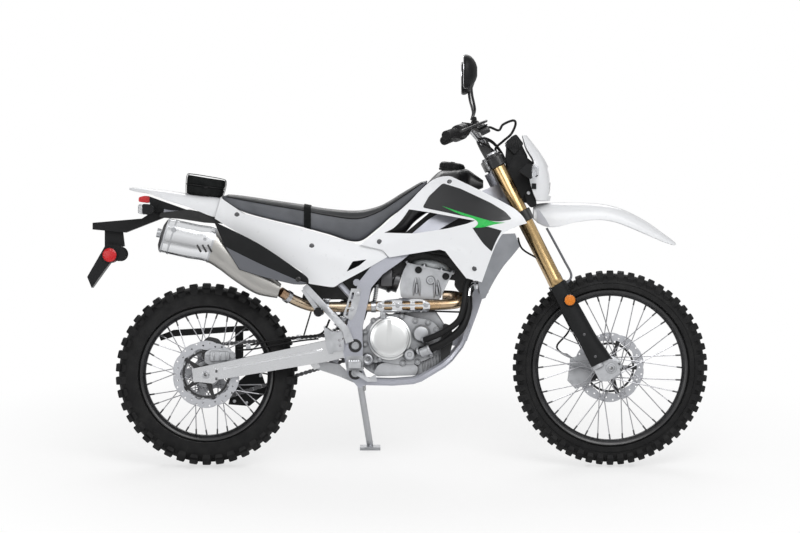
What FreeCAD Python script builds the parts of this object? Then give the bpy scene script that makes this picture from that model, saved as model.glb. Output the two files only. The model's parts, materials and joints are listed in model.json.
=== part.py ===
"""Dual sport motorcycle, leaning on its side stand.

The bike is drawn upright in its own frame: X forward from the rear axle, Y to the rider's left,
Z up from the ground. One placement then leans the whole bike to the left until both tyres and the
side stand's foot rest on the floor, and puts the origin under the middle of the bike.
"""

import FreeCAD, Part
import math
import os

import Sketcher

V = FreeCAD.Vector

# Driving dimensions in millimetres and degrees
SIZES = {
    "wheelbase": 1440,
    "drawn_wheelbase": 1440,
    "lean_angle": 10.5,
    "rake_angle": 26.7,
    "clamp_offset": 26,
    "axle_lead": 36,
    "running_clearance": 5,
    "seat_clearance": 0.3,
    # Wheels
    "rear_tyre_height": 86,
    "rear_tyre_half_width": 59,
    "rear_rim_radius": 239,
    "front_tyre_height": 70,
    "front_tyre_half_width": 41,
    "front_rim_radius": 278,
    "lug_height": 9,
    "front_lug_rows": 56,
    "rear_lug_rows": 42,
    "lug_share": 0.6,
    "hub_steps": 18,
    "rim_wall": 4,
    "rim_depth": 22,
    "rear_rim_half_width": 33,
    "front_rim_half_width": 26,
    "spoke_count": 36,
    "spoke_radius": 1.8,
    "spoke_seat": 4.5,
    "front_hub_radius": 29,
    "rear_hub_radius": 33,
    "hub_flange_radius": 36,
    "front_hub_half_width": 38,
    "rear_hub_half_width": 42,
    "front_disc_radius": 125,
    "rear_disc_radius": 120,
    "disc_thickness": 4,
    "disc_band_width": 30,
    "disc_petals": 10,
    "petal_depth": 4,
    "front_disc_offset": 58,
    "rear_disc_offset": 62,
    # Axles
    "front_axle_radius": 9,
    "rear_axle_radius": 10,
    "axle_bore_radius": 6,
    "front_axle_half_length": 124,
    "rear_axle_half_length": 128,
    "axle_play": 0.5,
    # Fork
    "fork_spacing": 98,
    "outer_tube_radius": 25,
    "stanchion_radius": 21.5,
    "outer_tube_bottom": 348,
    "outer_tube_top": 868,
    "collar_bottom": 280,
    "fork_cap_radius": 19,
    "stanchion_bottom": 40,
    "lower_clamp_place": 600,
    "lower_clamp_height": 43,
    "upper_clamp_place": 820,
    "upper_clamp_height": 38,
    "steering_stem_radius": 15,
    # Handlebar
    "bar_radius": 11,
    "bar_half_width": 410,
    "grip_radius": 17,
    "grip_length": 125,
    "bar_clamp_place": 921,
    "mirror_reach": 350,
    # Frame
    "pivot_forward": 531,
    "pivot_height": 428,
    "beam_half_spacing": 126,
    "beam_thickness": 26,
    "beam_depth": 50,
    "head_tube_radius": 30,
    "tube_radius": 13,
    "downtube_width": 44,
    "pivot_pin_radius": 9,
    "cradle_half_spacing": 100,
    "subframe_half_spacing": 78,
    # Swingarm
    "arm_half_spacing": 98,
    "arm_thickness": 28,
    "arm_depth_rear": 57,
    "arm_depth_front": 74,
    # Final drive
    "chain_offset": 72,
    "chain_width": 16,
    "chain_inner_width": 10,
    "chain_pitch": 15.9,
    "chain_height": 17,
    "rear_sprocket_radius": 101,
    "rear_sprocket_teeth": 40,
    "tooth_depth": 6,
    "sprocket_thickness": 6,
    "sprocket_clearance": 0.8,
    "front_sprocket_radius": 36,
    "countershaft_forward": 590,
    "countershaft_height": 440,
    # Engine
    "crankshaft_forward": 700,
    "crankcase_half_width": 84,
    "cylinder_half_width": 72,
    "clutch_cover_radius": 72,
    "clutch_cover_depth": 38,
    # Body panels
    "panel_thickness": 4,
    "seat_half_width": 112,
    "tank_half_width": 128,
    "fender_half_width": 66,
    # Side stand
    "stand_forward": 545,
    "stand_pivot_height": 306,
    "stand_foot_forward": 582,
    "stand_foot_reach": 285,
    "stand_axis_sweep": 8.5,
    "stand_axis_rise": 13,
    "stand_knuckle_gap": 10,
    "stand_pin_radius": 6,
    "stand_leg_radius": 12,
    "stand_play": 0.5,
    "stand_pin_head": 10,
}


class Size(float):
    """A length that also remembers the sheet expression it comes from."""

    def __new__(cls, value, text):
        size = super().__new__(cls, value)
        size.text = text
        return size

    def __add__(self, other):
        return Size(float(self) + float(other), f"({self.text} + {text_of(other)})")

    def __radd__(self, other):
        return Size(float(other) + float(self), f"({text_of(other)} + {self.text})")

    def __sub__(self, other):
        return Size(float(self) - float(other), f"({self.text} - {text_of(other)})")

    def __rsub__(self, other):
        return Size(float(other) - float(self), f"({text_of(other)} - {self.text})")

    def __mul__(self, other):
        return Size(float(self) * float(other), f"({self.text} * {text_of(other)})")

    def __rmul__(self, other):
        return Size(float(other) * float(self), f"({text_of(other)} * {self.text})")

    def __truediv__(self, other):
        return Size(float(self) / float(other), f"({self.text} / {text_of(other)})")

    def __neg__(self):
        return Size(-float(self), f"(0 - {self.text})")


def text_of(value):
    """The text that a number or a size has in an expression."""
    if isinstance(value, Size):
        return value.text
    return repr(float(value))


doc = FreeCAD.newDocument("dual_sport_motorcycle")
sheet = doc.addObject("Spreadsheet::Sheet", "sizes")


class Sizes:
    """The sheet's values by name."""


s = Sizes()
for row, (alias, number) in enumerate(SIZES.items(), start=1):
    sheet.set(f"A{row}", alias)
    sheet.set(f"B{row}", str(number))
    sheet.setAlias(f"B{row}", alias)
    setattr(s, alias, Size(number, f"sizes.{alias}"))
s.rear_tyre_radius = s.rear_rim_radius + s.rear_tyre_height
s.front_tyre_radius = s.front_rim_radius + s.front_tyre_height
doc.recompute()


# Placements

def turn(axis, angle, base=V(0, 0, 0)):
    """A placement that turns about an axis through the frame's origin, then moves to base."""
    return FreeCAD.Placement(base, FreeCAD.Rotation(axis, angle))


RAKE = math.radians(s.rake_angle)
UP_FORK = V(-math.sin(RAKE), 0, math.cos(RAKE))
ACROSS_FORK = V(math.cos(RAKE), 0, math.sin(RAKE))
FRONT_AXLE = V(s.wheelbase, 0, s.front_tyre_radius)
REAR_AXLE = V(0, 0, s.rear_tyre_radius)
FORK_FOOT = FRONT_AXLE - ACROSS_FORK * s.axle_lead
STEERING_FOOT = FORK_FOOT - ACROSS_FORK * s.clamp_offset
PIVOT = V(s.pivot_forward, 0, s.pivot_height)

AT_BIKE = FreeCAD.Placement()
AT_FRONT = turn(V(0, 0, 1), 0, V(s.wheelbase - s.drawn_wheelbase, 0, 0))
AT_FRONT_AXLE = turn(V(0, 0, 1), 0, FRONT_AXLE)
AT_REAR_AXLE = turn(V(0, 0, 1), 0, REAR_AXLE)
AT_FORK = turn(V(0, 1, 0), -float(s.rake_angle), FORK_FOOT)

SUB_PARTS = {}


def stretched(points):
    """Points of the side view: those ahead of the swingarm pivot move with the wheelbase."""
    growth = s.wheelbase - s.drawn_wheelbase
    head = 1040 - PIVOT.x
    return [(x + growth * min(max((x - PIVOT.x) / head, 0), 1), *rest) for x, *rest in points]


def keep(node, thing, place=AT_BIKE):
    """Name an object as the sub-part of one node, placed in the upright bike."""
    thing.Label = node
    SUB_PARTS[node] = (thing, place)
    return thing


def feature(node, shape, place=AT_BIKE):
    """A sub-part whose shape is worked out from the sheet's values."""
    thing = doc.addObject("Part::Feature", node)
    thing.Shape = shape
    return keep(node, thing, place)


# Sketches and features of the bodies

def origin_plane(body, role):
    return [part for part in body.Origin.OriginFeatures if part.Role == role][0]


def outline_sketch(body, role, points, circles=(), offset=0.0):
    """A closed outline of straight edges with round holes, every point tied to its sizes."""
    sketch = body.newObject("Sketcher::SketchObject", body.Name + "_outline")
    sketch.AttachmentSupport = [(origin_plane(body, role), "")]
    sketch.MapMode = "FlatFace"
    sketch.AttachmentOffset = FreeCAD.Placement(V(0, 0, float(offset)), FreeCAD.Rotation())
    count = len(points)
    for index in range(count):
        start = points[index]
        end = points[(index + 1) % count]
        sketch.addGeometry(Part.LineSegment(V(*map(float, start), 0), V(*map(float, end), 0)), False)
    for index in range(count):
        sketch.addConstraint(Sketcher.Constraint("Coincident", index, 2, (index + 1) % count, 1))
    for index, point in enumerate(points):
        tie(sketch, index, 1, point)
    for centre, radius in circles:
        circle = Part.Circle(V(*map(float, centre), 0), V(0, 0, 1), float(radius))
        index = sketch.addGeometry(circle, False)
        tie(sketch, index, 3, centre)
        number = sketch.addConstraint(Sketcher.Constraint("Radius", index, float(radius)))
        if isinstance(radius, Size):
            sketch.setExpression(f"Constraints[{number}]", radius.text)
    return sketch


def tie(sketch, index, corner, point):
    """Hold one point of a sketch at its distances from the sketch's origin."""
    for kind, value in zip(("DistanceX", "DistanceY"), point):
        constraint = Sketcher.Constraint(kind, -1, 1, index, corner, float(value))
        number = sketch.addConstraint(constraint)
        if isinstance(value, Size):
            sketch.setExpression(f"Constraints[{number}]", value.text)


def revolved(node, points, place):
    """A body turned about its own Y axis from half a section: distance from the axis, and Y."""
    body = doc.addObject("PartDesign::Body", node)
    sketch = outline_sketch(body, "XY_Plane", points)
    turning = body.newObject("PartDesign::Revolution", node + "_turned")
    turning.Profile = sketch
    turning.ReferenceAxis = (sketch, ["V_Axis"])
    turning.Angle = 360
    return keep(node, body, place)


def plate(node, points, low, high, circles=(), place=AT_BIKE):
    """A flat body: a side view in X and Z, as thick as the way from low to high along Y."""
    body = doc.addObject("PartDesign::Body", node)
    sketch = outline_sketch(body, "XZ_Plane", points, circles, -float(high))
    padded = body.newObject("PartDesign::Pad", node + "_padded")
    padded.Profile = sketch
    padded.Length = float(high) - float(low)
    if isinstance(high - low, Size):
        padded.setExpression("Length", (high - low).text)
    if isinstance(high, Size):
        sketch.setExpression(".AttachmentOffset.Base.z", f"0 - {high.text}")
    return keep(node, body, place)


# Shapes

def wire_of(points):
    return Part.makePolygon([V(*point) for point in points] + [V(*points[0])])


def flat_faces(corners):
    """One flat face through four corners, or two where they don't lie in one plane."""
    kept = [c for i, c in enumerate(corners) if not c.isEqual(corners[i - 1], 0.001)]
    if len(kept) < 3:
        return []
    if len(kept) == 3:
        return [Part.Face(Part.makePolygon(kept + kept[:1]))]
    one, two, three, four = kept
    normal = (two - one).cross(three - one)
    if normal.Length and abs(normal.normalize().dot(four - one)) < 0.0001:
        return [Part.Face(Part.makePolygon(kept + kept[:1]))]
    halves = ([one, two, three], [one, three, four])
    return [Part.Face(Part.makePolygon(half + half[:1])) for half in halves]


def solid_of(faces):
    solid = Part.Solid(Part.Shell(faces))
    if solid.Volume < 0:
        solid.reverse()
    return solid


def loft(sections):
    """A closed solid with flat faces, through sections of as many corners each."""
    rings = [[V(*point) for point in section] for section in sections]
    faces = []
    for low, high in zip(rings, rings[1:]):
        for index in range(len(low)):
            faces += flat_faces([low[index - 1], low[index], high[index], high[index - 1]])
    for ring in (rings[0], rings[-1]):
        faces.append(Part.Face(Part.makePolygon(ring + ring[:1])))
    return solid_of(faces)


def ring_of(half_section, count):
    """A ring about Y of flat sides, one at the bottom: distances to the flats, and Y."""
    faces = []
    rings = []
    for step in range(count):
        angle = 2 * math.pi * (step + 0.5) / count - math.pi / 2
        across = math.cos(angle) / math.cos(math.pi / count)
        up = math.sin(angle) / math.cos(math.pi / count)
        rings.append([V(r * across, y, r * up) for r, y in half_section])
    for step in range(count):
        here = rings[step - 1]
        after = rings[step]
        for index in range(len(here)):
            faces += flat_faces([here[index - 1], here[index], after[index], after[index - 1]])
    return solid_of(faces)


def placed(node):
    """A node's shape where it sits in the upright bike."""
    thing, place = SUB_PARTS[node]
    shape = thing.Shape.copy()
    shape.Placement = place.multiply(shape.Placement)
    return shape


def turn_to(way, base):
    """A placement that lays the Y axis along a direction, from base."""
    return FreeCAD.Placement(base, FreeCAD.Rotation(V(0, 1, 0), way))


def prism(points, low, high):
    """A side view in X and Z, solid from Y low to Y high."""
    face = Part.Face(wire_of([(x, low, z) for x, z in points]))
    return face.extrude(V(0, high - low, 0))


def box(low, high):
    corner = V(*low)
    size = V(*high) - corner
    return Part.makeBox(size.x, size.y, size.z, corner)


def rod(start, end, radius):
    """A straight round bar from start to end."""
    start = V(*start)
    way = V(*end) - start
    return Part.makeCylinder(float(radius), way.Length, start, way)


def bar(start, end, radius, sides=12):
    """A straight bar from start to end with flat sides, which touch a circle of the radius."""
    start = V(*start)
    way = V(*end) - start
    corners = []
    for step in range(sides):
        angle = 2 * math.pi * (step + 0.5) / sides
        reach = radius / math.cos(math.pi / sides)
        corners.append(V(reach * math.cos(angle), 0, reach * math.sin(angle)))
    low = Part.Face(Part.makePolygon(corners + corners[:1]))
    solid = low.extrude(V(0, way.Length, 0))
    solid.Placement = turn_to(way, start)
    return solid


def eased(points, bend):
    """The points of a bent tube's middle line, each corner cut where its bend starts and ends."""
    points = [V(*point) for point in points]
    line = [points[0]]
    for before, corner, after in zip(points, points[1:], points[2:]):
        back = before - corner
        ahead = after - corner
        room = 0.3 * min(back.Length, ahead.Length)
        half_turn = (math.pi - back.getAngle(ahead)) / 2
        cut = min(bend * math.tan(half_turn), room)
        line += [corner + back.normalize() * cut, corner + ahead.normalize() * cut]
    return line + [points[-1]]


def tube(points, radius, bend=40.0, sides=8):
    """A bent bar of flat sides along the points, mitred at each turn."""
    line = eased(points, bend)
    ways = [(after - before).normalize() for before, after in zip(line, line[1:])]
    across = ways[0].cross(V(0, 0, 1) if abs(ways[0].z) < 0.9 else V(0, 1, 0)).normalize()
    other = ways[0].cross(across).normalize()
    ring = []
    for side in range(sides):
        angle = math.pi * (2 * side + 1) / sides
        ring.append(line[0] + (across * math.cos(angle) + other * math.sin(angle)) * float(radius))
    rings = [ring]
    for index, way in enumerate(ways):
        corner = line[index + 1]
        normal = way + ways[index + 1] if index + 1 < len(ways) else way
        ring = [p + way * (normal.dot(corner - p) / normal.dot(way)) for p in ring]
        rings.append(ring)
    return loft(rings)


def beam(stations):
    """A box-section beam seen from the side: x, z, y of its middle, depth and thickness."""
    sections = []
    for index, (x, z, y, depth, thickness) in enumerate(stations):
        before = stations[max(index - 1, 0)]
        after = stations[min(index + 1, len(stations) - 1)]
        way = V(after[0] - before[0], 0, after[1] - before[1]).normalize()
        side = V(-way.z, 0, way.x)
        corners = []
        for up, out in ((-1, -1), (-1, 1), (1, 1), (1, -1)):
            point = V(x, y, z) + side * (up * depth / 2) + V(0, out * thickness / 2, 0)
            corners.append(tuple(point))
        sections.append(corners)
    return loft(sections)


def both_sides(shape):
    """A shape on the left and its mirror image on the right."""
    return [shape, shape.mirror(V(0, 0, 0), V(0, 1, 0))]


def fused(shapes):
    whole = shapes[0].multiFuse(shapes[1:])
    return whole.removeSplitter()


def gathered(shapes):
    return Part.makeCompound(shapes)


# Wheels: axis along Y, centre at the origin

def tyre(node, radius, half_width, rim_radius, rim_half_width, rows, place):
    """The carcass, with a pair of shoulder blocks on one flat and a middle block on the next."""
    seat = rim_radius - 9 + s.seat_clearance
    bead = rim_half_width - s.rim_wall - s.seat_clearance
    crown = radius - s.lug_height
    tread = half_width * 0.55
    widest = (radius + rim_radius) / 2
    half = [(seat, bead), (rim_radius + 4, bead), (widest, half_width), (crown, tread)]
    carcass = ring_of(half + [(r, -y) for r, y in reversed(half)], int(rows))
    edge = half_width * 0.84
    root = widest + (crown - widest) * (half_width - edge) / (half_width - tread) - 3
    shoulder = [(crown - 3, half_width * 0.28), (radius, half_width * 0.3), (radius, tread), (root, edge)]
    middle = [(crown - 3, -half_width * 0.25), (radius, -half_width * 0.22),
              (radius, half_width * 0.22), (crown - 3, half_width * 0.25)]
    length = 2 * math.pi * radius / rows * s.lug_share
    lugs = []
    for row in range(int(rows)):
        outlines = [middle] if row % 2 else [shoulder, [(r, -y) for r, y in shoulder]]
        for outline in outlines:
            face = Part.Face(wire_of([(-length / 2, y, -r) for r, y in outline]))
            lug = face.extrude(V(length, 0, 0))
            lug.rotate(V(0, 0, 0), V(0, 1, 0), 360 * row / int(rows))
            lugs.append(lug)
    feature(node, carcass.multiFuse(lugs), place)


def rim(node, radius, half_width, rows, place):
    seat = radius - 9
    inner = radius - s.rim_depth
    wall = s.rim_wall
    half = [(inner, half_width * 0.45), (seat - wall, half_width), (radius, half_width),
            (radius, half_width - wall), (seat, half_width - wall)]
    section = half + [(r, -y) for r, y in reversed(half)]
    feature(node, ring_of(section, int(rows)), place)


def hub_and_spokes(node, radius, flange_radius, half_width, ends, axle_radius, rim_radius, place):
    """The hub with its two flanges and end bosses, and crossed spokes from the flanges to the rim."""
    sides = int(s.hub_steps)
    bore = axle_radius + s.axle_play
    flange = half_width - 9
    thick = s.spoke_seat * 2
    right_end, left_end, boss = ends
    section = [
        (bore, left_end), (boss, left_end), (boss, flange + 4), (flange_radius + 6, flange),
        (flange_radius + 6, flange - thick), (radius, flange - 14), (radius, 14 - flange),
        (flange_radius + 6, thick - flange), (flange_radius + 6, -flange), (boss, -flange - 4),
        (boss, -right_end), (bore, -right_end),
    ]
    bars = []
    count = int(s.spoke_count)
    for index in range(count):
        side = 1 if index % 2 else -1
        lead = 1 if index % 4 < 2 else -1
        at_rim = 2 * math.pi * index / count
        at_hub = at_rim + lead * math.radians(70)
        apart = lead * s.spoke_radius * 1.2
        start = V(flange_radius * math.cos(at_hub), side * (flange - s.spoke_seat) + apart,
                  flange_radius * math.sin(at_hub))
        end = V(rim_radius * math.cos(at_rim), side * 4 + apart, rim_radius * math.sin(at_rim))
        bars.append(tube([start, end], s.spoke_radius, 0, 3))
    feature(node, ring_of(section, sides).multiFuse(bars), place)


def round_outline(radius, count, dip=0.0, teeth=False):
    """A round outline in X and Z whose corners dip: every other one for teeth, else two in four."""
    points = []
    for step in range(count):
        low = step % 2 == 1 if teeth else step % 4 > 1
        reach = radius - dip if low else radius
        angle = 2 * math.pi * step / count
        points.append((reach * math.cos(angle), reach * math.sin(angle)))
    return points


def disc(node, radius, offset, hub_radius, place):
    """A petal disc: a scalloped band carried by five arms on a ring that seats on the hub."""
    high = offset + s.disc_thickness
    inner = radius - s.disc_band_width
    steps = 4 * int(s.disc_petals)
    band = prism(round_outline(radius, steps, s.petal_depth), offset, high)
    band = band.cut(prism(round_outline(inner, steps), offset - 1, high + 1))
    carrier = ring_of([(hub_radius, offset), (hub_radius + 14, offset),
                       (hub_radius + 14, high), (hub_radius, high)], 18)
    arms = []
    for index in range(5):
        arm = prism([(hub_radius + 8, -11), (inner + 2, -7), (inner + 2, 9), (hub_radius + 8, 9)],
                    offset, high)
        arm.rotate(V(0, 0, 0), V(0, 1, 0), 72 * index)
        arms.append(arm)
    feature(node, fused([band, carrier] + arms), place)


def make_wheels():
    tyre("front_tyre", s.front_tyre_radius, s.front_tyre_half_width,
         s.front_rim_radius, s.front_rim_half_width, s.front_lug_rows, AT_FRONT_AXLE)
    tyre("rear_tyre", s.rear_tyre_radius, s.rear_tyre_half_width,
         s.rear_rim_radius, s.rear_rim_half_width, s.rear_lug_rows, AT_REAR_AXLE)
    rim("front_rim", s.front_rim_radius, s.front_rim_half_width, s.front_lug_rows, AT_FRONT_AXLE)
    rim("rear_rim", s.rear_rim_radius, s.rear_rim_half_width, s.rear_lug_rows, AT_REAR_AXLE)
    front_seat = s.front_rim_radius - s.rim_depth
    rear_seat = s.rear_rim_radius - s.rim_depth
    hub_and_spokes("front_spokes", s.front_hub_radius, s.hub_flange_radius, s.front_hub_half_width,
                   (s.front_hub_half_width + 8, s.front_disc_offset, 27), s.front_axle_radius,
                   front_seat - s.seat_clearance, AT_FRONT_AXLE)
    hub_and_spokes("rear_spokes", s.rear_hub_radius, s.hub_flange_radius + 6, s.rear_hub_half_width,
                   (s.rear_disc_offset, s.rear_hub_half_width, 31), s.rear_axle_radius,
                   rear_seat - s.seat_clearance, AT_REAR_AXLE)
    disc("front_disc", s.front_disc_radius, float(s.front_disc_offset), 18, AT_FRONT_AXLE)
    disc("rear_disc", s.rear_disc_radius, -float(s.rear_disc_offset) - float(s.disc_thickness), 20,
         AT_REAR_AXLE)
    low = s.chain_offset - s.sprocket_thickness / 2
    high = s.chain_offset + s.sprocket_thickness / 2
    rim_of_teeth = s.rear_sprocket_radius - s.chain_height / 2 - s.sprocket_clearance
    bore = s.rear_axle_radius + s.axle_play + 3
    teeth = int(s.rear_sprocket_teeth)
    toothed = prism(round_outline(rim_of_teeth, 2 * teeth, s.tooth_depth, True), low, high)
    for index in range(5):
        window = prism([(58, -19), (76, -25), (76, 25), (58, 19)], low - 1, high + 1)
        window.rotate(V(0, 0, 0), V(0, 1, 0), 72 * index + 36)
        toothed = toothed.cut(window)
    carrier = ring_of([(bore, s.rear_hub_half_width), (52, s.rear_hub_half_width), (52, low + 1),
                       (bore, low + 1)], 18)
    opening = bar((0, low - 2, 0), (0, high + 2, 0), bore, 18)
    feature("rear_sprocket", fused([toothed, carrier]).cut(opening), AT_REAR_AXLE)


def hollow_axle(node, radius, half_length, place):
    revolved(node, [
        (s.axle_bore_radius, half_length),
        (radius, half_length),
        (radius, -half_length),
        (s.axle_bore_radius, -half_length),
    ], place)


# Fork and steering, drawn in the fork's frame: Z up the fork, X forward, Y left

def make_fork():
    tubes = []
    stanchions = []
    castings = []
    guards = []
    for side in (1, -1):
        y = side * s.fork_spacing
        leg = bar((0, y, s.outer_tube_bottom), (0, y, s.outer_tube_top), s.outer_tube_radius, 24)
        cap = bar((0, y, s.outer_tube_top), (0, y, s.outer_tube_top + 7), s.fork_cap_radius, 6)
        tubes.append(leg.fuse(cap))
        stanchions.append(bar((0, y, s.stanchion_bottom), (0, y, s.outer_tube_bottom),
                              s.stanchion_radius, 16))
        collar = ring_of([(s.stanchion_radius + 0.3, 0), (s.stanchion_radius + 4, 0),
                          (s.outer_tube_radius, s.outer_tube_bottom - s.collar_bottom),
                          (s.stanchion_radius + 0.3, s.outer_tube_bottom - s.collar_bottom)], 16)
        collar.Placement = turn_to(V(0, 0, 1), V(0, y, s.collar_bottom))
        castings.append(collar)
        castings.append(fork_lug(y))
        guards.append(fork_guard(side))
    feature("fork_outer_tubes", gathered(tubes), AT_FORK)
    feature("fork_stanchions", gathered(stanchions), AT_FORK)
    feature("fork_castings", gathered(castings), AT_FORK)
    feature("fork_guards", gathered(guards), AT_FORK)
    make_clamps()
    hollow_axle("front_axle", s.front_axle_radius, s.front_axle_half_length, AT_FRONT_AXLE)


def fork_lug(y):
    """The cast foot of one fork leg, with the eye that holds the axle."""
    low = y - 20
    outline = [(-22, -26), (8, -40), (62, -30), (68, 10), (48, 34), (22, 40), (-22, 40)]
    body = prism(outline, low, low + 40)
    return body.cut(bar((s.axle_lead, y - 30, 0), (s.axle_lead, y + 30, 0), s.front_axle_radius))


def fork_guard(side):
    """A plastic channel over the front and the outside of one stanchion."""
    sections = []
    for z, front, back in ((33, 58, -26), (120, 44, -26), (352, 33, -30)):
        inner = side * (s.fork_spacing - 24)
        outer = side * (s.fork_spacing + 30)
        sections.append([
            (back, outer, z), (front - 14, outer, z), (front, outer - side * 14, z),
            (front, inner, z), (front - 4, inner, z), (front - 4, outer - side * 16, z),
            (front - 16, outer - side * 4, z), (back, outer - side * 4, z),
        ])
    return loft(sections)


def make_clamps():
    """Two clamps that hold the fork tubes, with the stem between them."""
    pieces = []
    places = ((s.lower_clamp_place, s.lower_clamp_height), (s.upper_clamp_place, s.upper_clamp_height))
    grip = s.outer_tube_radius + 9
    stem = -s.clamp_offset
    for low, height in places:
        outline = [
            (grip - 4, s.fork_spacing - 24), (grip, s.fork_spacing), (20, s.fork_spacing + 32),
            (-24, s.fork_spacing + 32), (-grip, s.fork_spacing), (stem - 20, 28), (stem - 26, 0),
        ]
        whole = outline + [(x, -y) for x, y in reversed(outline[:-1])]
        face = Part.Face(wire_of([(x, y, low) for x, y in whole]))
        pieces.append(face.extrude(V(0, 0, height)))
    stem_low = s.lower_clamp_place + s.lower_clamp_height
    pieces.append(rod((stem, 0, stem_low), (stem, 0, s.upper_clamp_place), s.steering_stem_radius))
    whole = fused(pieces)
    for side in (1, -1):
        y = side * s.fork_spacing
        whole = whole.cut(bar((0, y, 0), (0, y, 1000), s.outer_tube_radius, 24))
    for side in (1, -1):
        top = s.upper_clamp_place + s.upper_clamp_height
        post = box((-28, side * 34 - 12, top), (8, side * 34 + 12, s.bar_clamp_place + 16))
        seat = bar((-10, -80, s.bar_clamp_place), (-10, 80, s.bar_clamp_place), s.bar_radius)
        whole = whole.fuse(post.cut(seat))
    feature("triple_clamps", whole, AT_FORK)


def bar_points(side):
    """The bar's middle line on one side, in the fork's frame."""
    place = s.bar_clamp_place
    return [(-10, 0, place), (-10, side * 70, place), (-24, side * 165, place + 66),
            (-122, side * s.bar_half_width, place + 76)]


def make_handlebar():
    left = bar_points(1)
    right = bar_points(-1)
    points = list(reversed(left))[:-1] + right[1:]
    crossbar = bar((-17, -112, s.bar_clamp_place + 34), (-17, 112, s.bar_clamp_place + 34), 7, 8)
    feature("handlebar", fused([tube(points, s.bar_radius, 60), crossbar]), AT_FORK)
    controls = []
    bore = s.bar_radius / math.cos(math.pi / 12) + s.seat_clearance
    switch = s.grip_length + 62
    perch = switch + 30
    for side in (1, -1):
        end = V(*bar_points(side)[3])
        way = (V(*bar_points(side)[2]) - end).normalize()
        sleeve = ring_of([
            (bore, 0), (s.grip_radius, 0), (s.grip_radius, s.grip_length - 10),
            (s.grip_radius + 7, s.grip_length - 10), (s.grip_radius + 7, switch),
            (s.grip_radius + 2, switch), (s.grip_radius + 2, perch), (bore, perch)], 12)
        sleeve.Placement = turn_to(way, end)
        root = end + way * (switch + 14)
        lever = tube([root + V(s.grip_radius - 3, 0, 0), root + V(58, side * 8, -8),
                      V(end.x + 62, end.y - side * 40, end.z - 10),
                      V(end.x + 54, end.y, end.z - 10)], 7, 20, 6)
        controls.append(sleeve.fuse(lever))
    on_bar = end + way * (perch - 4)
    reservoir_at = end + way * (perch + 8) + V(50, 0, -30)
    cylinder = bar(on_bar + V(s.bar_radius + 7, 0, 0), reservoir_at - V(12, 0, 0), 8, 8)
    reservoir = Part.makeBox(38, 34, 32, reservoir_at - V(19, 17, 18))
    to_fork = AT_FORK.inverse().multiply(AT_FRONT)
    loop = [to_fork.multVec(V(*point)) for point in (
        (1034, -182, 1166), (1040, -150, 1192), (1056, -130, 1213), (1092, -104, 1228),
        (1101, -84, 1215), (1086, -76, 1181), (1058, -72, 1156))]
    clamp_top = s.upper_clamp_place + s.upper_clamp_height + s.seat_clearance
    hose = tube([reservoir_at + V(8, 0, 0)] + loop +
                [V(20, -60, clamp_top + 24), V(20, -60, clamp_top)], 4.5, 30, 6)
    controls[1] = fused([controls[1], cylinder, reservoir, hose])
    feature("hand_controls", gathered(controls), AT_FORK)


def make_mirrors():
    """Mirrors on bent stems, drawn in the upright bike."""
    pieces = []
    reach = s.mirror_reach
    for side in (1, -1):
        base = AT_FRONT.inverse().multVec(AT_FORK.multVec(V(-51, side * 232, s.bar_clamp_place + 69)))
        stem = tube([(base.x, base.y, base.z + s.grip_radius + 7), (954, base.y, 1236),
                     (948, side * (reach - 30), 1300), (940, side * (reach - 12), 1345)], 5, 30)
        sections = []
        for x, half_width, low, high in ((912, 60, 1340, 1446), (922, 66, 1332, 1454),
                                         (948, 50, 1348, 1440), (962, 22, 1370, 1412)):
            middle = (low + high) / 2
            rise = (high - low) / 2
            ring = []
            for corner in range(8):
                angle = math.pi / 8 + corner * math.pi / 4
                ring.append((x, side * reach + half_width * math.cos(angle) / math.cos(math.pi / 8),
                             middle + rise * math.sin(angle) / math.cos(math.pi / 8)))
            sections.append(ring)
        pieces.append(stem.fuse(loft(sections)))
    feature("mirrors", gathered(pieces), AT_FRONT)


def make_front_lamp():
    """Instrument, lamp housing with its lens, and the shield round them."""
    dial = prism([(1063, 1140), (1098, 1107), (1132, 1146), (1104, 1182), (1084, 1172)], -62, 62)
    feature("instrument", dial, AT_FRONT)
    housing = prism([(1070, 1060), (1086, 1006), (1114, 940), (1160, 934), (1176, 1010),
                     (1172, 1074), (1131, 1106.7), (1098, 1106.7)], -52, 52)
    tube_side = s.fork_spacing - s.outer_tube_radius - s.seat_clearance
    ear = [(1048, 1056), (1092, 956), (1118, 930), (1146, 1000), (1142, 1058), (1100, 1062)]
    ears = [prism(ear, *sorted((side * 50, side * tube_side))) for side in (1, -1)]
    lens = loft([
        [(1176, -66, 962), (1176, 66, 962), (1176, 60, 1062), (1176, -60, 1062)],
        [(1222, -56, 966), (1222, 56, 966), (1216, 50, 1052), (1216, -50, 1052)],
    ])
    shell = box((1140, -66, 950), (1176, 66, 1064))
    arms = box((1158, -118, 984), (1174, 118, 1004))
    stations = (
        (942, 1226, 1176, 90), (980, 1234, 1160, 108), (1030, 1232, 1150, 118),
        (1080, 1213, 1170, 108), (1131, 1180, 1140, 84), (1178, 1143, 1126, 56),
    )
    outer = []
    for z, front, back, half_width in stations:
        wall = float(s.panel_thickness)
        knee = back + (front - back) * 0.7
        half = [(back, half_width), (knee, half_width * 0.78), (front, half_width * 0.34)]
        inner = [(front - wall, half_width * 0.34 - 2), (knee - wall * 0.6, half_width * 0.78 - wall),
                 (back, half_width - wall)]
        left = [(x, y, z) for x, y in half]
        right = [(x, -y, z) for x, y in reversed(half)]
        inner_right = [(x, -y, z) for x, y in reversed(inner)]
        inner_left = [(x, y, z) for x, y in inner]
        outer.append(left + right + inner_right + inner_left)
    mask = loft(outer)
    window = box((1100, -68, 958), (1260, 68, 1066))
    mask = mask.cut(window)
    feature("headlamp_mask", mask, AT_FRONT)
    inside = sorted(arms.cut(mask).Solids, key=lambda solid: -solid.Volume)[0]
    feature("headlamp", fused([housing, shell, lens, inside] + ears), AT_FRONT)


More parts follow.
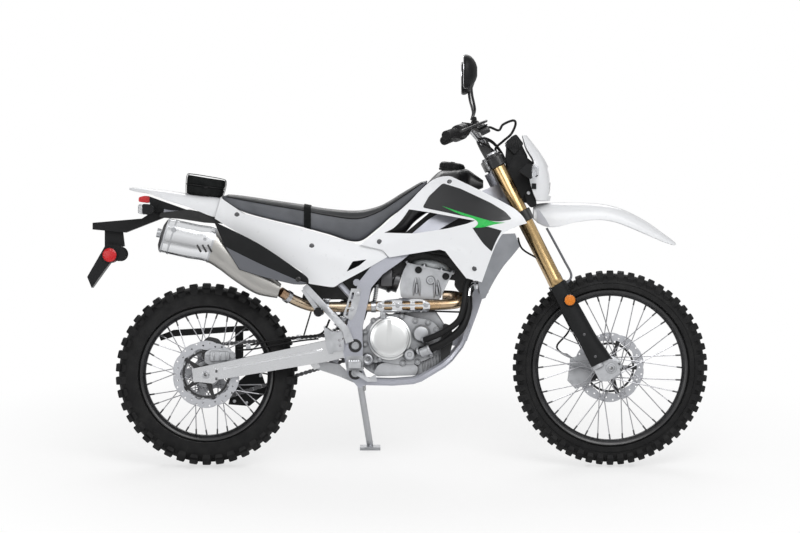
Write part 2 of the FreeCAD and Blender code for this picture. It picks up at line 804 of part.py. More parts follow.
def make_front_fender():
    """The high front fender, an arched channel that runs out to a thin tip."""
    half_width = s.fender_half_width
    stations = (
        (1166, 0.86, 880, 930), (1243, 1.0, 849, 937), (1323, 1.0, 869, 936), (1402, 0.98, 877, 933),
        (1458, 0.92, 869, 922), (1508, 0.84, 850, 902), (1574, 0.72, 822, 866), (1630, 0.6, 798, 826),
        (1676, 0.4, 780, 790),
    )
    wall = float(s.panel_thickness)
    sections = []
    for x, share, low, high in stations:
        width = half_width * share
        knee = low + (high - low) * 0.55
        half = [(width, low), (width - 3, knee), (width * 0.55, high - 3)]
        inner = [(width * 0.55, high - 3 - wall), (width - 3 - wall, knee - 2), (width - wall, low)]
        left = [(x, y, z) for y, z in half]
        right = [(x, -y, z) for y, z in reversed(half)]
        inner_right = [(x, -y, z) for y, z in reversed(inner)]
        inner_left = [(x, y, z) for y, z in inner]
        sections.append(left + right + inner_right + inner_left)
    fender = loft(sections)
    feature("front_fender", fender, AT_FRONT)


def make_front_brake():
    """Caliper behind the left fork leg, with its hose up to the lower clamp."""
    slot = s.running_clearance
    low = s.front_disc_offset - slot
    high = s.front_disc_offset + s.disc_thickness + slot
    outline = [(1290, 300), (1318, 271), (1372, 290), (1383, 350), (1352, 397), (1300, 380)]
    body = prism(outline, low - 16, high + 8)
    gap = bar((s.drawn_wheelbase, low, s.front_tyre_radius), (s.drawn_wheelbase, high, s.front_tyre_radius),
              s.front_disc_radius + slot, 36)
    caliper = body.cut(gap)
    bracket = prism([(1352, 300), (1392, 300), (1400, 372), (1352, 380)], high + 2, high + 12)
    inside = s.fork_spacing - s.outer_tube_radius - 9
    hose = tube([(1310, inside, 378), (1252, inside, 420), (1301, inside, 500), (1268, inside, 670),
                 (1201, inside, 727), (1130, 44, 770), (1112, 30, 812)], 3.5, 40)
    whole = fused([caliper, bracket, hose])
    for node in ("fork_castings", "fork_stanchions", "triple_clamps"):
        carrier = placed(node)
        carrier.translate(V(s.drawn_wheelbase - s.wheelbase, 0, 0))
        whole = whole.cut(carrier)
    feature("front_brake", whole, AT_FRONT)


def make_front_lights():
    pieces = []
    for side in (1, -1):
        tube_side = s.fork_spacing - s.outer_tube_radius - s.seat_clearance
        stalk = bar((1128, side * tube_side, 1042), (1128, side * 120, 1042), 8, 8)
        lamp = loft([
            [(1108, side * 118, 1046), (1150, side * 118, 1018), (1183, side * 118, 1030),
             (1183, side * 118, 1066), (1140, side * 118, 1074)],
            [(1118, side * 176, 1046), (1150, side * 176, 1026), (1176, side * 176, 1034),
             (1176, side * 176, 1062), (1140, side * 176, 1066)],
        ])
        pieces.append(fused([stalk, lamp]))
        disc_y = side * (s.fork_spacing + 30 + s.seat_clearance)
        pieces.append(bar((1293, disc_y, 590), (1293, disc_y + side * 8, 590), 22, 16))
    feature("front_indicators", gathered(pieces), AT_FRONT)


# Frame and swingarm

LINK_HALF_WIDTH = 24

# The frame's cross tubes: x, z and radius
CROSS_TUBES = {"lower": (545, 300, 14), "middle": (612, 700, 12), "damper": (536, 652, 12)}


def make_frame():
    head_low = STEERING_FOOT + UP_FORK * (s.lower_clamp_place + s.lower_clamp_height + 6)
    head_high = STEERING_FOOT + UP_FORK * (s.upper_clamp_place - 6)
    head = bar(head_low, head_high, s.head_tube_radius, 16)
    spacing = s.beam_half_spacing
    thickness = s.beam_thickness
    depth = s.beam_depth
    middle = (head_low + head_high) * 0.5
    pieces = [head]
    for side in (1, -1):
        pieces.append(beam([(middle.x - 4, middle.z + 6, side * 20, depth, 20)] + stretched([
            (930, 930, side * 66, depth + 4, thickness),
            (805, 855, side * 104, depth, thickness),
            (681, 749, side * spacing, depth, thickness),
            (612, 700, side * spacing, depth, thickness),
            (565, 643, side * spacing, depth, thickness),
            (530, 500, side * spacing, depth + 4, thickness),
            (522, 420, side * spacing, depth + 22, thickness),
            (531, 331, side * spacing, depth + 6, thickness),
            (560, 286, side * spacing, depth - 14, thickness),
        ])))
        pieces.append(tube(stretched([
            (548, side * (spacing - 14), 300), (665, side * s.cradle_half_spacing, 297),
            (750, side * s.cradle_half_spacing, 304), (857, side * s.cradle_half_spacing, 368),
            (908, side * 62, 432), (930, side * 20, 500)]), s.tube_radius, 60))
    down_top = head_low + UP_FORK * 51 - ACROSS_FORK * 24
    pieces.append(beam([(down_top.x, down_top.z, 0, 40, s.downtube_width)] + stretched([
        (1000, 712, 0, 42, s.downtube_width),
        (949, 548, 0, 36, s.downtube_width),
        (912, 448, 0, 34, s.downtube_width),
    ])))
    mount = [(861.5, 430), (916, 420), (912, 470), (856.2, 470)]
    pieces.append(prism(stretched(mount), -20, 20))
    for x, z, radius in CROSS_TUBES.values():
        pieces.append(bar((x, -spacing, z), (x, spacing, z), radius, 8))
    for side in (1, -1):
        y = side * s.subframe_half_spacing
        pieces.append(tube([(600, side * (spacing - 8), 742), (520, y, 782), (120, y, 868),
                            (-150, y * 0.7, 908)], 11, 60))
        pieces.append(tube([(548, side * (spacing - 2), 566), (430, side * 100, 700),
                            (150, y, 850)], 11, 60))
    pieces.append(bar((60, -s.subframe_half_spacing, 874), (60, s.subframe_half_spacing, 874), 10, 8))
    whole = fused(pieces)
    pin = bar((PIVOT.x, -200, PIVOT.z), (PIVOT.x, 200, PIVOT.z), s.pivot_pin_radius)
    stem = rod(head_low - UP_FORK * 5, head_high + UP_FORK * 5, s.steering_stem_radius + s.axle_play)
    feature("frame", whole.cut(pin).cut(stem))


def make_swingarm():
    spacing = s.arm_half_spacing
    pieces = []
    for side in (1, -1):
        pieces.append(beam([
            (-46, s.rear_tyre_radius - 4, side * spacing, s.arm_depth_rear - 8, s.arm_thickness),
            (60, s.rear_tyre_radius + 13, side * spacing, s.arm_depth_rear, s.arm_thickness),
            (430, PIVOT.z - 20, side * spacing, s.arm_depth_front, s.arm_thickness),
            (PIVOT.x + 6, PIVOT.z, side * spacing, s.arm_depth_front - 14, s.arm_thickness - 2),
        ]))
        outer = spacing + s.arm_thickness / 2
        face = sorted((side * (outer - 1), side * (outer + 5)))
        at = s.rear_tyre_radius
        pieces.append(prism([(-46, at - 24), (26, at - 32), (45, at - 18), (45, at + 18), (26, at + 27),
                             (-46, at + 20)], *face))
    inner = spacing - s.arm_thickness / 2
    at = 374
    middle = s.rear_tyre_radius + (s.countershaft_height - s.rear_tyre_radius) * at / s.countershaft_forward
    pieces.append(box((at - 22, -inner, middle - 26), (at + 22, inner, middle + 26)))
    for side in (1, -1):
        ear = sorted((side * (LINK_HALF_WIDTH + s.seat_clearance), side * (LINK_HALF_WIDTH + 9)))
        pieces.append(prism([(360, middle - 24), (396, middle - 24), (406, 350), (384, 340)], *ear))
    whole = fused(pieces)
    axle = bar((0, -200, s.rear_tyre_radius), (0, 200, s.rear_tyre_radius), s.rear_axle_radius)
    slot_pin = bar((PIVOT.x, -200, PIVOT.z), (PIVOT.x, 200, PIVOT.z), s.pivot_pin_radius)
    feature("swingarm", whole.cut(axle).cut(slot_pin))
    hollow_axle("rear_axle", s.rear_axle_radius, s.rear_axle_half_length, AT_REAR_AXLE)


def make_shock():
    """Damper with its coil between a cross tube and the rocker that the swingarm's ears carry."""
    top_x, top_z, top_radius = CROSS_TUBES["damper"]
    low_x, low_z, low_radius = CROSS_TUBES["lower"]
    foot = V(446, 0, 346)
    way = (V(top_x, 0, top_z) - foot).normalize()
    head = V(top_x, 0, top_z) - way * (top_radius + 1 + s.seat_clearance)
    damper = bar(foot, head, 16)
    turns = 8
    pitch = (246 - 44) / turns
    wound = []
    for index in range(turns):
        wound += [(25, pitch * index), (32, pitch * (index + 0.5))]
    coil = ring_of([(15, 0)] + wound + [(25, pitch * turns), (15, pitch * turns)], 12)
    coil.Placement = turn_to(way, foot + way * 44)
    rocker = prism([(384, 346), (402, 372), (470, 362), (low_x - low_radius - s.seat_clearance, low_z + 8),
                    (low_x - low_radius - s.seat_clearance, low_z - 8), (470, 318)],
                   -LINK_HALF_WIDTH, LINK_HALF_WIDTH)
    feature("shock", fused([damper, coil, rocker]))


def make_chain():
    """The chain as one fixed loop of links round both sprockets, wide plates next to narrow ones."""
    rear = V(0, 0, s.rear_tyre_radius)
    front = V(s.countershaft_forward, 0, s.countershaft_height)
    way = front - rear
    tilt = math.atan2(way.z, way.x)
    big, small = s.rear_sprocket_radius, s.front_sprocket_radius
    lean = math.acos((big - small) / way.Length)

    def ray(angle):
        return V(math.cos(angle), 0, math.sin(angle))

    top = [rear + ray(tilt + lean) * big, front + ray(tilt + lean) * small]
    low = [front + ray(tilt - lean) * small, rear + ray(tilt - lean) * big]
    run = (top[1] - top[0]).Length
    small_turn = 2 * lean * small
    big_turn = (2 * math.pi - 2 * lean) * big
    whole = 2 * run + small_turn + big_turn

    def at(length):
        """A place on the chain's middle line and the way out of the loop there."""
        if length < run:
            return top[0] + (top[1] - top[0]) * (length / run), ray(tilt + lean)
        length -= run
        if length < small_turn:
            out = ray(tilt + lean - length / small)
            return front + out * small, out
        length -= small_turn
        if length < run:
            return low[0] + (low[1] - low[0]) * (length / run), ray(tilt - lean)
        out = ray(tilt - lean - (length - run) / big)
        return rear + out * big, out

    half = s.chain_height / 2
    sides = [s.chain_offset + share * width / 2 for share, width in
             ((-1, s.chain_width), (-1, s.chain_inner_width), (1, s.chain_inner_width), (1, s.chain_width))]
    links = 2 * round(whole / s.chain_pitch / 2)
    pins = []
    for index in range(links):
        middle, out = at(whole * index / links)
        pins.append([[middle + out * rise + V(0, y, 0) for y in sides] for rise in (-half, half)])
    faces = []
    for index in range(links):
        before, after = pins[index - 1], pins[index]
        strips = (0, 1, 2) if index % 2 else (1,)
        for level in (0, 1):
            for strip in strips:
                faces += flat_faces([before[level][strip], before[level][strip + 1],
                                     after[level][strip + 1], after[level][strip]])
        for side in (strips[0], strips[-1] + 1):
            faces += flat_faces([before[0][side], before[1][side], after[1][side], after[0][side]])
        for side in (0, 2):
            faces += flat_faces([after[0][side], after[1][side], after[1][side + 1], after[0][side + 1]])
    feature("chain", solid_of(faces))
    guard = beam([(-171, 452, s.chain_offset + 12, 20, 30), (-120, 470, s.chain_offset + 12, 24, 30),
                  (147, 488, s.chain_offset + 12, 20, 30)])
    guide = prism([(74, 214), (150, 208), (216, 262), (190, 336), (150, 330), (90, 280)],
                  s.chain_offset + 12, s.chain_offset + 18)
    tab = box((98, s.arm_half_spacing - 8, 364), (128, s.arm_half_spacing - 2, 482))
    arm = placed("swingarm")
    feature("chain_guard", gathered([guard.fuse(tab).cut(arm), guide.cut(arm)]))


def make_rear_brake():
    slot = s.running_clearance
    low = -s.rear_disc_offset - s.disc_thickness - slot
    high = -s.rear_disc_offset + slot
    outline = [(-12, 392), (20, 356), (92, 362), (118, 392), (104, 424), (62, 448), (4, 458), (-12, 440)]
    body = prism(outline, low - 6, high + 10)
    gap = bar((0, low, s.rear_tyre_radius), (0, high, s.rear_tyre_radius), s.rear_disc_radius + slot, 36)
    caliper = body.cut(gap)
    inner = -s.arm_half_spacing + s.arm_thickness / 2
    bracket = prism([(-4, 346), (70, 352), (70, 384), (0, 396)], inner + s.seat_clearance, low - 4)
    feature("rear_brake", caliper.fuse(bracket))


# Engine and exhaust

def make_engine():
    half = s.crankcase_half_width
    outline = [
        (548, 372), (562, 348), (600, 322), (750, 320), (838, 352), (864, 410), (852, 500),
        (812, 560), (690, 560), (650, 528), (572, 500), (550, 450),
    ]
    inner = s.chain_offset - s.chain_width / 2 - s.running_clearance
    plate("crankcase", outline, -half, inner)
    barrel = prism([(688, 556), (826, 556), (850, 640), (880, 684), (718, 722), (694, 640)],
                   -s.cylinder_half_width, s.cylinder_half_width)
    dome = prism([(717, 724), (882, 684), (868, 712), (820, 738), (760, 742)], -58, 58)
    doc.recompute()
    feature("cylinder", fused([barrel, dome]).cut(placed("crankcase")))
    x, z = 652.8, 453.8
    radius, depth = s.clutch_cover_radius, s.clutch_cover_depth
    step = -half - depth + 8
    rib = prism([(x - 7, z - radius + 8), (x + 7, z - radius + 8), (x + 7, z + radius - 8),
                 (x - 7, z + radius - 8)], -half - depth, step + 1)
    covers = [fused([bar((x, -half, z), (x, step, z), radius, 32),
                     bar((x, step, z), (x, step - 4, z), radius - 10, 32), rib])]
    for x, z, radius, depth, sides in ((765.7, 470.2, 29, 30, 20), (574.5, 379, 20, 26, 16)):
        covers.append(bar((x, -half, z), (x, -half - depth, z), radius, sides))
    x, z = s.crankshaft_forward + 20, s.countershaft_height
    covers.append(bar((x, inner, z), (x, inner + 58, z), 76, 32))
    guard_low = s.chain_offset + s.chain_width / 2 + s.running_clearance
    covers.append(prism([(552, 392), (640, 386), (664, 440), (640, 498), (560, 490)],
                        guard_low, guard_low + 10))
    covers.append(bar((648, inner, 392), (648, guard_low, 392), 8, 8))
    feature("engine_covers", gathered(covers))


def make_exhaust():
    points = [(842, -34, 606), (898, -50, 600), (902, -112, 580), (838, -112, 573), (700, -100, 570),
              (574, -90, 566), (384, -88, 565), (262, -140, 622)]
    header = tube(points, 19, 60)
    sections = []
    for x, z, half_height, half_width in (
            (262, 622, 26, 26), (190, 656, 44, 40), (60, 755, 52, 44), (20, 786, 60, 50),
            (-146, 822, 60, 50)):
        ring = []
        for corner in range(8):
            angle = math.pi / 8 + corner * math.pi / 4
            out = half_width * math.cos(angle) / math.cos(math.pi / 8)
            rise = half_height * math.sin(angle) / math.cos(math.pi / 8)
            ring.append((x + rise * 0.3, -150 + out, z + rise))
        sections.append(ring)
    silencer = loft(sections)
    feature("silencer", silencer)
    feature("exhaust_header", header.cut(silencer).cut(placed("cylinder")))
    panel = prism([(32, 870), (341, 686), (367, 644), (314, 644), (121, 697), (68, 786)], -202, -194)
    sleeve = tube([(790, -108, 572.6), (700, -100, 570), (608, -93, 567)], 25, 60)
    shield = sleeve.cut(header).cut(box((500, -98, 500), (900, 0, 700)))
    for x in (632, 674, 716, 758):
        shield = shield.cut(box((x - 14, -140, 561), (x + 14, -98, 575)))
    feature("heat_shields", gathered([panel.cut(silencer), shield]))


# Tank, seat and panels

def make_tank():
    wide = s.tank_half_width
    sections = []
    for x, half_width, low, high in ((600, 0.62, 800, 806), (700, 0.9, 822, 900), (785, 1.0, 900, 1002),
                                     (830, 1.0, 924, 1050), (898, 0.86, 950, 1058),
                                     (930, 0.37, 966, 1056), (960, 0.34, 978, 1034),
                                     (988, 0.3, 990, 1016)):
        w = wide * half_width
        mid = (low + high) / 2
        half = [(w * 0.9, low), (w, mid), (w * 0.66, high)]
        sections.append([(x, y, z) for y, z in half] + [(x, -y, z) for y, z in reversed(half)])
    feet = [box((784, min(side * 84, side * 106), 860), (806, max(side * 84, side * 106), 912))
            for side in (1, -1)]
    tank = loft([stretched(section) for section in sections])
    feature("fuel_tank", fused([tank] + feet).cut(placed("frame")))
    cap = bar(*stretched([(872, 0, 1050), (880, 0, 1080)]), 46, 24)
    feature("fuel_cap", cap.cut(placed("fuel_tank")))


def make_seat():
    wide = s.seat_half_width
    stations = (
        (56, 0.86, 950, 966), (136, 0.98, 900, 962), (341, 1.0, 848, 930), (428, 0.94, 824, 916),
        (541, 0.84, 796, 908), (613, 0.76, 846, 924), (688, 0.7, 908, 965), (790, 0.62, 1006, 1024),
    )
    sections = []
    for x, share, low, high in stations:
        w = wide * share
        half = [(w, low), (w, high - (high - low) * 0.35), (w * 0.68, high)]
        sections.append([(x, y, z) for y, z in half] + [(x, -y, z) for y, z in reversed(half)])
    rails = s.subframe_half_spacing
    feet = [box((x, side * rails - 9, 790), (x + 30, side * rails + 9, high))
            for x, high in ((290, 872), (470, 830)) for side in (1, -1)]
    seat = fused([loft(sections)] + feet).cut(placed("fuel_tank")).cut(placed("frame"))
    feature("seat", max(seat.Solids, key=lambda solid: solid.Volume))


def skin(stations, heights, wall):
    """A curved wall on the left side: how far out it lies at each station and height."""
    outer = [[V(x, out, z) for out, z in zip(outs, heights)] for x, outs in stations]
    inner = [[corner - V(0, wall, 0) for corner in row] for row in outer]
    faces = []
    for here, after, here_in, after_in in zip(outer, outer[1:], inner, inner[1:]):
        for low, high in zip(range(len(here)), range(1, len(here))):
            faces += flat_faces([here[low], after[low], after[high], here[high]])
            faces += [side.reversed() for side in
                      flat_faces([here_in[low], after_in[low], after_in[high], here_in[high]])]
        faces += flat_faces([here_in[0], after_in[0], after[0], here[0]])
        faces += flat_faces([here[-1], after[-1], after_in[-1], here_in[-1]])
    for low, high in zip(range(len(heights)), range(1, len(heights))):
        faces += flat_faces([outer[0][high], inner[0][high], inner[0][low], outer[0][low]])
        faces += flat_faces([outer[-1][low], inner[-1][low], inner[-1][high], outer[-1][high]])
    return solid_of(faces)


def make_shrouds():
    heights = (630, 760, 850, 930, 1050)
    stations = (
        (530, (136, 156, 152, 140, 112)),
        (700, (150, 162, 156, 142, 108)),
        (850, (168, 184, 182, 158, 112)),
        (1000, (186, 206, 208, 186, 140)),
        (1160, (196, 216, 220, 206, 172)),
    )
    wall = skin(stations, heights, float(s.panel_thickness))
    outline = [
        (720, 934), (799, 1016), (865, 1030), (886, 1022), (1080, 923), (1118, 893), (1141, 861),
        (1100, 852), (1056, 827), (1018, 759), (980, 651), (922, 666), (848, 765), (830, 770),
        (652, 740), (628, 767), (548, 785), (593, 822),
    ]
    window = [(717, 915), (955, 872), (930, 862), (806, 835), (735, 825), (620, 830)]
    shape = wall.common(prism(outline, 0, 300)).cut(prism(window, 0, 300))
    flange = wall.common(prism([
        (1097, 825), (1114, 779), (1055, 708), (1021, 654), (992, 596), (975, 591), (966, 651),
        (1004, 757), (1044, 825)], 0, 300))
    flange.translate(V(0, -s.panel_thickness - s.seat_clearance, 0))
    feature("shrouds", gathered(both_sides(shape) + both_sides(flange)))


def make_side_panels():
    heights = (620, 740, 850, 970)
    stations = (
        (0, (124, 124, 118, 108)),
        (340, (150, 146, 132, 116)),
        (680, (146, 146, 138, 124)),
    )
    wall = skin(stations, heights, float(s.panel_thickness))
    outline = [
        (53, 954), (136, 896), (440, 817), (548, 785), (628, 767), (646, 743), (474, 648),
        (451, 636), (368, 648), (341, 691), (32, 880),
    ]
    slot = [(498, 687), (522, 728), (575, 735)]
    shape = wall.common(prism(outline, 0, 300)).cut(prism(slot, 0, 300))
    beam_side = s.beam_half_spacing + s.beam_thickness / 2
    boss = bar((596, beam_side, 722), (596, 146, 722), 9, 8)
    feature("side_panels", gathered(both_sides(shape.fuse(boss))))


def make_tail():
    sections = []
    for x, w, low, high in ((-278, 34, 984, 993), (-204, 72, 966, 988), (-73, 96, 924, 971),
                            (32, 104, 884, 962), (52, 104, 904, 954)):
        half = [(w, low), (w, low + (high - low) * 0.6), (w * 0.7, high)]
        sections.append([(x, y, z) for y, z in half] + [(x, -y, z) for y, z in reversed(half)])
    feature("tail_cover", loft(sections).cut(placed("frame")))
    under = []
    for x, w, low, high in ((-201, 58, 905, 958), (-124, 66, 898, 930), (30, 66, 862, 876)):
        half = [(w, low), (w, high)]
        under.append([(x, y, z) for y, z in half] + [(x, -y, z) for y, z in reversed(half)])
    arm = prism([(-160, 925), (-110, 900), (-289, 830), (-406, 841), (-406, 865), (-230, 880)], -46, 46)
    holder = prism([(-364, 842), (-300, 838), (-293, 781), (-364, 781)], -20, 20)
    flap = prism([(-356, 790), (-300, 782), (-408, 633), (-424, 672)], -70, 70)
    mudguard = fused([loft(under), arm, holder, flap])
    feature("rear_mudguard", mudguard.cut(placed("frame")).cut(placed("tail_cover")))
    lamp = box((-243, -52, 935), (-201.3, 52, 962)).cut(placed("tail_cover"))
    reflector = bar((-344, 71, 750), (-344, 78, 750), 28, 20)
    feature("tail_lamp", gathered([lamp] + both_sides(reflector)))
    indicators = []
    for side in (1, -1):
        stalk = bar((-190, side * 58.3, 914), (-190, side * 92, 914), 7, 8)
        body = box((-240, min(side * 90, side * 146), 893), (-182, max(side * 90, side * 146), 932))
        indicators.append(fused([stalk, body]).cut(placed("rear_mudguard")))
    feature("rear_indicators", gathered(indicators))
    bag = loft([
        [(-70, -80, 966), (-70, 80, 966), (-66, 74, 1038), (-66, -74, 1038)],
        [(50, -80, 952), (50, 80, 952), (68, 74, 1016), (68, -74, 1016)],
    ])
    feature("tool_bag", bag.cut(placed("tail_cover")).cut(placed("seat")))


def make_radiators():
    pieces = []
    for side in (1, -1):
        low, high = sorted((side * 62, side * 168))
        core = box((968, low, 612), (1004, high, 850))
        boss = bar((985, side * 160, 702), (985, side * 230, 702), 8, 8).cut(placed("shrouds"))
        inner = min(boss.Solids, key=lambda solid: abs(solid.CenterOfMass.y))
        low, high = sorted((side * s.downtube_width / 2, side * 64))
        bracket = box((974, low, 690), (996, high, 704)).cut(placed("frame"))
        pieces.append(fused([core, inner, bracket]))
    hose = tube([(967.7, -104, 642), (940, -104, 642), (914, -150, 580), (868, -142, 490),
                 (800, -124, 418), (752, -100, 408)], 14, 50)
    second = tube([(967.7, -140, 674), (944, -140, 674), (880, -156, 596), (830, -148, 500),
                   (796, -138, 462), (776, -115, 452)], 11, 50)
    feature("radiators", gathered(pieces))
    feature("coolant_hose", gathered([hose, second.cut(placed("engine_covers"))]))


def make_airbox():
    body = prism([(352, 668), (470, 650), (556, 700), (590, 770), (540, 784), (352, 836)], -62, 62)
    x, z, radius = CROSS_TUBES["middle"]
    duct = prism([(540, z - 6), (x, z - 6), (x, z + 14), (570, z + 20)], -40, 40)
    flap = prism([(372, 672), (376, 672), (378, 560), (348, 460), (344, 461), (374, 561)], -56, 56)
    airbox = fused([body, duct, flap]).cut(placed("shock")).cut(placed("frame")).cut(placed("seat"))
    feature("airbox", max(airbox.Solids, key=lambda solid: solid.Volume))


def make_controls():
    """Footpegs with their brackets, passenger peg stays, brake pedal and shift lever."""
    outer = s.beam_half_spacing + s.beam_thickness / 2
    pieces = []
    pedal = beam([(531, 336, -outer - 10, 18, 12), (578, 306, -outer - 20, 14, 12),
                  (606, 314, -outer - 20, 26, 24)])
    for side in (1, -1):
        low, high = sorted((side * outer, side * (outer + 22)))
        bracket = prism([(500, 340), (560, 340), (560, 392), (500, 392)], low, high)
        low, high = sorted((side * (outer + 22), side * 262))
        peg = prism([(508, 350), (552, 350), (552, 374), (508, 374)], low, high)
        at_frame = side * (outer + 6 + s.seat_clearance)
        stay = beam([(352, 640, side * 128, 22, 12), (496, 486, at_frame, 26, 12),
                     (512, 440, at_frame, 30, 12)])
        rest_low, rest_high = sorted((side * 126, side * 226))
        rest = prism([(388, 536), (414, 536), (414, 560), (388, 560)], rest_low, rest_high)
        stay_low = beam([(346, 628, side * 128, 16, 12), (403, 548, side * 132, 18, 12)])
        link = beam([(396, 550, side * 132, 20, 12), (428, 568, side * 136, 20, 12)])
        foot_low, foot_high = sorted((at_frame - side * 3, at_frame + side * 3))
        foot = prism([(419, 497), (448, 478), (495, 484), (490, 410), (456, 408), (452, 400), (436, 400),
                      (424, 452)], foot_low, foot_high)
        for x, z in ((470, 479), (475, 447), (478, 428), (489, 452)):
            foot = foot.cut(bar((x, foot_low - 1, z), (x, foot_high + 1, z), 4, 6))
        pieces.append(fused([bracket, peg] + ([pedal] if side < 0 else [])))
        pieces.append(fused([stay, stay_low, rest, link, foot]))
        heel_low, heel_high = sorted((side * (outer + s.seat_clearance), side * (outer + 4)))
        heel = prism([(488, 536), (517, 517), (533, 542), (547, 590), (550, 630), (517, 631),
                      (502, 579)], heel_low, heel_high)
        for x, z in ((503, 547), (512, 576), (521, 605)):
            heel = heel.cut(prism([(x - 6, z - 12), (x + 2, z - 12), (x + 7, z + 12), (x - 1, z + 12)],
                                  heel_low - 1, heel_high + 1))
        pieces.append(heel)
    lever = beam([(606, 377, outer + 4, 14, 10), (700, 372, outer + 12, 12, 10),
                  (716, 372, outer + 24, 14, 30)])
    case_left = s.chain_offset - s.chain_width / 2 - s.running_clearance
    shaft = rod((606, case_left, 377), (606, outer + 4, 377), 6)
    pieces.append(lever.fuse(shaft))
    feature("foot_controls", gathered(pieces))


# Side stand, out and on the ground

def ground_height(y, z0):
    """Height of the leaned ground at a side distance, in the upright bike."""
    return z0 + y * math.tan(math.radians(s.lean_angle))


def stand_pivot():
    """The stand's pivot and the slanted axis it folds back about, in the upright bike."""
    outer = s.beam_half_spacing + s.beam_thickness / 2
    pivot = V(s.stand_forward, outer + s.stand_knuckle_gap, s.stand_pivot_height)
    axis = V(-math.tan(math.radians(s.stand_axis_sweep)), 1, math.tan(math.radians(s.stand_axis_rise)))
    return pivot, axis.normalize()


def make_stand(z0):
    reach = s.stand_foot_reach
    pivot, axis = stand_pivot()
    knuckle = rod(pivot, pivot + axis * 24, 18)
    sole_top = ground_height(reach, z0) + 10
    foot = V(s.stand_foot_forward, reach, sole_top + 2)
    leg = tube([pivot + axis * 12, foot], s.stand_leg_radius, 0, 12)
    sole = Part.makeBox(74, 46, 12, V(-37, -23, 0))
    sole.rotate(V(0, 0, 0), V(1, 0, 0), float(s.lean_angle))
    sole.translate(V(foot.x, reach, ground_height(reach, z0)))
    eye = rod(pivot - axis * 10, pivot + axis * 60, s.stand_pin_radius + s.stand_play)
    recess = bar(pivot + axis * 24, pivot + axis * 60, s.stand_pin_head + 2)
    feature("side_stand", fused([leg, knuckle, sole]).cut(eye).cut(recess))
    shank = rod(pivot - axis * 16, pivot + axis * 26, s.stand_pin_radius)
    head = bar(pivot + axis * 24.4, pivot + axis * 31, s.stand_pin_head, 6)
    reach = s.beam_half_spacing + s.beam_thickness / 2 + 4
    through = bar((PIVOT.x, -reach, PIVOT.z), (PIVOT.x, reach, PIVOT.z), s.pivot_pin_radius)
    feature("pivot_bolts", gathered([fused([shank, head]).cut(placed("frame")), through]))


# Lean the bike on its stand

def lowest(profile, centre, place):
    """Lowest point of a wheel with this half section, once it is placed."""
    axis = place.Rotation.multVec(V(0, 1, 0))
    middle = place.multVec(centre)
    flat = math.sqrt(1 - axis.z ** 2)
    return min(middle.z + y * axis.z - r * flat for r, y in profile)


def lean_and_pitch():
    """The turn that leans the bike, with the small pitch that keeps both tyres down."""
    front = [(s.front_tyre_radius, s.front_tyre_half_width * 0.55)]
    rear = [(s.rear_tyre_radius, s.rear_tyre_half_width * 0.55)]
    lean = FreeCAD.Rotation(V(1, 0, 0), -float(s.lean_angle))
    pitch = 0.0
    for _ in range(6):
        rotation = FreeCAD.Rotation(V(0, 1, 0), pitch).multiply(lean)
        place = FreeCAD.Placement(V(0, 0, 0), rotation)
        front_low = lowest(front, FRONT_AXLE, place)
        rear_low = lowest(rear, REAR_AXLE, place)
        pitch += math.degrees(math.atan2(front_low - rear_low, float(s.wheelbase)))
    return place, rear_low


def main():
    make_wheels()
    make_fork()
    make_handlebar()
    make_mirrors()
    make_front_lamp()
    make_front_fender()
    make_front_brake()
    make_front_lights()
    make_frame()
    make_swingarm()
    make_shock()
    make_chain()
    make_rear_brake()
    make_engine()
    make_exhaust()
    make_tank()
    make_seat()
    make_shrouds()
    make_side_panels()
    make_tail()
    make_radiators()
    make_airbox()
    make_controls()
    leaned, ground = lean_and_pitch()
    make_stand(ground / math.cos(math.radians(s.lean_angle)))
    doc.recompute()
    finish(leaned, ground)


def finish(leaned, ground):
    """Place every sub-part, check it and write it out."""
    for thing, place in SUB_PARTS.values():
        thing.Placement = leaned.multiply(place)
    doc.recompute()
    corners = []
    for thing, _ in SUB_PARTS.values():
        corners += thing.Shape.tessellate(0.5)[0]
    middle = V(
        (min(p.x for p in corners) + max(p.x for p in corners)) / 2,
        (min(p.y for p in corners) + max(p.y for p in corners)) / 2,
        ground,
    )
    to_floor = FreeCAD.Placement(middle * -1, FreeCAD.Rotation())
    for thing, place in SUB_PARTS.values():
        thing.Placement = to_floor.multiply(leaned).multiply(place)
    doc.recompute()
    faults = [item.Name for item in doc.Objects if {"Invalid", "Error"} & set(item.State)]
    for node, (thing, _) in SUB_PARTS.items():
        if thing.Shape.isNull() or not thing.Shape.isValid() or not thing.Shape.Solids:
            faults.append(node)
    if faults:
        raise SystemExit("these did not build: " + ", ".join(faults))
    os.makedirs("parts", exist_ok=True)
    for node, (thing, _) in SUB_PARTS.items():
        thing.Shape.exportStep(f"parts/{node}.step")
    whole = to_floor.multiply(leaned)
    print("placement", whole)
    for name, point in (("front_axle", FRONT_AXLE), ("rear_axle", REAR_AXLE),
                        ("steering", STEERING_FOOT)):
        print(name, whole.multVec(point))
    print("across", whole.Rotation.multVec(V(0, 1, 0)))
    print("steering direction", whole.Rotation.multVec(UP_FORK))
    pivot, axis = stand_pivot()
    print("stand pivot", whole.multVec(pivot))
    print("stand axis", whole.Rotation.multVec(axis))


main()
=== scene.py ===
"""Looks of the dual sport motorcycle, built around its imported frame.

Pieces are drawn upright in the bike's own millimetres: X forward from the rear axle, Y to the
rider's left, Z up from the ground. BIKE then carries them into the leaning bike's place.
"""

import contextlib
import json
import math

import bmesh
import bpy
from mathutils import Matrix, Vector, geometry

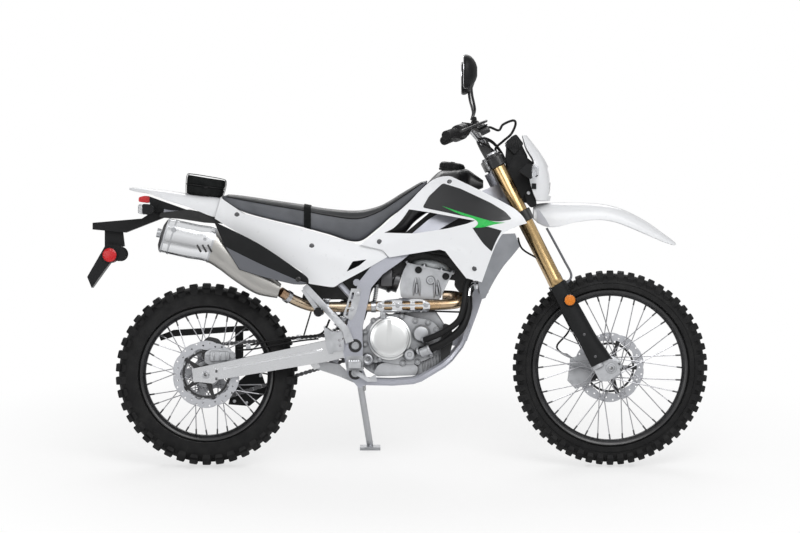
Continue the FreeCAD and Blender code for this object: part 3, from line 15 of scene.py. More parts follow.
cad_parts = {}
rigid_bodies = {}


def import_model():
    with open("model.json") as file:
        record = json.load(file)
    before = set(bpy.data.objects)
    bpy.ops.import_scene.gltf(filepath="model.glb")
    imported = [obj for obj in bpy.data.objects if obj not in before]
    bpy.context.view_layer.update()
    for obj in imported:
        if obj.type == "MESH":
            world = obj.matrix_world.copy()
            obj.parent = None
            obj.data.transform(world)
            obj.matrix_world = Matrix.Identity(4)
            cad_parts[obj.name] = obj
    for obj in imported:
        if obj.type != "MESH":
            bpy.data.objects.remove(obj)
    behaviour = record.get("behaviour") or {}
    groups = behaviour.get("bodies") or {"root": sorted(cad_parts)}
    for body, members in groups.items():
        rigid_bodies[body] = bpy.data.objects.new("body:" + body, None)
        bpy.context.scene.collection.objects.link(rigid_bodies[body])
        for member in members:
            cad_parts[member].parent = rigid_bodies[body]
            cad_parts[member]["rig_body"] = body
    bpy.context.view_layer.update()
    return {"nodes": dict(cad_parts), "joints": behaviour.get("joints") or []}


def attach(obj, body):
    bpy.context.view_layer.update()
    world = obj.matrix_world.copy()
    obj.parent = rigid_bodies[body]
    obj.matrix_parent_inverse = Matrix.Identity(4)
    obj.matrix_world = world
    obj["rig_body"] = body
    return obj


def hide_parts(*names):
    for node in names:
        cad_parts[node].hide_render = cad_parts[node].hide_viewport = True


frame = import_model()

# Sizes of the upright bike in millimetres and degrees
WHEELBASE = 1440
REAR_AXLE_HEIGHT = 325
FRONT_AXLE_HEIGHT = 348
RAKE = 26.7
AXLE_LEAD = 36
CLAMP_OFFSET = 26
FORK_SPACING = 98
LUG_HEIGHT = 11
REAR_LUG_PITCHES = 42
FRONT_LUG_PITCHES = 56
CHAIN_SIDE = 72
REAR_SPROCKET_RADIUS = 101
FRONT_SPROCKET_RADIUS = 36
COUNTERSHAFT = (590, 440)
CHAIN_PITCH = 15.875
TUBE_TOP = 868
CLAMPS = ((600, 643), (820, 858))
COVER_FACE = -84
LAMP_HEIGHT = 1011
SILENCER_SIDE = -150

# Radius in millimetres at which a turned profile counts as being on its axis
AXIS = 0.001

# Distances in metres within which corners are joined, in new pieces and in copies of nodes
WELD = 1e-6
NODE_WELD = 2e-6

# Faces that meet at less than this angle are one flat face
FLAT_ANGLE = math.radians(1.0)

# Degrees beyond which an edge of a finished node is rounded
CREASE = 28.0

# Millimetres within which points of a side view are one point
POINT_GAP = 0.0001


# The bike's place in the row frame

def joint(name):
    return next(j for j in frame["joints"] if j["name"] == name)


def bike_matrix():
    """From upright millimetres to the leaning bike in metres, by its two axles."""
    rear = Vector(joint("rear_wheel_spin")["pos_m"])
    front = Vector(joint("front_wheel_spin")["pos_m"])
    sideways = Vector(joint("rear_wheel_spin")["axis"]).normalized()
    rise = math.atan2(FRONT_AXLE_HEIGHT - REAR_AXLE_HEIGHT, WHEELBASE)
    between = (front - rear).normalized()
    over = between.cross(sideways)
    forward = between * math.cos(rise) - over * math.sin(rise)
    up = forward.cross(sideways)
    turn = Matrix((forward, sideways, up)).transposed().to_4x4()
    at_axle = Matrix.Translation((0, 0, -REAR_AXLE_HEIGHT))
    return Matrix.Translation(rear) @ turn @ Matrix.Scale(0.001, 4) @ at_axle


BIKE = bike_matrix()
RAKED = Matrix.Rotation(-math.radians(RAKE), 4, "Y")
FORK_FOOT = Vector((WHEELBASE, 0, FRONT_AXLE_HEIGHT)) - RAKED @ Vector((AXLE_LEAD, 0, 0))
FORK = BIKE @ Matrix.Translation(FORK_FOOT) @ RAKED
TO_FORK = FORK.inverted() @ BIKE
FRONT_AXLE = BIKE @ Matrix.Translation((WHEELBASE, 0, FRONT_AXLE_HEIGHT))
REAR_AXLE = BIKE @ Matrix.Translation((0, 0, REAR_AXLE_HEIGHT))


# Materials

class Finish:
    """One material's node tree, with short ways to add what varies over the surface."""

    def __init__(self, name, colour, roughness, metallic=0.0, **sockets):
        self.material = bpy.data.materials.new(name)
        self.material.use_nodes = True
        self.tree = self.material.node_tree
        self.shader = self.tree.nodes["Principled BSDF"]
        self.shader.inputs["Base Color"].default_value = (*colour, 1)
        self.shader.inputs["Roughness"].default_value = roughness
        self.shader.inputs["Metallic"].default_value = metallic
        for socket, value in sockets.items():
            self.shader.inputs[socket.replace("_", " ")].default_value = value
        self.colour = colour
        self.roughness = roughness

    def node(self, kind, **inputs):
        made = self.tree.nodes.new(kind)
        for socket, value in inputs.items():
            self.set(made.inputs[socket.replace("_", " ")], value)
        return made

    def set(self, socket, value):
        if isinstance(value, bpy.types.NodeSocket):
            self.tree.links.new(value, socket)
        else:
            socket.default_value = value

    def place(self, stretch=(1, 1, 1), turn=(0, 0, 0)):
        """Object coordinates, stretched for a pattern that runs one way."""
        spot = self.node("ShaderNodeTexCoord").outputs["Object"]
        mapping = self.node("ShaderNodeMapping", Vector=spot)
        mapping.inputs["Scale"].default_value = stretch
        mapping.inputs["Rotation"].default_value = turn
        return mapping.outputs["Vector"]

    def noise(self, scale, detail=3.0, stretch=(1, 1, 1)):
        made = self.node("ShaderNodeTexNoise", Vector=self.place(stretch), Scale=scale, Detail=detail)
        return made.outputs["Fac"]

    def spread(self, fac, low, high, to_low, to_high):
        made = self.node("ShaderNodeMapRange", Value=fac)
        for socket, value in zip(("From Min", "From Max", "To Min", "To Max"),
                                 (low, high, to_low, to_high)):
            made.inputs[socket].default_value = value
        return made.outputs["Result"]

    def tinted(self, fac, other, low=0.35, high=0.65):
        """Colour that goes from the finish's own to another one where fac is high."""
        mixed = self.node("ShaderNodeMix")
        mixed.data_type = "RGBA"
        self.set(mixed.inputs["Factor"], self.spread(fac, low, high, 0.0, 1.0))
        before = self.shader.inputs["Base Color"]
        if before.is_linked:
            self.set(mixed.inputs[6], before.links[0].from_socket)
        else:
            mixed.inputs[6].default_value = (*self.colour, 1)
        mixed.inputs[7].default_value = (*other, 1)
        self.set(before, mixed.outputs[2])
        return self

    def rough(self, fac, by):
        """Roughness that wanders by some way each side of the finish's own."""
        low = max(self.roughness - by, 0.02)
        self.set(self.shader.inputs["Roughness"], self.spread(fac, 0.3, 0.7, low, self.roughness + by))
        return self

    def bump(self, fac, depth, strength=0.6):
        """Relief of the given depth in metres, on top of what there is."""
        made = self.node("ShaderNodeBump", Height=fac)
        made.inputs["Strength"].default_value = strength
        made.inputs["Distance"].default_value = depth
        normal = self.shader.inputs["Normal"]
        if normal.is_linked:
            self.set(made.inputs["Normal"], normal.links[0].from_socket)
        self.set(normal, made.outputs["Normal"])
        return self


def white_plastic():
    made = Finish("white_plastic", (0.80, 0.81, 0.83), 0.3, Coat_Weight=0.2, Coat_Roughness=0.12)
    made.bump(made.noise(900, 2), 0.00003, 0.15)
    made.tinted(made.noise(3, 2), (0.785, 0.795, 0.81), 0.4, 0.8)
    return made.rough(made.noise(60, 4), 0.03).material


def black_plastic():
    made = Finish("black_plastic", (0.004, 0.0045, 0.005), 0.46, Specular_IOR_Level=0.22)
    made.bump(made.noise(1600, 2), 0.00025, 0.5)
    made.tinted(made.noise(9, 5), (0.008, 0.0085, 0.0095))
    return made.rough(made.noise(40, 4), 0.07).material


def grey_plastic():
    made = Finish("grey_plastic", (0.105, 0.11, 0.125), 0.42)
    made.bump(made.noise(1500, 2), 0.0002, 0.4)
    return made.rough(made.noise(50, 4), 0.06).material


def frame_paint():
    made = Finish("frame_paint", (0.40, 0.41, 0.46), 0.38, 0.55, Coat_Weight=0.35, Coat_Roughness=0.15)
    made.tinted(made.noise(2500, 1), (0.55, 0.56, 0.62), 0.5, 0.8)
    made.bump(made.noise(300, 3), 0.0001, 0.3)
    return made.rough(made.noise(30, 4), 0.06).material


def black_paint():
    made = Finish("black_paint", (0.005, 0.005, 0.0055), 0.34, 0.0, Coat_Weight=0.25, Coat_Roughness=0.2)
    made.bump(made.noise(700, 2), 0.00006, 0.3)
    made.tinted(made.noise(14, 5), (0.016, 0.016, 0.018))
    return made.rough(made.noise(35, 4), 0.08).material


def brushed(name, colour, roughness, stretch):
    """Metal with the fine scratches of a brush along one way."""
    made = Finish(name, colour, roughness, 1.0)
    streaks = made.noise(220, 4, stretch)
    made.bump(streaks, 0.00002, 0.2)
    made.tinted(made.noise(12, 4), tuple(c * 0.93 for c in colour), 0.4, 0.8)
    return made.rough(streaks, 0.035).material


def satin(name, colour, roughness):
    """Smooth turned metal without a grain."""
    made = Finish(name, colour, roughness, 1.0)
    made.tinted(made.noise(6, 3), tuple(c * 0.93 for c in colour), 0.4, 0.8)
    return made.rough(made.noise(9, 3), 0.03).material


def cast_alloy(name, colour):
    """Cast metal with painted shade: its colour is darker in its corners and recesses."""
    made = Finish(name, colour, 0.42, 0.9)
    # Painted shade: the base colour darkens where ambient occlusion finds corners and recesses.
    open_share = made.node("ShaderNodeAmbientOcclusion", Distance=0.035).outputs["AO"]
    made.tinted(made.spread(open_share, 0.30, 0.95, 1.0, 0.0), tuple(c * 0.08 for c in colour), 0.0, 1.0)
    made.bump(made.noise(1100, 3), 0.0005, 0.6)
    made.tinted(made.noise(25, 5), tuple(c * 0.72 for c in colour), 0.45, 0.8)
    return made.rough(made.noise(60, 4), 0.08).material


def gold_anodised():
    made = Finish("gold_anodised", (0.54, 0.38, 0.19), 0.24, 1.0)
    made.bump(made.noise(500, 3, (1, 1, 0.15)), 0.00001, 0.15)
    made.tinted(made.noise(8, 3), (0.50, 0.34, 0.16), 0.4, 0.8)
    return made.rough(made.noise(90, 3), 0.05).material


def header_steel():
    """Steel tube with the straw and bronze bands that heat leaves."""
    made = Finish("header_steel", (0.52, 0.36, 0.21), 0.28, 1.0)
    made.tinted(made.noise(9, 3), (0.60, 0.50, 0.38), 0.42, 0.62)
    made.tinted(made.noise(4, 2), (0.36, 0.22, 0.14), 0.55, 0.7)
    made.bump(made.noise(400, 3), 0.00005, 0.3)
    return made.rough(made.noise(40, 4), 0.07).material


def tyre_rubber():
    made = Finish("tyre_rubber", (0.006, 0.006, 0.0065), 0.62, Specular_IOR_Level=0.22)
    made.bump(made.noise(900, 3), 0.0004, 0.5)
    made.tinted(made.noise(30, 5), (0.013, 0.013, 0.013), 0.4, 0.75)
    return made.rough(made.noise(22, 4), 0.1).material


def rubber():
    made = Finish("rubber", (0.006, 0.006, 0.0065), 0.5, Specular_IOR_Level=0.25)
    made.bump(made.noise(1400, 2), 0.00015, 0.4)
    return made.rough(made.noise(50, 3), 0.07).material


def seat_cover(name, colour):
    """Vinyl with a pebbled grain."""
    made = Finish(name, colour, 0.5, Sheen_Weight=0.04)
    cells = made.node("ShaderNodeTexVoronoi", Vector=made.place(), Scale=520.0)
    made.bump(cells.outputs["Distance"], 0.0004, 0.45)
    made.bump(made.noise(60, 4), 0.0008, 0.2)
    made.tinted(made.noise(12, 4), tuple(min(1, c * 1.35) for c in colour))
    return made.rough(made.noise(30, 4), 0.06).material


def bag_cloth():
    """Coarse woven nylon: two crossing sets of threads."""
    made = Finish("bag_cloth", (0.008, 0.009, 0.009), 0.85, Specular_IOR_Level=0.1)
    threads = []
    for turn in ((0, 0, 0), (0, math.pi / 2, 0)):
        wave = made.node("ShaderNodeTexWave", Vector=made.place((1, 1, 1), turn), Scale=520.0,
                         Distortion=0.6)
        threads.append(wave.outputs["Fac"])
    crossed = made.node("ShaderNodeMath")
    crossed.operation = "MAXIMUM"
    for socket, thread in zip(crossed.inputs, threads):
        made.set(socket, thread)
    made.bump(crossed.outputs["Value"], 0.0005, 0.6)
    made.tinted(made.noise(35, 4), (0.015, 0.016, 0.016))
    return made.rough(made.noise(60, 3), 0.05).material


def lens(name, colour, roughness=0.05, transmission=0.85):
    made = Finish(name, colour, roughness, Transmission_Weight=transmission, IOR=1.45)
    ribs = made.node("ShaderNodeTexWave", Vector=made.place(), Scale=90.0)
    made.bump(ribs.outputs["Fac"], 0.0006, 0.3)
    return made.rough(made.noise(50, 2), 0.02).material


def gloss_paint(name, colour, roughness=0.3):
    made = Finish(name, colour, roughness, Coat_Weight=0.2)
    made.bump(made.noise(800, 2), 0.00005, 0.25)
    made.tinted(made.noise(20, 3), tuple(c * 0.85 for c in colour))
    return made.rough(made.noise(70, 3), 0.05).material


M = {
    "white_plastic": white_plastic(),
    "black_plastic": black_plastic(),
    "grey_plastic": grey_plastic(),
    "frame_paint": frame_paint(),
    # Painted shade: near-black paint for sheets that stand in shadowed gaps between parts.
    "shade_filler_black": gloss_paint("shade_filler_black", (0.003, 0.003, 0.0035), 0.6),
    "black_paint": black_paint(),
    "aluminium": brushed("aluminium", (0.74, 0.75, 0.77), 0.3, (0.12, 1, 1)),
    "turned_alloy": satin("turned_alloy", (0.80, 0.81, 0.81), 0.3),
    "swing_alloy": satin("swing_alloy", (0.80, 0.81, 0.83), 0.19),
    "disc_steel": brushed("disc_steel", (0.56, 0.57, 0.60), 0.34, (1, 0.3, 1)),
    "satin_steel": brushed("satin_steel", (0.46, 0.45, 0.43), 0.36, (0.3, 1, 1)),
    "cast_alloy": cast_alloy("cast_alloy", (0.50, 0.51, 0.53)),
    "cam_cover_grey": cast_alloy("cam_cover_grey", (0.44, 0.46, 0.47)),
    "gold_anodised": gold_anodised(),
    "chrome": brushed("chrome", (0.80, 0.81, 0.83), 0.09, (1, 1, 0.1)),
    "steel": brushed("steel", (0.50, 0.51, 0.53), 0.3, (1, 0.3, 1)),
    "spoke_steel": satin("spoke_steel", (0.40, 0.40, 0.42), 0.32),
    "dark_steel": brushed("dark_steel", (0.13, 0.13, 0.135), 0.38, (1, 1, 1)),
    "header_steel": header_steel(),
    "tyre_rubber": tyre_rubber(),
    "rubber": rubber(),
    "seat_cover": seat_cover("seat_cover", (0.014, 0.015, 0.017)),
    "seat_side": seat_cover("seat_side", (0.070, 0.074, 0.084)),
    "bag_cloth": bag_cloth(),
    "clear_lens": lens("clear_lens", (0.93, 0.94, 0.96)),
    "red_lens": lens("red_lens", (0.62, 0.015, 0.02), 0.15, 0.1),
    "amber_lens": lens("amber_lens", (0.75, 0.22, 0.02), 0.15, 0.1),
    "mirror_glass": brushed("mirror_glass", (0.85, 0.87, 0.9), 0.03, (1, 1, 1)),
    "green_stripe": gloss_paint("green_stripe", (0.02, 0.50, 0.08)),
    "black_stripe": gloss_paint("black_stripe", (0.006, 0.0065, 0.008), 0.4),
    "tank_black": gloss_paint("tank_black", (0.005, 0.005, 0.0055), 0.45),
    # Painted shade: the white shroud's front flange is drawn in this grey because it lies in shadow.
    "cover_grey": gloss_paint("cover_grey", (0.24, 0.25, 0.27), 0.45),
    # Painted shade: the white front fender's flanks under its crease are drawn in this pale grey.
    "flank_shade_grey": gloss_paint("flank_shade_grey", (0.50, 0.51, 0.55), 0.4),
    "screen": gloss_paint("screen", (0.03, 0.035, 0.03), 0.12),
}

SLOT_OF = {"swing_alloy": "aluminium", "disc_steel": "steel", "satin_steel": "steel",
           "cam_cover_grey": "cast_alloy", "turned_alloy": "aluminium", "spoke_steel": "steel",
           "dark_steel": "steel", "seat_side": "seat_cover", "amber_lens": "red_lens",
           "mirror_glass": "chrome", "green_stripe": "white_plastic", "black_stripe": "black_plastic",
           "screen": "black_plastic", "tank_black": "black_plastic", "shade_filler_black": "black_plastic",
           "cover_grey": "grey_plastic", "flank_shade_grey": "grey_plastic"}


# Making pieces

def kept(name, mesh, finish, body="chassis", place=BIKE, smooth=35, nodes=()):
    """Put a finished bmesh of upright millimetres in its place, with its finish and its body."""
    bmesh.ops.transform(mesh, matrix=place, verts=mesh.verts)
    bmesh.ops.remove_doubles(mesh, verts=mesh.verts, dist=WELD)
    bmesh.ops.recalc_face_normals(mesh, faces=mesh.faces)
    thing = linked(name, mesh_data(name, mesh))
    thing.data.materials.append(M[finish])
    softened(thing, smooth)
    return carried(thing, finish, body, nodes)


@contextlib.contextmanager
def piece(name, finish, body="chassis", place=BIKE, smooth=35, nodes=(), **modifiers):
    """A new mesh to draw in, kept under its name with its modifiers when the block ends."""
    mesh = bmesh.new()
    yield mesh
    with_modifiers(kept(name, mesh, finish, body, place, smooth, nodes=nodes), **modifiers)


def linked(name, data):
    """A new object of the scene for some data."""
    thing = bpy.data.objects.new(name, data)
    bpy.context.scene.collection.objects.link(thing)
    return thing


def mesh_data(name, mesh):
    """A bmesh turned into mesh data, and freed."""
    data = bpy.data.meshes.new(name)
    mesh.to_mesh(data)
    mesh.free()
    return data


def carried(thing, finish, body, nodes=()):
    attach(thing, body)
    SLOT_OF.get(finish, finish)
    if nodes:
        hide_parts(*nodes)
    return thing


def softened(thing, angle):
    """Smooth shading, with edges sharper than the angle kept crisp."""
    thing.data.set_sharp_from_angle(angle=math.radians(angle))
    for polygon in thing.data.polygons:
        polygon.use_smooth = True


def with_modifiers(thing, bevel=0.0, segments=2, subdivide=0, thickness=0.0, angle=30.0, offset=-1.0):
    """Wall, round edges and smooth form, in this order, as live modifiers."""
    if thickness:
        wall = thing.modifiers.new("wall", "SOLIDIFY")
        wall.thickness = thickness / 1000
        wall.offset = offset
        wall.use_even_offset = True
    if bevel:
        edge = thing.modifiers.new("edge", "BEVEL")
        edge.width = bevel / 1000
        edge.segments = segments
        edge.limit_method = "ANGLE"
        edge.angle_limit = math.radians(angle)
        edge.harden_normals = True
    if subdivide:
        smooth = thing.modifiers.new("smooth", "SUBSURF")
        smooth.levels = subdivide
        smooth.render_levels = subdivide
    return thing


def baked(thing):
    """The mesh that an object has once its modifiers are worked out."""
    graph = bpy.context.evaluated_depsgraph_get()
    return bpy.data.meshes.new_from_object(thing.evaluated_get(graph))


def node_copy(node):
    """A node of the frame and its shape as a bmesh whose corners are joined."""
    source = frame["nodes"][node]
    mesh = bmesh.new()
    mesh.from_mesh(source.data)
    bmesh.ops.remove_doubles(mesh, verts=mesh.verts, dist=NODE_WELD)
    return source, mesh


def without_flat_edges(mesh):
    bmesh.ops.dissolve_limit(mesh, angle_limit=FLAT_ANGLE, verts=mesh.verts, edges=mesh.edges)


def refined(node, finish, bevel=1.2, segments=2, angle=CREASE):
    """A copy of a rigid node with round edges, which stands for it."""
    source, mesh = node_copy(node)
    without_flat_edges(mesh)
    thing = kept(node + "_finished", mesh, finish, source["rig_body"], Matrix(), angle, nodes=[node])
    return with_modifiers(thing, bevel, segments, angle=angle)


# Shapes, each added to a bmesh in millimetres

def bridge(mesh, rings, closed=True, caps=True):
    """Faces between rows of corners, each row closed round or open."""
    rows = [[mesh.verts.new(corner) for corner in ring] for ring in rings]
    for low, high in zip(rows, rows[1:]):
        for index in range(0 if closed else 1, len(low)):
            mesh.faces.new((low[index - 1], low[index], high[index], high[index - 1]))
    if caps and closed:
        mesh.faces.new(rows[0])
        mesh.faces.new(rows[-1])
    return rows


def turns(count, lead=0):
    """Angles that share a full turn evenly; the lead is a share of one step."""
    return [2 * math.pi * (index + lead) / count for index in range(count)]


def polar(radius, angle):
    return radius * math.cos(angle), radius * math.sin(angle)


def lathe(mesh, profile, steps, place):
    """A profile of radius and height turned about Z: open if it starts on the axis, else a closed ring."""
    closed = profile[0][0] > AXIS
    rows = []
    for angle in turns(steps):
        rows.append([place @ Vector((*polar(r, angle), z)) for r, z in profile])
    columns = [[mesh.verts.new(corner) for corner in row] for row in rows]
    for step in range(steps):
        here = columns[step - 1]
        after = columns[step]
        count = len(here)
        for index in range(0 if closed else 1, count):
            mesh.faces.new((here[index - 1], here[index], after[index], after[index - 1]))


ABOUT_Y = Matrix.Rotation(-math.pi / 2, 4, "X")
HANDS = ((1, "left"), (-1, "right"))


def across(side, near, far):
    """Low and high Y of what reaches from near to far on one side."""
    return sorted((side * near, side * far))


def facing(x, y, z, side=-1):
    """A matrix that points Z out to one side from a spot."""
    return Matrix.Translation((x, y, z)) @ Matrix.Rotation(-side * math.pi / 2, 4, "X")


def along(start, end):
    """A matrix that lays Z along the way from start to end."""
    way = Vector(end) - Vector(start)
    return Matrix.Translation(start) @ way.to_track_quat("Z", "Y").to_matrix().to_4x4()


def round_bar(mesh, start, end, radius, steps=24, edge=0.8):
    """A round bar with broken edges at its ends."""
    length = (Vector(end) - Vector(start)).length
    edge = min(edge, radius * 0.4, length * 0.4)
    lathe(mesh, [(AXIS, 0), (radius - edge, 0), (radius, edge), (radius, length - edge),
                 (radius - edge, length), (AXIS, length)], steps, along(start, end))


def smooth_line(points, spans=6):
    """Points on a curve that passes through all the given ones."""
    points = [Vector(point) for point in points]
    line = []
    for index in range(len(points) - 1):
        one = points[max(index - 1, 0)]
        two, three = points[index], points[index + 1]
        four = points[min(index + 2, len(points) - 1)]
        for step in range(spans):
            t = step / spans
            line.append(0.5 * ((2 * two) + (three - one) * t
                               + (2 * one - 5 * two + 4 * three - four) * t ** 2
                               + (3 * two - one - 3 * three + four) * t ** 3))
    return line + [points[-1]]


def pipe(mesh, points, radius, steps=16, spans=6, flatten=1.0):
    """A tube along a smooth line; the radius is one number or one for each given point."""
    line = smooth_line(points, spans)
    radii = radius if isinstance(radius, (list, tuple)) else [radius] * len(points)
    rings = []
    side = None
    for index, spot in enumerate(line):
        way = (line[min(index + 1, len(line) - 1)] - line[max(index - 1, 0)]).normalized()
        if side is None:
            side = way.cross(Vector((0, 0, 1)) if abs(way.z) < 0.9 else Vector((0, 1, 0)))
        side = (side - way * side.dot(way)).normalized()
        other = way.cross(side)
        share = index / spans
        low = min(int(share), len(radii) - 1)
        high = min(low + 1, len(radii) - 1)
        size = radii[low] + (radii[high] - radii[low]) * (share - low)
        rings.append([spot + side * (size * math.cos(a)) + other * (size * flatten * math.sin(a))
                      for a in turns(steps)])
    bridge(mesh, rings)


def slab(mesh, outline, low, high, holes=()):
    """A flat piece in the side view, from Y low to Y high, with holes through it."""
    loops = [list(outline)] + [list(hole) for hole in holes]
    corners = [Vector(point) for loop in loops for point in loop]
    edges = []
    start = 0
    for loop in loops:
        count = len(loop)
        edges += [(start + index, start + (index + 1) % count) for index in range(count)]
        start += count
    spots, _, faces, _, _, _ = geometry.delaunay_2d_cdt(corners, edges, [], 0, POINT_GAP)
    inside = [face for face in faces if is_within(middle_of([spots[i] for i in face]), loops[0])
              and not any(is_within(middle_of([spots[i] for i in face]), hole) for hole in loops[1:])]
    lower = [mesh.verts.new((spot.x, low, spot.y)) for spot in spots]
    upper = [mesh.verts.new((spot.x, high, spot.y)) for spot in spots]
    count_of = {}
    for face in inside:
        mesh.faces.new([lower[i] for i in face])
        mesh.faces.new([upper[i] for i in reversed(face)])
        for one, two in zip(face, face[1:] + face[:1]):
            key = (min(one, two), max(one, two))
            count_of[key] = count_of.get(key, 0) + 1
    for (one, two), number in count_of.items():
        if number == 1:
            mesh.faces.new((lower[one], lower[two], upper[two], upper[one]))


def middle_of(spots):
    return sum((Vector(spot) for spot in spots), Vector((0, 0))) / len(spots)


def is_within(spot, loop):
    """Whether a point of the side view lies inside a closed outline."""
    inside = False
    for one, two in zip(loop, loop[1:] + loop[:1]):
        if (one[1] > spot[1]) != (two[1] > spot[1]):
            if spot[0] < (two[0] - one[0]) * (spot[1] - one[1]) / (two[1] - one[1]) + one[0]:
                inside = not inside
    return inside


def circle(x, z, radius, steps=24):
    return [(x + radius * math.cos(angle), z + radius * math.sin(angle)) for angle in turns(steps)]


def rounded(points, radius, steps=3):
    """An outline with its corners made round."""
    line = []
    for index, corner in enumerate(points):
        corner = Vector(corner)
        back = Vector(points[index - 1]) - corner
        ahead = Vector(points[(index + 1) % len(points)]) - corner
        cut = min(radius, back.length * 0.45, ahead.length * 0.45)
        start = corner + back.normalized() * cut
        end = corner + ahead.normalized() * cut
        for step in range(steps + 1):
            t = step / steps
            line.append(tuple(start * (1 - t) ** 2 + corner * (2 * t * (1 - t)) + end * t ** 2))
    return line


# Node trees that repeat a shape

class Tree:
    """A geometry node tree with named inputs, ending in real meshes with one material."""

    def __init__(self, name, **sockets):
        self.tree = bpy.data.node_groups.new(name, "GeometryNodeTree")
        self.tree.interface.new_socket("Geometry", in_out="INPUT", socket_type="NodeSocketGeometry")
        for label, kind in sockets.items():
            self.tree.interface.new_socket(label, in_out="INPUT", socket_type=kind)
        self.tree.interface.new_socket("Geometry", in_out="OUTPUT", socket_type="NodeSocketGeometry")
        self.given = self.tree.nodes.new("NodeGroupInput").outputs
        self.result = self.tree.nodes.new("NodeGroupOutput").inputs["Geometry"]

    def node(self, kind, operation=None, **inputs):
        made = self.tree.nodes.new(kind)
        if operation:
            made.operation = operation
        for label, value in inputs.items():
            self.link(made.inputs[label.replace("_", " ")], value)
        return made

    def link(self, socket, value):
        if isinstance(value, bpy.types.NodeSocket):
            self.tree.links.new(value, socket)
        else:
            socket.default_value = value

    def math(self, operation, one, two):
        made = self.tree.nodes.new("ShaderNodeMath")
        made.operation = operation
        self.link(made.inputs[0], one)
        self.link(made.inputs[1], two)
        return made.outputs[0]

    def end(self, instances):
        real = self.node("GeometryNodeRealizeInstances", Geometry=instances)
        painted = self.node("GeometryNodeSetMaterial", Geometry=real.outputs["Geometry"],
                            Material=self.given["Material"])
        self.link(self.result, painted.outputs["Geometry"])
        return self.tree

    def identifier(self, label):
        return next(item.identifier for item in self.tree.interface.items_tree
                    if item.name == label and item.in_out == "INPUT")


def ring_tree():
    """Copies of a shape about the Y axis, the first turned by the lead."""
    tree = Tree("copies_about_an_axle", Count="NodeSocketInt", Lead="NodeSocketFloat",
                Material="NodeSocketMaterial")
    points = tree.node("GeometryNodePoints", Count=tree.given["Count"])
    index = tree.node("GeometryNodeInputIndex").outputs["Index"]
    turn = tree.math("DIVIDE", tree.math("MULTIPLY", index, 2 * math.pi), tree.given["Count"])
    turned = tree.node("ShaderNodeCombineXYZ", Y=tree.math("ADD", turn, tree.given["Lead"]))
    copies = tree.node("GeometryNodeInstanceOnPoints", Points=points.outputs["Geometry"],
                       Instance=tree.given["Geometry"], Rotation=turned.outputs["Vector"])
    tree.end(copies.outputs["Instances"])
    return tree


def line_tree():
    """Copies of a shape spaced along a curve, each turned to follow it."""
    tree = Tree("copies_along_a_path", Path="NodeSocketObject", Count="NodeSocketInt",
                Material="NodeSocketMaterial")
    path = tree.node("GeometryNodeObjectInfo", Object=tree.given["Path"])
    points = tree.node("GeometryNodeCurveToPoints", Curve=path.outputs["Geometry"],
                       Count=tree.given["Count"])
    faced = tree.node("FunctionNodeAlignRotationToVector", Vector=points.outputs["Tangent"])
    faced.axis = "X"
    faced.pivot_axis = "Y"
    copies = tree.node("GeometryNodeInstanceOnPoints", Points=points.outputs["Points"],
                       Instance=tree.given["Geometry"], Rotation=faced.outputs["Rotation"])
    tree.end(copies.outputs["Instances"])
    return tree


RING = ring_tree()
LINE = line_tree()


def repeated(name, mesh, tree, finish, body, place, nodes=(), smooth=35, **values):
    """Bake a tree's copies of a shape into one plain mesh in its place."""
    bmesh.ops.recalc_face_normals(mesh, faces=mesh.faces)
    data = mesh_data(name + "_one", mesh)
    thing = linked(name, data)
    modifier = thing.modifiers.new("copies", "NODES")
    modifier.node_group = tree.tree
    for label, value in values.items():
        modifier[tree.identifier(label)] = value
    modifier[tree.identifier("Material")] = M[finish]
    result = baked(thing)
    thing.modifiers.clear()
    thing.data = result
    bpy.data.meshes.remove(data)
    result.transform(place)
    softened(thing, smooth)
    return carried(thing, finish, body, nodes)


# Camera, light and floor

PHOTO_MIDDLE = (690, 0, 709)
PHOTO_WIDTH = 2858
CAMERA_DISTANCE = 20000

# Name, spot, aim, size in metres and power in watts
LAMPS = (("key", (1.2, -3.4, 3.6), (0, 0, 0.5), (3.0, 2.2), 94),
         ("fill", (-2.6, -3.2, 1.6), (0, 0, 0.6), (2.0, 2.0), 20),
         ("rim", (0.0, 3.2, 2.8), (0, 0, 0.6), (3.2, 1.6), 56))
AMBIENT_STRENGTH = 0.60
FLOOR_RADIUS = 60

# The floor's own glow goes from the near share to the full one between these distances, in metres
GLOW_FROM, GLOW_TO, NEAR_GLOW = 0.95, 1.8, 0.66

# Height and shade of the bands of the room that gloss sees, from below to above
ROOM_BANDS = ((0.0, 0.50), (0.40, 0.36), (0.49, 0.10), (0.55, 0.55), (0.66, 1.0), (0.80, 0.40), (1.0, 0.9))


def make_camera():
    data = bpy.data.cameras.new("camera")
    camera = linked("camera", data)
    data.lens = data.sensor_width * CAMERA_DISTANCE / PHOTO_WIDTH
    spot = BIKE @ (Vector(PHOTO_MIDDLE) - Vector((0, CAMERA_DISTANCE, 0)))
    look = Matrix.Rotation(math.pi / 2, 3, "X")
    camera.matrix_world = Matrix.Translation(spot) @ (BIKE.to_3x3().normalized() @ look).to_4x4()
    data.clip_end = 100
    bpy.context.scene.camera = camera


def area_lamp(name, spot, aim, size, power):
    data = bpy.data.lights.new(name, "AREA")
    data.shape = "RECTANGLE"
    data.size, data.size_y = size
    data.energy = power
    lamp = linked(name, data)
    way = Vector(aim) - Vector(spot)
    lamp.matrix_world = Matrix.Translation(spot) @ way.to_track_quat("-Z", "Y").to_matrix().to_4x4()


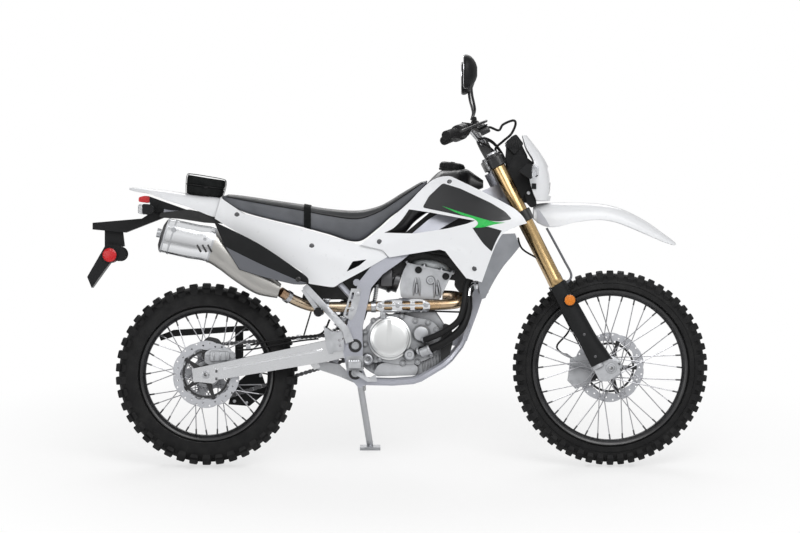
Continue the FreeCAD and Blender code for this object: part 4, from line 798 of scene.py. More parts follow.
def make_light():
    for lamp in LAMPS:
        area_lamp(*lamp)
    world = bpy.data.worlds.new("studio")
    bpy.context.scene.world = world
    world.use_nodes = True
    nodes = world.node_tree.nodes
    links = world.node_tree.links
    nodes.clear()
    rays = nodes.new("ShaderNodeLightPath")
    seen = nodes.new("ShaderNodeMath")
    seen.operation = "MAXIMUM"
    links.new(rays.outputs["Is Camera Ray"], seen.inputs[0])
    links.new(rays.outputs["Is Transmission Ray"], seen.inputs[1])
    ambient = nodes.new("ShaderNodeBackground")
    ambient.inputs["Strength"].default_value = AMBIENT_STRENGTH
    white = nodes.new("ShaderNodeBackground")
    white.inputs["Strength"].default_value = 1.0
    room = nodes.new("ShaderNodeBackground")
    links.new(room_colour(nodes, links), room.inputs["Color"])
    for_gloss = nodes.new("ShaderNodeMixShader")
    links.new(rays.outputs["Is Glossy Ray"], for_gloss.inputs[0])
    links.new(ambient.outputs[0], for_gloss.inputs[1])
    links.new(room.outputs[0], for_gloss.inputs[2])
    mixed = nodes.new("ShaderNodeMixShader")
    links.new(seen.outputs[0], mixed.inputs[0])
    links.new(for_gloss.outputs[0], mixed.inputs[1])
    links.new(white.outputs[0], mixed.inputs[2])
    output = nodes.new("ShaderNodeOutputWorld")
    links.new(mixed.outputs[0], output.inputs["Surface"])


def room_colour(nodes, links):
    """What gloss sees: a white studio with darker bands, so that metal shows its form."""
    spot = nodes.new("ShaderNodeTexCoord")
    apart = nodes.new("ShaderNodeSeparateXYZ")
    links.new(spot.outputs["Generated"], apart.inputs[0])
    ramp = nodes.new("ShaderNodeValToRGB")
    while len(ramp.color_ramp.elements) < len(ROOM_BANDS):
        ramp.color_ramp.elements.new(0.5)
    for element, (height, shade) in zip(ramp.color_ramp.elements, ROOM_BANDS):
        element.position = height
        element.color = (shade, shade, shade, 1)
    height = nodes.new("ShaderNodeMapRange")
    links.new(apart.outputs["Z"], height.inputs["Value"])
    height.inputs["From Min"].default_value = -1.0
    links.new(height.outputs[0], ramp.inputs["Fac"])
    return ramp.outputs["Color"]


def make_floor():
    """A pale floor that keeps the soft shadow near the bike and is plain white far off."""
    mesh = bmesh.new()
    bmesh.ops.create_circle(mesh, cap_ends=True, radius=FLOOR_RADIUS, segments=64)
    floor = linked("floor", mesh_data("floor", mesh))
    paint = Finish("floor_white", (0.96, 0.96, 0.96), 0.9)
    tree = paint.tree
    glow = paint.node("ShaderNodeEmission")
    glow.inputs["Color"].default_value = (1, 1, 1, 1)
    distance = paint.node("ShaderNodeVectorMath")
    distance.operation = "LENGTH"
    tree.links.new(paint.place((1, 1, 1)), distance.inputs[0])
    far = paint.spread(distance.outputs["Value"], GLOW_FROM, GLOW_TO, NEAR_GLOW, 1.0)
    rays = paint.node("ShaderNodeLightPath")
    share = paint.node("ShaderNodeMath")
    share.operation = "MULTIPLY"
    paint.set(share.inputs[0], far)
    paint.set(share.inputs[1], rays.outputs["Is Camera Ray"])
    mixed = paint.node("ShaderNodeMixShader")
    output = tree.nodes["Material Output"]
    paint.set(mixed.inputs[0], share.outputs["Value"])
    paint.set(mixed.inputs[1], paint.shader.outputs[0])
    paint.set(mixed.inputs[2], glow.outputs[0])
    paint.set(output.inputs["Surface"], mixed.outputs[0])
    floor.data.materials.append(paint.material)


# Wheels

def tyre_profile(radius, half_width, rim_radius, rim_half_width):
    """Half round carcass with its beads, as radius and side, from one bead to the other."""
    crown = radius - LUG_HEIGHT
    points = []
    for step in range(17):
        angle = math.pi * (step / 16 - 0.5)
        side = (half_width - 3) * math.sin(angle)
        lift = (crown - rim_radius - 6) * math.cos(angle) ** 0.72
        points.append((rim_radius + 6 + lift, side))
    bead = rim_half_width - 5
    inside = [(rim_radius - 5, bead), (rim_radius - 5, -bead)]
    return [(rim_radius + 2, -bead)] + points + [(rim_radius + 2, bead)] + inside


def knob(mesh, length, width, foot, top, side, lean):
    """One tread block: its foot on the carcass and its top at the tread, narrower at the top."""
    rings = []
    turned = Matrix.Translation((0, side, 0)) @ Matrix.Rotation(lean, 4, "X")
    for height, share in ((foot, 1.16), (foot + (top - foot) * 0.35, 1.03), (top - 1.2, 0.98), (top, 0.88)):
        half_x = length * share / 2
        half_y = width * share / 2
        corners = ((-half_x, -half_y), (half_x, -half_y), (half_x, half_y), (-half_x, half_y))
        rings.append([turned @ Vector((x, y, height)) for x, y in corners])
    bridge(mesh, rings)


def tyre(name, node, radius, half_width, rim_radius, rim_half_width, pitches, body, place):
    """The carcass with its side ribs, and the rows of knobs that stand on it."""
    with piece(name, "tyre_rubber", body, place, 50, nodes=[node]) as mesh:
        lathe(mesh, tyre_profile(radius, half_width, rim_radius, rim_half_width), 144, ABOUT_Y)
    wide = half_width > 50
    length = 2 * math.pi * radius / pitches * 0.60
    foot = radius - LUG_HEIGHT - 5
    rows = bmesh.new()
    middle = (-0.42, 0.0, 0.42) if wide else (-0.26, 0.26)
    for share in middle:
        knob(rows, length * 0.86, half_width * (0.3 if wide else 0.36), foot, radius - abs(share) * 3,
             half_width * share, -share * 0.2)
    for sign in (-1, 1):
        shoulder(rows, radius, half_width, length, sign, 0.0)
    repeated(name + "_knobs", rows, RING, "tyre_rubber", body, place, smooth=25, Count=pitches // 2,
             Lead=0.0)
    rows = bmesh.new()
    half_pitch = 2 * math.pi / pitches
    for share in ((-0.21, 0.21) if wide else (0.0,)):
        knob(rows, length * 0.86, half_width * (0.34 if wide else 0.5), foot, radius - 0.6,
             half_width * share, -share * 0.2)
    for sign in (-1, 1):
        shoulder(rows, radius, half_width, length, sign, 9.0)
    repeated(name + "_other_knobs", rows, RING, "tyre_rubber", body, place, smooth=25, Count=pitches // 2,
             Lead=half_pitch)
    with piece(name + "_side_line", "tyre_rubber", body, place) as line:
        for side in (-1, 1):
            spot = half_width * 0.82
            at = rim_radius + 6 + (radius - LUG_HEIGHT - rim_radius - 6) * 0.34
            profile = [(at - 1.5, side * spot), (at, side * (spot + 5.5)), (at + 1.5, side * spot)]
            lathe(line, profile, 96, ABOUT_Y)


def shoulder(mesh, radius, half_width, length, sign, reach):
    """The block at the tread's edge, which leans out, and its root down the side."""
    inner = half_width * 0.70
    top = radius * math.cos(0.10) - 7
    rings = []
    for height, out, share in ((-30 - reach, 1.4, 0.72), (-16, 5.5, 1.0), (-3, 6.0, 0.98),
                               (0.6, 2.5, 0.88)):
        half = length * share / 2
        low_side = sign * (inner + out + (4 if height < -10 else 0))
        rings.append([Vector((-half, low_side - sign * 16, top + height + 7)),
                      Vector((half, low_side - sign * 16, top + height + 7)),
                      Vector((half, low_side, top + height)), Vector((-half, low_side, top + height))])
    bridge(mesh, rings)


def rim(name, node, radius, half_width, body, place):
    """A spoked rim: its well, shoulders and rolled lips."""
    wall = 3.5
    outside = [(radius - 22, half_width * 0.42), (radius - 20, half_width * 0.56),
               (radius - 13, half_width - 5), (radius - 6, half_width - 0.5), (radius - 1.5, half_width),
               (radius, half_width - 1.5), (radius - 1, half_width - wall),
               (radius - 9, half_width - wall - 1), (radius - 12, half_width * 0.6)]
    section = outside + [(r, -y) for r, y in reversed(outside)]
    with piece(name, "black_paint", body, place, 40, nodes=[node]) as mesh:
        lathe(mesh, section, 120, ABOUT_Y)


def spokes(name, rim_radius, flange_radius, flange_side, body, place):
    """Crossed spokes with their nipples and bent heads, in nine like groups of four."""
    group = bmesh.new()
    nipples = bmesh.new()
    for index in range(4):
        side = 1 if index % 2 else -1
        lead = 1 if index < 2 else -1
        at_rim = 2 * math.pi * index / 36
        at_hub = at_rim + lead * math.radians(70)
        hub_x, hub_z = polar(flange_radius, at_hub)
        rim_x, rim_z = polar(rim_radius - 1, at_rim)
        start = Vector((hub_x, side * (flange_side - 4.5) + lead * 2.16, hub_z))
        end = Vector((rim_x, side * 4 + lead * 2.16, rim_z))
        way = (end - start).normalized()
        round_bar(group, start, end, 1.9, 8, 0.3)
        round_bar(group, start + Vector((0, side * 4, 0)), start - Vector((0, side * 4, 0)), 3.0, 8, 0.6)
        round_bar(nipples, end - way * 17, end + way * 2, 3.3, 6, 0.5)
    repeated(name, group, RING, "spoke_steel", body, place, smooth=40, Count=9, Lead=0.0)
    repeated(name + "_nipples", nipples, RING, "dark_steel", body, place, smooth=40, Count=9, Lead=0.0)


def hub(name, node, section, body, place):
    with piece(name, "cast_alloy", body, place, 30, nodes=[node]) as mesh:
        lathe(mesh, section, 64, ABOUT_Y)


def petal_disc(name, node, radius, offset, hub_radius, body, place):
    """A brake disc with a scalloped edge, drilled round, carried by five curved arms."""
    thick = 4
    inner = radius - 30
    outline = []
    for angle in turns(120):
        wave = 4.2 * abs(math.sin(5 * angle)) ** 0.6
        outline.append(polar(radius - 4.2 + wave, angle))
    holes = [circle(*polar(radius - 14 + (6 if step % 2 else -3), angle), 3.1, 10)
             for step, angle in enumerate(turns(30))]
    hollow = [polar(inner + 3.5 * math.cos(10 * angle), angle) for angle in turns(60)]
    with piece(name, "disc_steel", body, place, 30, nodes=[node], bevel=0.4, segments=1) as band:
        slab(band, outline, offset, offset + thick, [hollow] + holes)
    with piece(name + "_carrier", "black_paint", body, place, 30, bevel=0.5, segments=1) as carrier:
        ring = circle(0, 0, hub_radius + 14, 48)
        slab(carrier, ring, offset - 0.5, offset + thick + 0.5, [circle(0, 0, hub_radius, 48)])
        for angle in turns(5):
            turned = Matrix.Rotation(angle, 2)
            shape = rounded([(hub_radius + 8, -11), (inner - 12, -7), (inner + 4, -10), (inner + 5, 8),
                             (inner - 12, 5), (hub_radius + 8, 9)], 5, 4)
            slab(carrier, [tuple(turned @ Vector(p)) for p in shape], offset + 0.2, offset + thick - 0.2)
            spot = turned @ Vector((inner - 2, -1))
            round_bar(carrier, (spot.x, offset - 1.5, spot.y), (spot.x, offset + thick + 1.5, spot.y), 6,
                      16)
        rim_inside = circle(0, 0, inner - 13, 60)
        slab(carrier, circle(0, 0, inner - 5, 60), offset + 0.4, offset + thick - 0.4, [rim_inside])
    with piece(name + "_rivets", "steel", body, place) as rivets:
        for angle in turns(10, 0.3):
            spot = polar(inner - 3, angle)
            round_bar(rivets, (spot[0], offset - 1.6, spot[1]), (spot[0], offset + thick + 1.6, spot[1]), 5,
                      16)
        outward = -1 if offset < 0 else 1
        for angle in turns(5):
            x, z = polar(hub_radius + 8, angle)
            bolt(rivets, (x, offset + (thick if outward > 0 else 0), z), (0, outward, 0), 5, 4)


def make_wheels():
    tyre("front_tyre_made", "front_tyre", 348, 41, 278, 26, FRONT_LUG_PITCHES, "front_wheel", FRONT_AXLE)
    tyre("rear_tyre_made", "rear_tyre", 325, 59, 239, 33, REAR_LUG_PITCHES, "rear_wheel", REAR_AXLE)
    rim("front_rim_made", "front_rim", 278, 26, "front_wheel", FRONT_AXLE)
    rim("rear_rim_made", "rear_rim", 239, 33, "rear_wheel", REAR_AXLE)
    spokes("front_spokes_made", 256, 36, 29, "front_wheel", FRONT_AXLE)
    spokes("rear_spokes_made", 217, 42, 33, "rear_wheel", REAR_AXLE)
    hub("front_hub", "front_spokes", hub_section(29, 36, 38, (46, 58, 27), 9.5), "front_wheel", FRONT_AXLE)
    hub("rear_hub", "rear_spokes", hub_section(33, 42, 42, (62, 42, 31), 10.5), "rear_wheel", REAR_AXLE)
    petal_disc("front_disc_made", "front_disc", 125, 58, 18, "front_wheel", FRONT_AXLE)
    petal_disc("rear_disc_made", "rear_disc", 120, -66, 20, "rear_wheel", REAR_AXLE)


def hub_section(radius, flange_radius, half_width, ends, bore):
    """Half of the hub's section as radius and side, with its flanges and end bosses."""
    right, left, boss = ends
    flange = half_width - 9
    rim_of = flange_radius + 6
    return [(bore, left), (boss - 2, left), (boss, left - 2), (boss, flange + 4), (rim_of - 1, flange + 1),
            (rim_of, flange), (rim_of, flange - 5), (rim_of - 2, flange - 6), (radius + 3, flange - 12),
            (radius, 0), (radius + 3, 12 - flange), (rim_of - 2, 6 - flange), (rim_of, 5 - flange),
            (rim_of, -flange), (rim_of - 1, -flange - 1), (boss, -flange - 4), (boss, 2 - right),
            (boss - 2, -right), (bore, -right)]


# Body panels: outlines of the side view laid on curved skins

def sampled(table, count):
    """Places spread evenly over a table's length, each with the values there on smooth curves."""
    at = [row[0] for row in table]
    columns = [[row[i] for row in table] for i in (1, 2, 3)]
    for step in range(count + 1):
        x = at[0] + (at[-1] - at[0]) * step / count
        yield x, [smooth_table(at, column, x) for column in columns]


def smooth_table(at, values, x):
    """A value between those of a table, on a curve with no kinks."""
    if x <= at[0]:
        return values[0]
    if x >= at[-1]:
        return values[-1]
    index = max(i for i in range(len(at) - 1) if at[i] <= x)
    width = at[index + 1] - at[index]
    t = (x - at[index]) / width

    def slope(i):
        low, high = max(i - 1, 0), min(i + 1, len(at) - 1)
        return (values[high] - values[low]) / (at[high] - at[low])

    one, two = values[index], values[index + 1]
    start, end = slope(index) * width, slope(index + 1) * width
    return ((2 * t ** 3 - 3 * t ** 2 + 1) * one + (t ** 3 - 2 * t ** 2 + t) * start
            + (3 * t ** 2 - 2 * t ** 3) * two + (t ** 3 - t ** 2) * end)


def skin_of(heights, stations):
    """How far out a panel lies at a place of the side view, from a few stations."""
    def side(x, z):
        outs = [smooth_table(heights, row, z) for _, row in stations]
        return smooth_table([station for station, _ in stations], outs, x)
    return side


SHROUD_SKIN = skin_of((630, 760, 850, 930, 1050), (
    (530, (136, 156, 152, 140, 112)), (700, (150, 162, 156, 142, 108)), (850, (168, 184, 182, 158, 112)),
    (1000, (186, 206, 208, 186, 140)), (1160, (196, 216, 220, 206, 172))))
SIDE_SKIN = skin_of((620, 740, 850, 970), (
    (0, (124, 124, 118, 108)), (340, (150, 146, 132, 116)), (680, (146, 146, 138, 124))))


def near_line(x, z, line):
    """Distance from a place of the side view to a bent line, and the side it lies on."""
    best = None
    for one, two in zip(line, line[1:]):
        way = Vector(two) - Vector(one)
        spot = Vector((x, z)) - Vector(one)
        t = min(max(spot.dot(way) / way.length_squared, 0), 1)
        gap = (spot - way * t).length
        turn = way.x * spot.y - way.y * spot.x
        if best is None or gap < best[0]:
            best = (gap, turn)
    return best


def panel(name, outline, skin, thickness, finish, nodes=(), holes=(), side=-1, lift=0.0, grid=11.0,
          bevel=1.0):
    """A moulded sheet: an outline and its holes cut from a fine grid, laid on a skin, with its wall."""
    loops = [fine(outline, grid * 0.7)] + [fine(hole, grid * 0.7) for hole in holes]
    corners = [Vector(point) for loop in loops for point in loop]
    edges = []
    start = 0
    for loop in loops:
        edges += [(start + i, start + (i + 1) % len(loop)) for i in range(len(loop))]
        start += len(loop)
    low_x, high_x = min(p[0] for p in outline), max(p[0] for p in outline)
    low_z, high_z = min(p[1] for p in outline), max(p[1] for p in outline)
    for row in range(int((high_z - low_z) / (grid * 0.87)) + 1):
        for column in range(int((high_x - low_x) / grid) + 1):
            spot = (low_x + (column + 0.5 * (row % 2)) * grid, low_z + row * grid * 0.87)
            if is_within(spot, loops[0]) and not any(is_within(spot, hole) for hole in loops[1:]):
                if all(near_line(*spot, loop + loop[:1])[0] > grid * 0.42 for loop in loops):
                    corners.append(Vector(spot))
    spots, _, faces, _, _, _ = geometry.delaunay_2d_cdt(corners, edges, [], 0, POINT_GAP)
    with piece(name, finish, smooth=40, nodes=nodes, bevel=bevel, angle=55) as mesh:
        verts = [mesh.verts.new((spot.x, side * (skin(spot.x, spot.y) + lift), spot.y)) for spot in spots]
        for face in faces:
            centre = middle_of([spots[i] for i in face])
            if is_within(centre, loops[0]) and not any(is_within(centre, hole) for hole in loops[1:]):
                mesh.faces.new([verts[i] for i in face])
        bmesh.ops.delete(mesh, geom=[v for v in mesh.verts if not v.link_faces], context="VERTS")
        wall = {}
        for vert in list(mesh.verts):
            wall[vert] = mesh.verts.new(vert.co - Vector((0, side * thickness, 0)))
        rims = [edge for edge in mesh.edges if edge.is_boundary]
        for face in list(mesh.faces):
            mesh.faces.new([wall[vert] for vert in reversed(face.verts)])
        for edge in rims:
            one, two = edge.verts
            mesh.faces.new((one, two, wall[two], wall[one]))


def fine(outline, step):
    """An outline with points at least so close, for a panel's edge."""
    points = []
    for one, two in zip(outline, outline[1:] + outline[:1]):
        count = max(1, int(math.dist(one, two) / step))
        points += [(one[0] + (two[0] - one[0]) * i / count, one[1] + (two[1] - one[1]) * i / count)
                   for i in range(count)]
    return points


def curved(points):
    """A smooth line of the side view through its points."""
    return [(p.x, p.y) for p in smooth_line([(x, z, 0) for x, z in points], 5)]


def mixed_outline(*stretches):
    """An outline of stretches, each smooth or straight, corners kept where they meet."""
    points = []
    for smooth, stretch in stretches:
        for spot in curved(stretch) if smooth else stretch:
            if not points or math.dist(spot, points[-1]) > 0.5:
                points.append(spot)
    return points[:-1] if math.dist(points[0], points[-1]) < 0.5 else points


SHROUD_OUTLINE = mixed_outline(
    (True, [(720, 934), (760, 977), (799, 1012), (832, 1027), (865, 1030), (886, 1022)]),
    (True, [(886, 1022), (980, 976), (1080, 923), (1118, 893), (1139, 862)]),
    (False, [(1139, 862), (1102, 851)]),
    (True, [(1102, 851), (1056, 827), (1033, 792), (1018, 759), (998, 705), (980, 653)]),
    (False, [(980, 653), (924, 668)]),
    (True, [(924, 668), (888, 714), (850, 763)]),
    (False, [(850, 763), (830, 769), (744, 756), (652, 741), (628, 767), (549, 786)]),
    (False, [(549, 786), (593, 822)]))
SHROUD_WINDOW = mixed_outline(
    (False, [(722, 912), (800, 900), (955, 871)]),
    (False, [(955, 871), (925, 860), (860, 844), (806, 836), (740, 826), (634, 829)]),
    (True, [(634, 829), (668, 846), (700, 880), (722, 912)]))
SHROUD_FLANGE = mixed_outline(
    (False, [(1097, 826), (1113, 779)]),
    (True, [(1113, 779), (1085, 744), (1055, 708), (1021, 654), (992, 597)]),
    (False, [(992, 597), (976, 592), (967, 651)]),
    (True, [(967, 651), (985, 705), (1004, 757), (1022, 797), (1045, 824)]))


def shroud_skin(x, z):
    """The wing's skin with its folded crease and the lip below the window."""
    out = SHROUD_SKIN(x, z)
    gap, turn = near_line(x, z, [(640, 790), (780, 838), (900, 858), (1010, 868), (1130, 878)])
    out += 2.6 * math.exp(-(gap / 16) ** 2)
    if turn < 0:
        out -= 4.0 * (1 - math.exp(-(gap / 34) ** 2))
    gap, _ = near_line(x, z, [(850, 765), (905, 760), (960, 700), (978, 660)])
    out += 1.8 * math.exp(-(gap / 9) ** 2)
    return out


def make_shrouds():
    for side, hand in reversed(HANDS):
        panel("shroud_" + hand, SHROUD_OUTLINE, shroud_skin, 3.5, "white_plastic", nodes=["shrouds"],
              holes=[SHROUD_WINDOW], side=side, lift=-3.0)
        # The flange is white plastic; its grey finish is painted shade.
        panel("shroud_flange_" + hand, SHROUD_FLANGE, SHROUD_SKIN, 3.5, "cover_grey", side=side, lift=-9.0)
        upper = [(842, 1005), (905, 985), (1012, 934), (1062, 903), (1086, 876), (1040, 868), (992, 872),
                 (930, 884), (842, 903), (770, 918), (792, 958)]
        panel("shroud_upper_black_" + hand, rounded(upper, 8), shroud_skin, 0.8, "black_stripe", side=side,
              lift=-2.3, bevel=0)
        swoosh = mixed_outline((True, [(838, 924), (900, 903), (962, 884), (1020, 868), (1062, 864)]),
                               (True, [(1062, 864), (1024, 858), (985, 848), (952, 846)]),
                               (True, [(952, 846), (966, 862), (950, 878), (905, 893), (838, 924)]))
        panel("shroud_green_" + hand, swoosh, shroud_skin, 0.9, "green_stripe", side=side, lift=-1.7,
              bevel=0)
        lower = mixed_outline((False, [(946, 846), (1000, 850), (1050, 836)]),
                              (True, [(1050, 836), (1030, 800), (1014, 762)]),
                              (True, [(1014, 762), (985, 790), (962, 822), (946, 846)]))
        panel("shroud_lower_black_" + hand, lower, shroud_skin, 0.8, "black_stripe", side=side, lift=-2.3,
              bevel=0)
        for x, z in ((866, 1009), (617, 797), (954, 702)):
            panel_bolt("shroud_bolt_%s_%d" % (hand, x), x, z, side * (shroud_skin(x, z) - 3.2), side)


def panel_bolt(name, x, z, y, side):
    """A round-headed bolt with its washer and socket, on a panel."""
    radius = 9
    with piece(name, "dark_steel") as mesh:
        profile = [(AXIS, 1.2), (radius * 0.36, 1.2), (radius * 0.40, 3.4), (radius * 0.62, 3.2),
                   (radius * 0.74, 1.6), (radius * 0.78, 1.0), (radius, 0.8), (radius, -0.6), (AXIS, -0.6)]
        lathe(mesh, profile, 24, facing(x, y, z, side))


SIDE_OUTLINE = mixed_outline(
    (False, [(53, 953), (136, 896)]),
    (False, [(136, 896), (347, 843), (470, 809), (549, 786), (628, 767), (646, 743)]),
    (False, [(646, 743), (560, 694), (474, 648)]),
    (True, [(474, 648), (460, 638), (446, 636), (410, 641), (368, 648)]),
    (False, [(368, 648), (341, 691), (200, 777), (32, 879)]))
SIDE_SLOT = rounded([(500, 690), (522, 727), (572, 734), (545, 712)], 4)


def side_skin(x, z):
    out = SIDE_SKIN(x, z)
    gap, turn = near_line(x, z, [(40, 900), (200, 838), (400, 760), (520, 716), (640, 742)])
    out += 1.6 * math.exp(-(gap / 22) ** 2)
    if turn < 0:
        out -= 3.0 * (1 - math.exp(-(gap / 40) ** 2))
    return out


def make_side_panels():
    for side, hand in reversed(HANDS):
        panel("side_panel_" + hand, SIDE_OUTLINE, side_skin, 3.5, "white_plastic", nodes=["side_panels"],
              holes=[SIDE_SLOT], side=side, lift=-2.0)
        for x, z in ((111, 893), (377, 782)):
            panel_bolt("side_bolt_%s_%d" % (hand, x), x, z, side * (side_skin(x, z) - 2.2), side)


def arched(name, stations, finish, body, nodes, thickness, power, ridge=0.0):
    """A moulded channel over the middle plane: x, half width, low edge and crown at each station."""
    with piece(name, finish, body, smooth=60, nodes=nodes, bevel=0.8, thickness=thickness,
               angle=60) as mesh:
        rows = []
        for x, (width, low, high) in sampled(stations, 60):
            row = []
            for step in range(17):
                angle = math.pi * step / 16
                y = math.copysign(abs(math.cos(angle)) ** (2 / power), math.cos(angle)) * width
                z = low + (high - low) * math.sin(angle) ** (2 / power)
                z += ridge * math.exp(-(y / (width * 0.16)) ** 2)
                row.append((x, y, z))
            rows.append(row)
        bridge(mesh, rows, closed=False)


def make_front_fender():
    stations = ((1166, 55, 880, 929), (1200, 60, 856, 934), (1243, 65, 850, 936), (1323, 66, 868, 935.5),
                (1402, 65, 876, 932), (1458, 60, 868, 921), (1508, 55, 850, 902), (1574, 47, 822, 866),
                (1630, 39, 798, 826), (1666, 30, 786, 799), (1675, 20, 785, 791))
    arched("front_fender_made", stations, "white_plastic", "steering", ["front_fender"], 3.2, ridge=1.5,
           power=2.6)
    # The fender is white; these pale grey flanks below its crease are painted shade.
    with piece("fender_flanks", "flank_shade_grey", "steering") as mesh:
        for side in (-1, 1):
            slab(mesh, rounded([(1180, 918), (1209, 878), (1224, 852), (1206, 853), (1178, 868)], 5),
                 *across(side, 60, 63))
    with piece("fender_stay", "grey_plastic", "steering", smooth=60) as mesh:
        pipe(mesh, [(1212, -70, 846), (1240, -71, 795), (1276, -72, 728), (1299, -75, 682),
                    (1290, -85, 657), (1262, -94, 640)], 4.2, 16, 6)


def make_tail():
    stations = ((-277, 8, 983, 990), (-262, 26, 978, 991), (-204, 66, 968, 987), (-140, 84, 944, 980),
                (-73, 94, 924, 970.5), (-20, 100, 903, 965), (32, 103, 885, 961), (52, 103, 896, 953))
    arched("tail_cover_made", stations, "white_plastic", "chassis", ["tail_cover"], 3.0, power=3.4)


# Rigid nodes that keep their form, and shapes that more than one chapter uses

UPRIGHT = Matrix.Rotation(math.pi / 2, 4, "X")


def trimmed(node, finish, cuts, name, bevel):
    """A round-edged copy of a node, cut off flat where each plane of point and normal says."""
    source, mesh = node_copy(node)
    for spot, normal in cuts:
        cut = bmesh.ops.bisect_plane(mesh, geom=mesh.verts[:] + mesh.edges[:] + mesh.faces[:],
                                     plane_co=BIKE @ Vector(spot),
                                     plane_no=(BIKE.to_3x3() @ Vector(normal)).normalized(),
                                     clear_outer=True)
        rim = [item for item in cut["geom_cut"] if isinstance(item, bmesh.types.BMEdge)]
        bmesh.ops.holes_fill(mesh, edges=rim, sides=0)
    without_flat_edges(mesh)
    thing = kept(name, mesh, finish, source["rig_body"], Matrix(), CREASE, nodes=[node])
    return with_modifiers(thing, bevel, angle=CREASE)


def bolt(mesh, spot, way, radius=6.0, height=5.0, socket=True):
    """A cap bolt with its socket, or a hexagon head on a washer, at a spot and standing up its way."""
    spot = Vector(spot)
    place = along(spot, spot + Vector(way))
    if socket:
        lathe(mesh, [(AXIS, height * 0.4), (radius * 0.45, height * 0.4), (radius * 0.5, height),
                     (radius * 0.85, height), (radius, height * 0.8), (radius, -1), (AXIS, -1)], 20, place)
    else:
        lathe(mesh, [(AXIS, 1.4), (radius * 1.35, 1.4), (radius * 1.35, -1), (AXIS, -1)], 24, place)
        lathe(mesh, [(AXIS, height), (radius * 0.85, height), (radius, height * 0.8), (radius, 1.2),
                     (AXIS, 1.2)], 6, place)


def superellipse(across, up, power, steps):
    """Corners of a rounded outline about its middle."""
    corners = []
    for angle in turns(steps, 0.5):
        c, v = math.cos(angle), math.sin(angle)
        corners.append((math.copysign(abs(c) ** (2 / power), c) * across,
                        math.copysign(abs(v) ** (2 / power), v) * up))
    return corners


def block(mesh, low, high, edge=3.0, place=Matrix()):
    """A box with round upright edges and eased ends, along its longest way."""
    low, high = Vector(low), Vector(high)
    middle, half = (low + high) / 2, (high - low) / 2
    edge = min(edge, min(half) * 0.9)
    rings = []
    for z, share in ((-half.z, edge), (-half.z + edge * 0.4, edge * 0.3), (-half.z + edge, 0),
                     (half.z - edge, 0), (half.z - edge * 0.4, edge * 0.3), (half.z, edge)):
        outline = rounded([(-half.x + share, -half.y + share), (half.x - share, -half.y + share),
                           (half.x - share, half.y - share), (-half.x + share, half.y - share)], edge * 1.2)
        rings.append([place @ (middle + Vector((x, y, z))) for x, y in outline])
    bridge(mesh, rings)


# Fork and steering

def make_fork():
    for side, hand in HANDS:
        at = Matrix.Translation((0, side * FORK_SPACING, 0))
        with piece("outer_tube_" + hand, "gold_anodised", "steering", FORK, 50,
                   nodes=["fork_outer_tubes"]) as mesh:
            lathe(mesh, [(21.9, 349), (24.0, 349), (24.9, 351), (24.9, 372), (24.5, 374), (24.5, 560),
                         (24.9, 564), (24.9, TUBE_TOP - 1), (24.2, TUBE_TOP), (21.9, TUBE_TOP)], 64, at)
        with piece("fork_cap_" + hand, "aluminium", "steering", FORK, 30) as mesh:
            lathe(mesh, [(AXIS, 873), (8, 873), (8.6, 875.5), (17, 875), (18.5, 873), (18.5, 869.5),
                         (21.8, 869), (22.6, 867), (22.6, 862), (AXIS, 862)], 48, at)
        with piece("stanchion_" + hand, "chrome", "steering", FORK, 50, nodes=["fork_stanchions"]) as mesh:
            lathe(mesh, [(AXIS, 41), (21.2, 41), (21.2, 349.5), (AXIS, 349.5)], 48, at)
        with piece("seal_sleeve_" + hand, "aluminium", "steering", FORK, 40,
                   nodes=["fork_castings"]) as mesh:
            lathe(mesh, [(21.8, 281), (24.2, 280.5), (25.3, 283), (25.4, 290), (24.8, 300), (24.8, 340),
                         (25.0, 346), (21.8, 346)], 64, at)
        axle_lug(side, hand)
        guard(side, hand)
    make_clamps()


def axle_lug(side, hand):
    """The cast foot with its pinch bolts, and the round bottom of the leg above it."""
    y = side * FORK_SPACING
    with piece("axle_lug_" + hand, "cast_alloy", "steering", FORK, 30, bevel=3.0, segments=3,
               angle=40) as mesh:
        outline = rounded([(-21, -24), (6, -38), (60, -29), (66, 8), (47, 33), (22, 39), (-21, 39)], 9, 4)
        slab(mesh, outline, y - 19.5, y + 19.5, [circle(AXLE_LEAD, 0, 9.6, 28)])
    with piece("leg_foot_" + hand, "cast_alloy", "steering", FORK) as mesh:
        lathe(mesh, [(AXIS, 20), (27, 20), (27.5, 26), (26.5, 44), (22.0, 56), (AXIS, 56)], 48,
              Matrix.Translation((0, y, 0)))
        lathe(mesh, [(9.8, 17), (17, 17), (18, 19.5), (18, 22), (13.5, 22.5), (12.5, 20.5), (9.8, 20.5)],
              32, facing(AXLE_LEAD, y, 0, side))
    with piece("pinch_bolts_" + hand, "dark_steel", "steering", FORK) as bolts:
        for x, z in ((58, -20), (62, 2)):
            bolt(bolts, (x + 5, y - 10, z - 2), (1, 0, 0.12), 5, 5)
            bolt(bolts, (x + 5, y + 10, z - 2), (1, 0, 0.12), 5, 5)


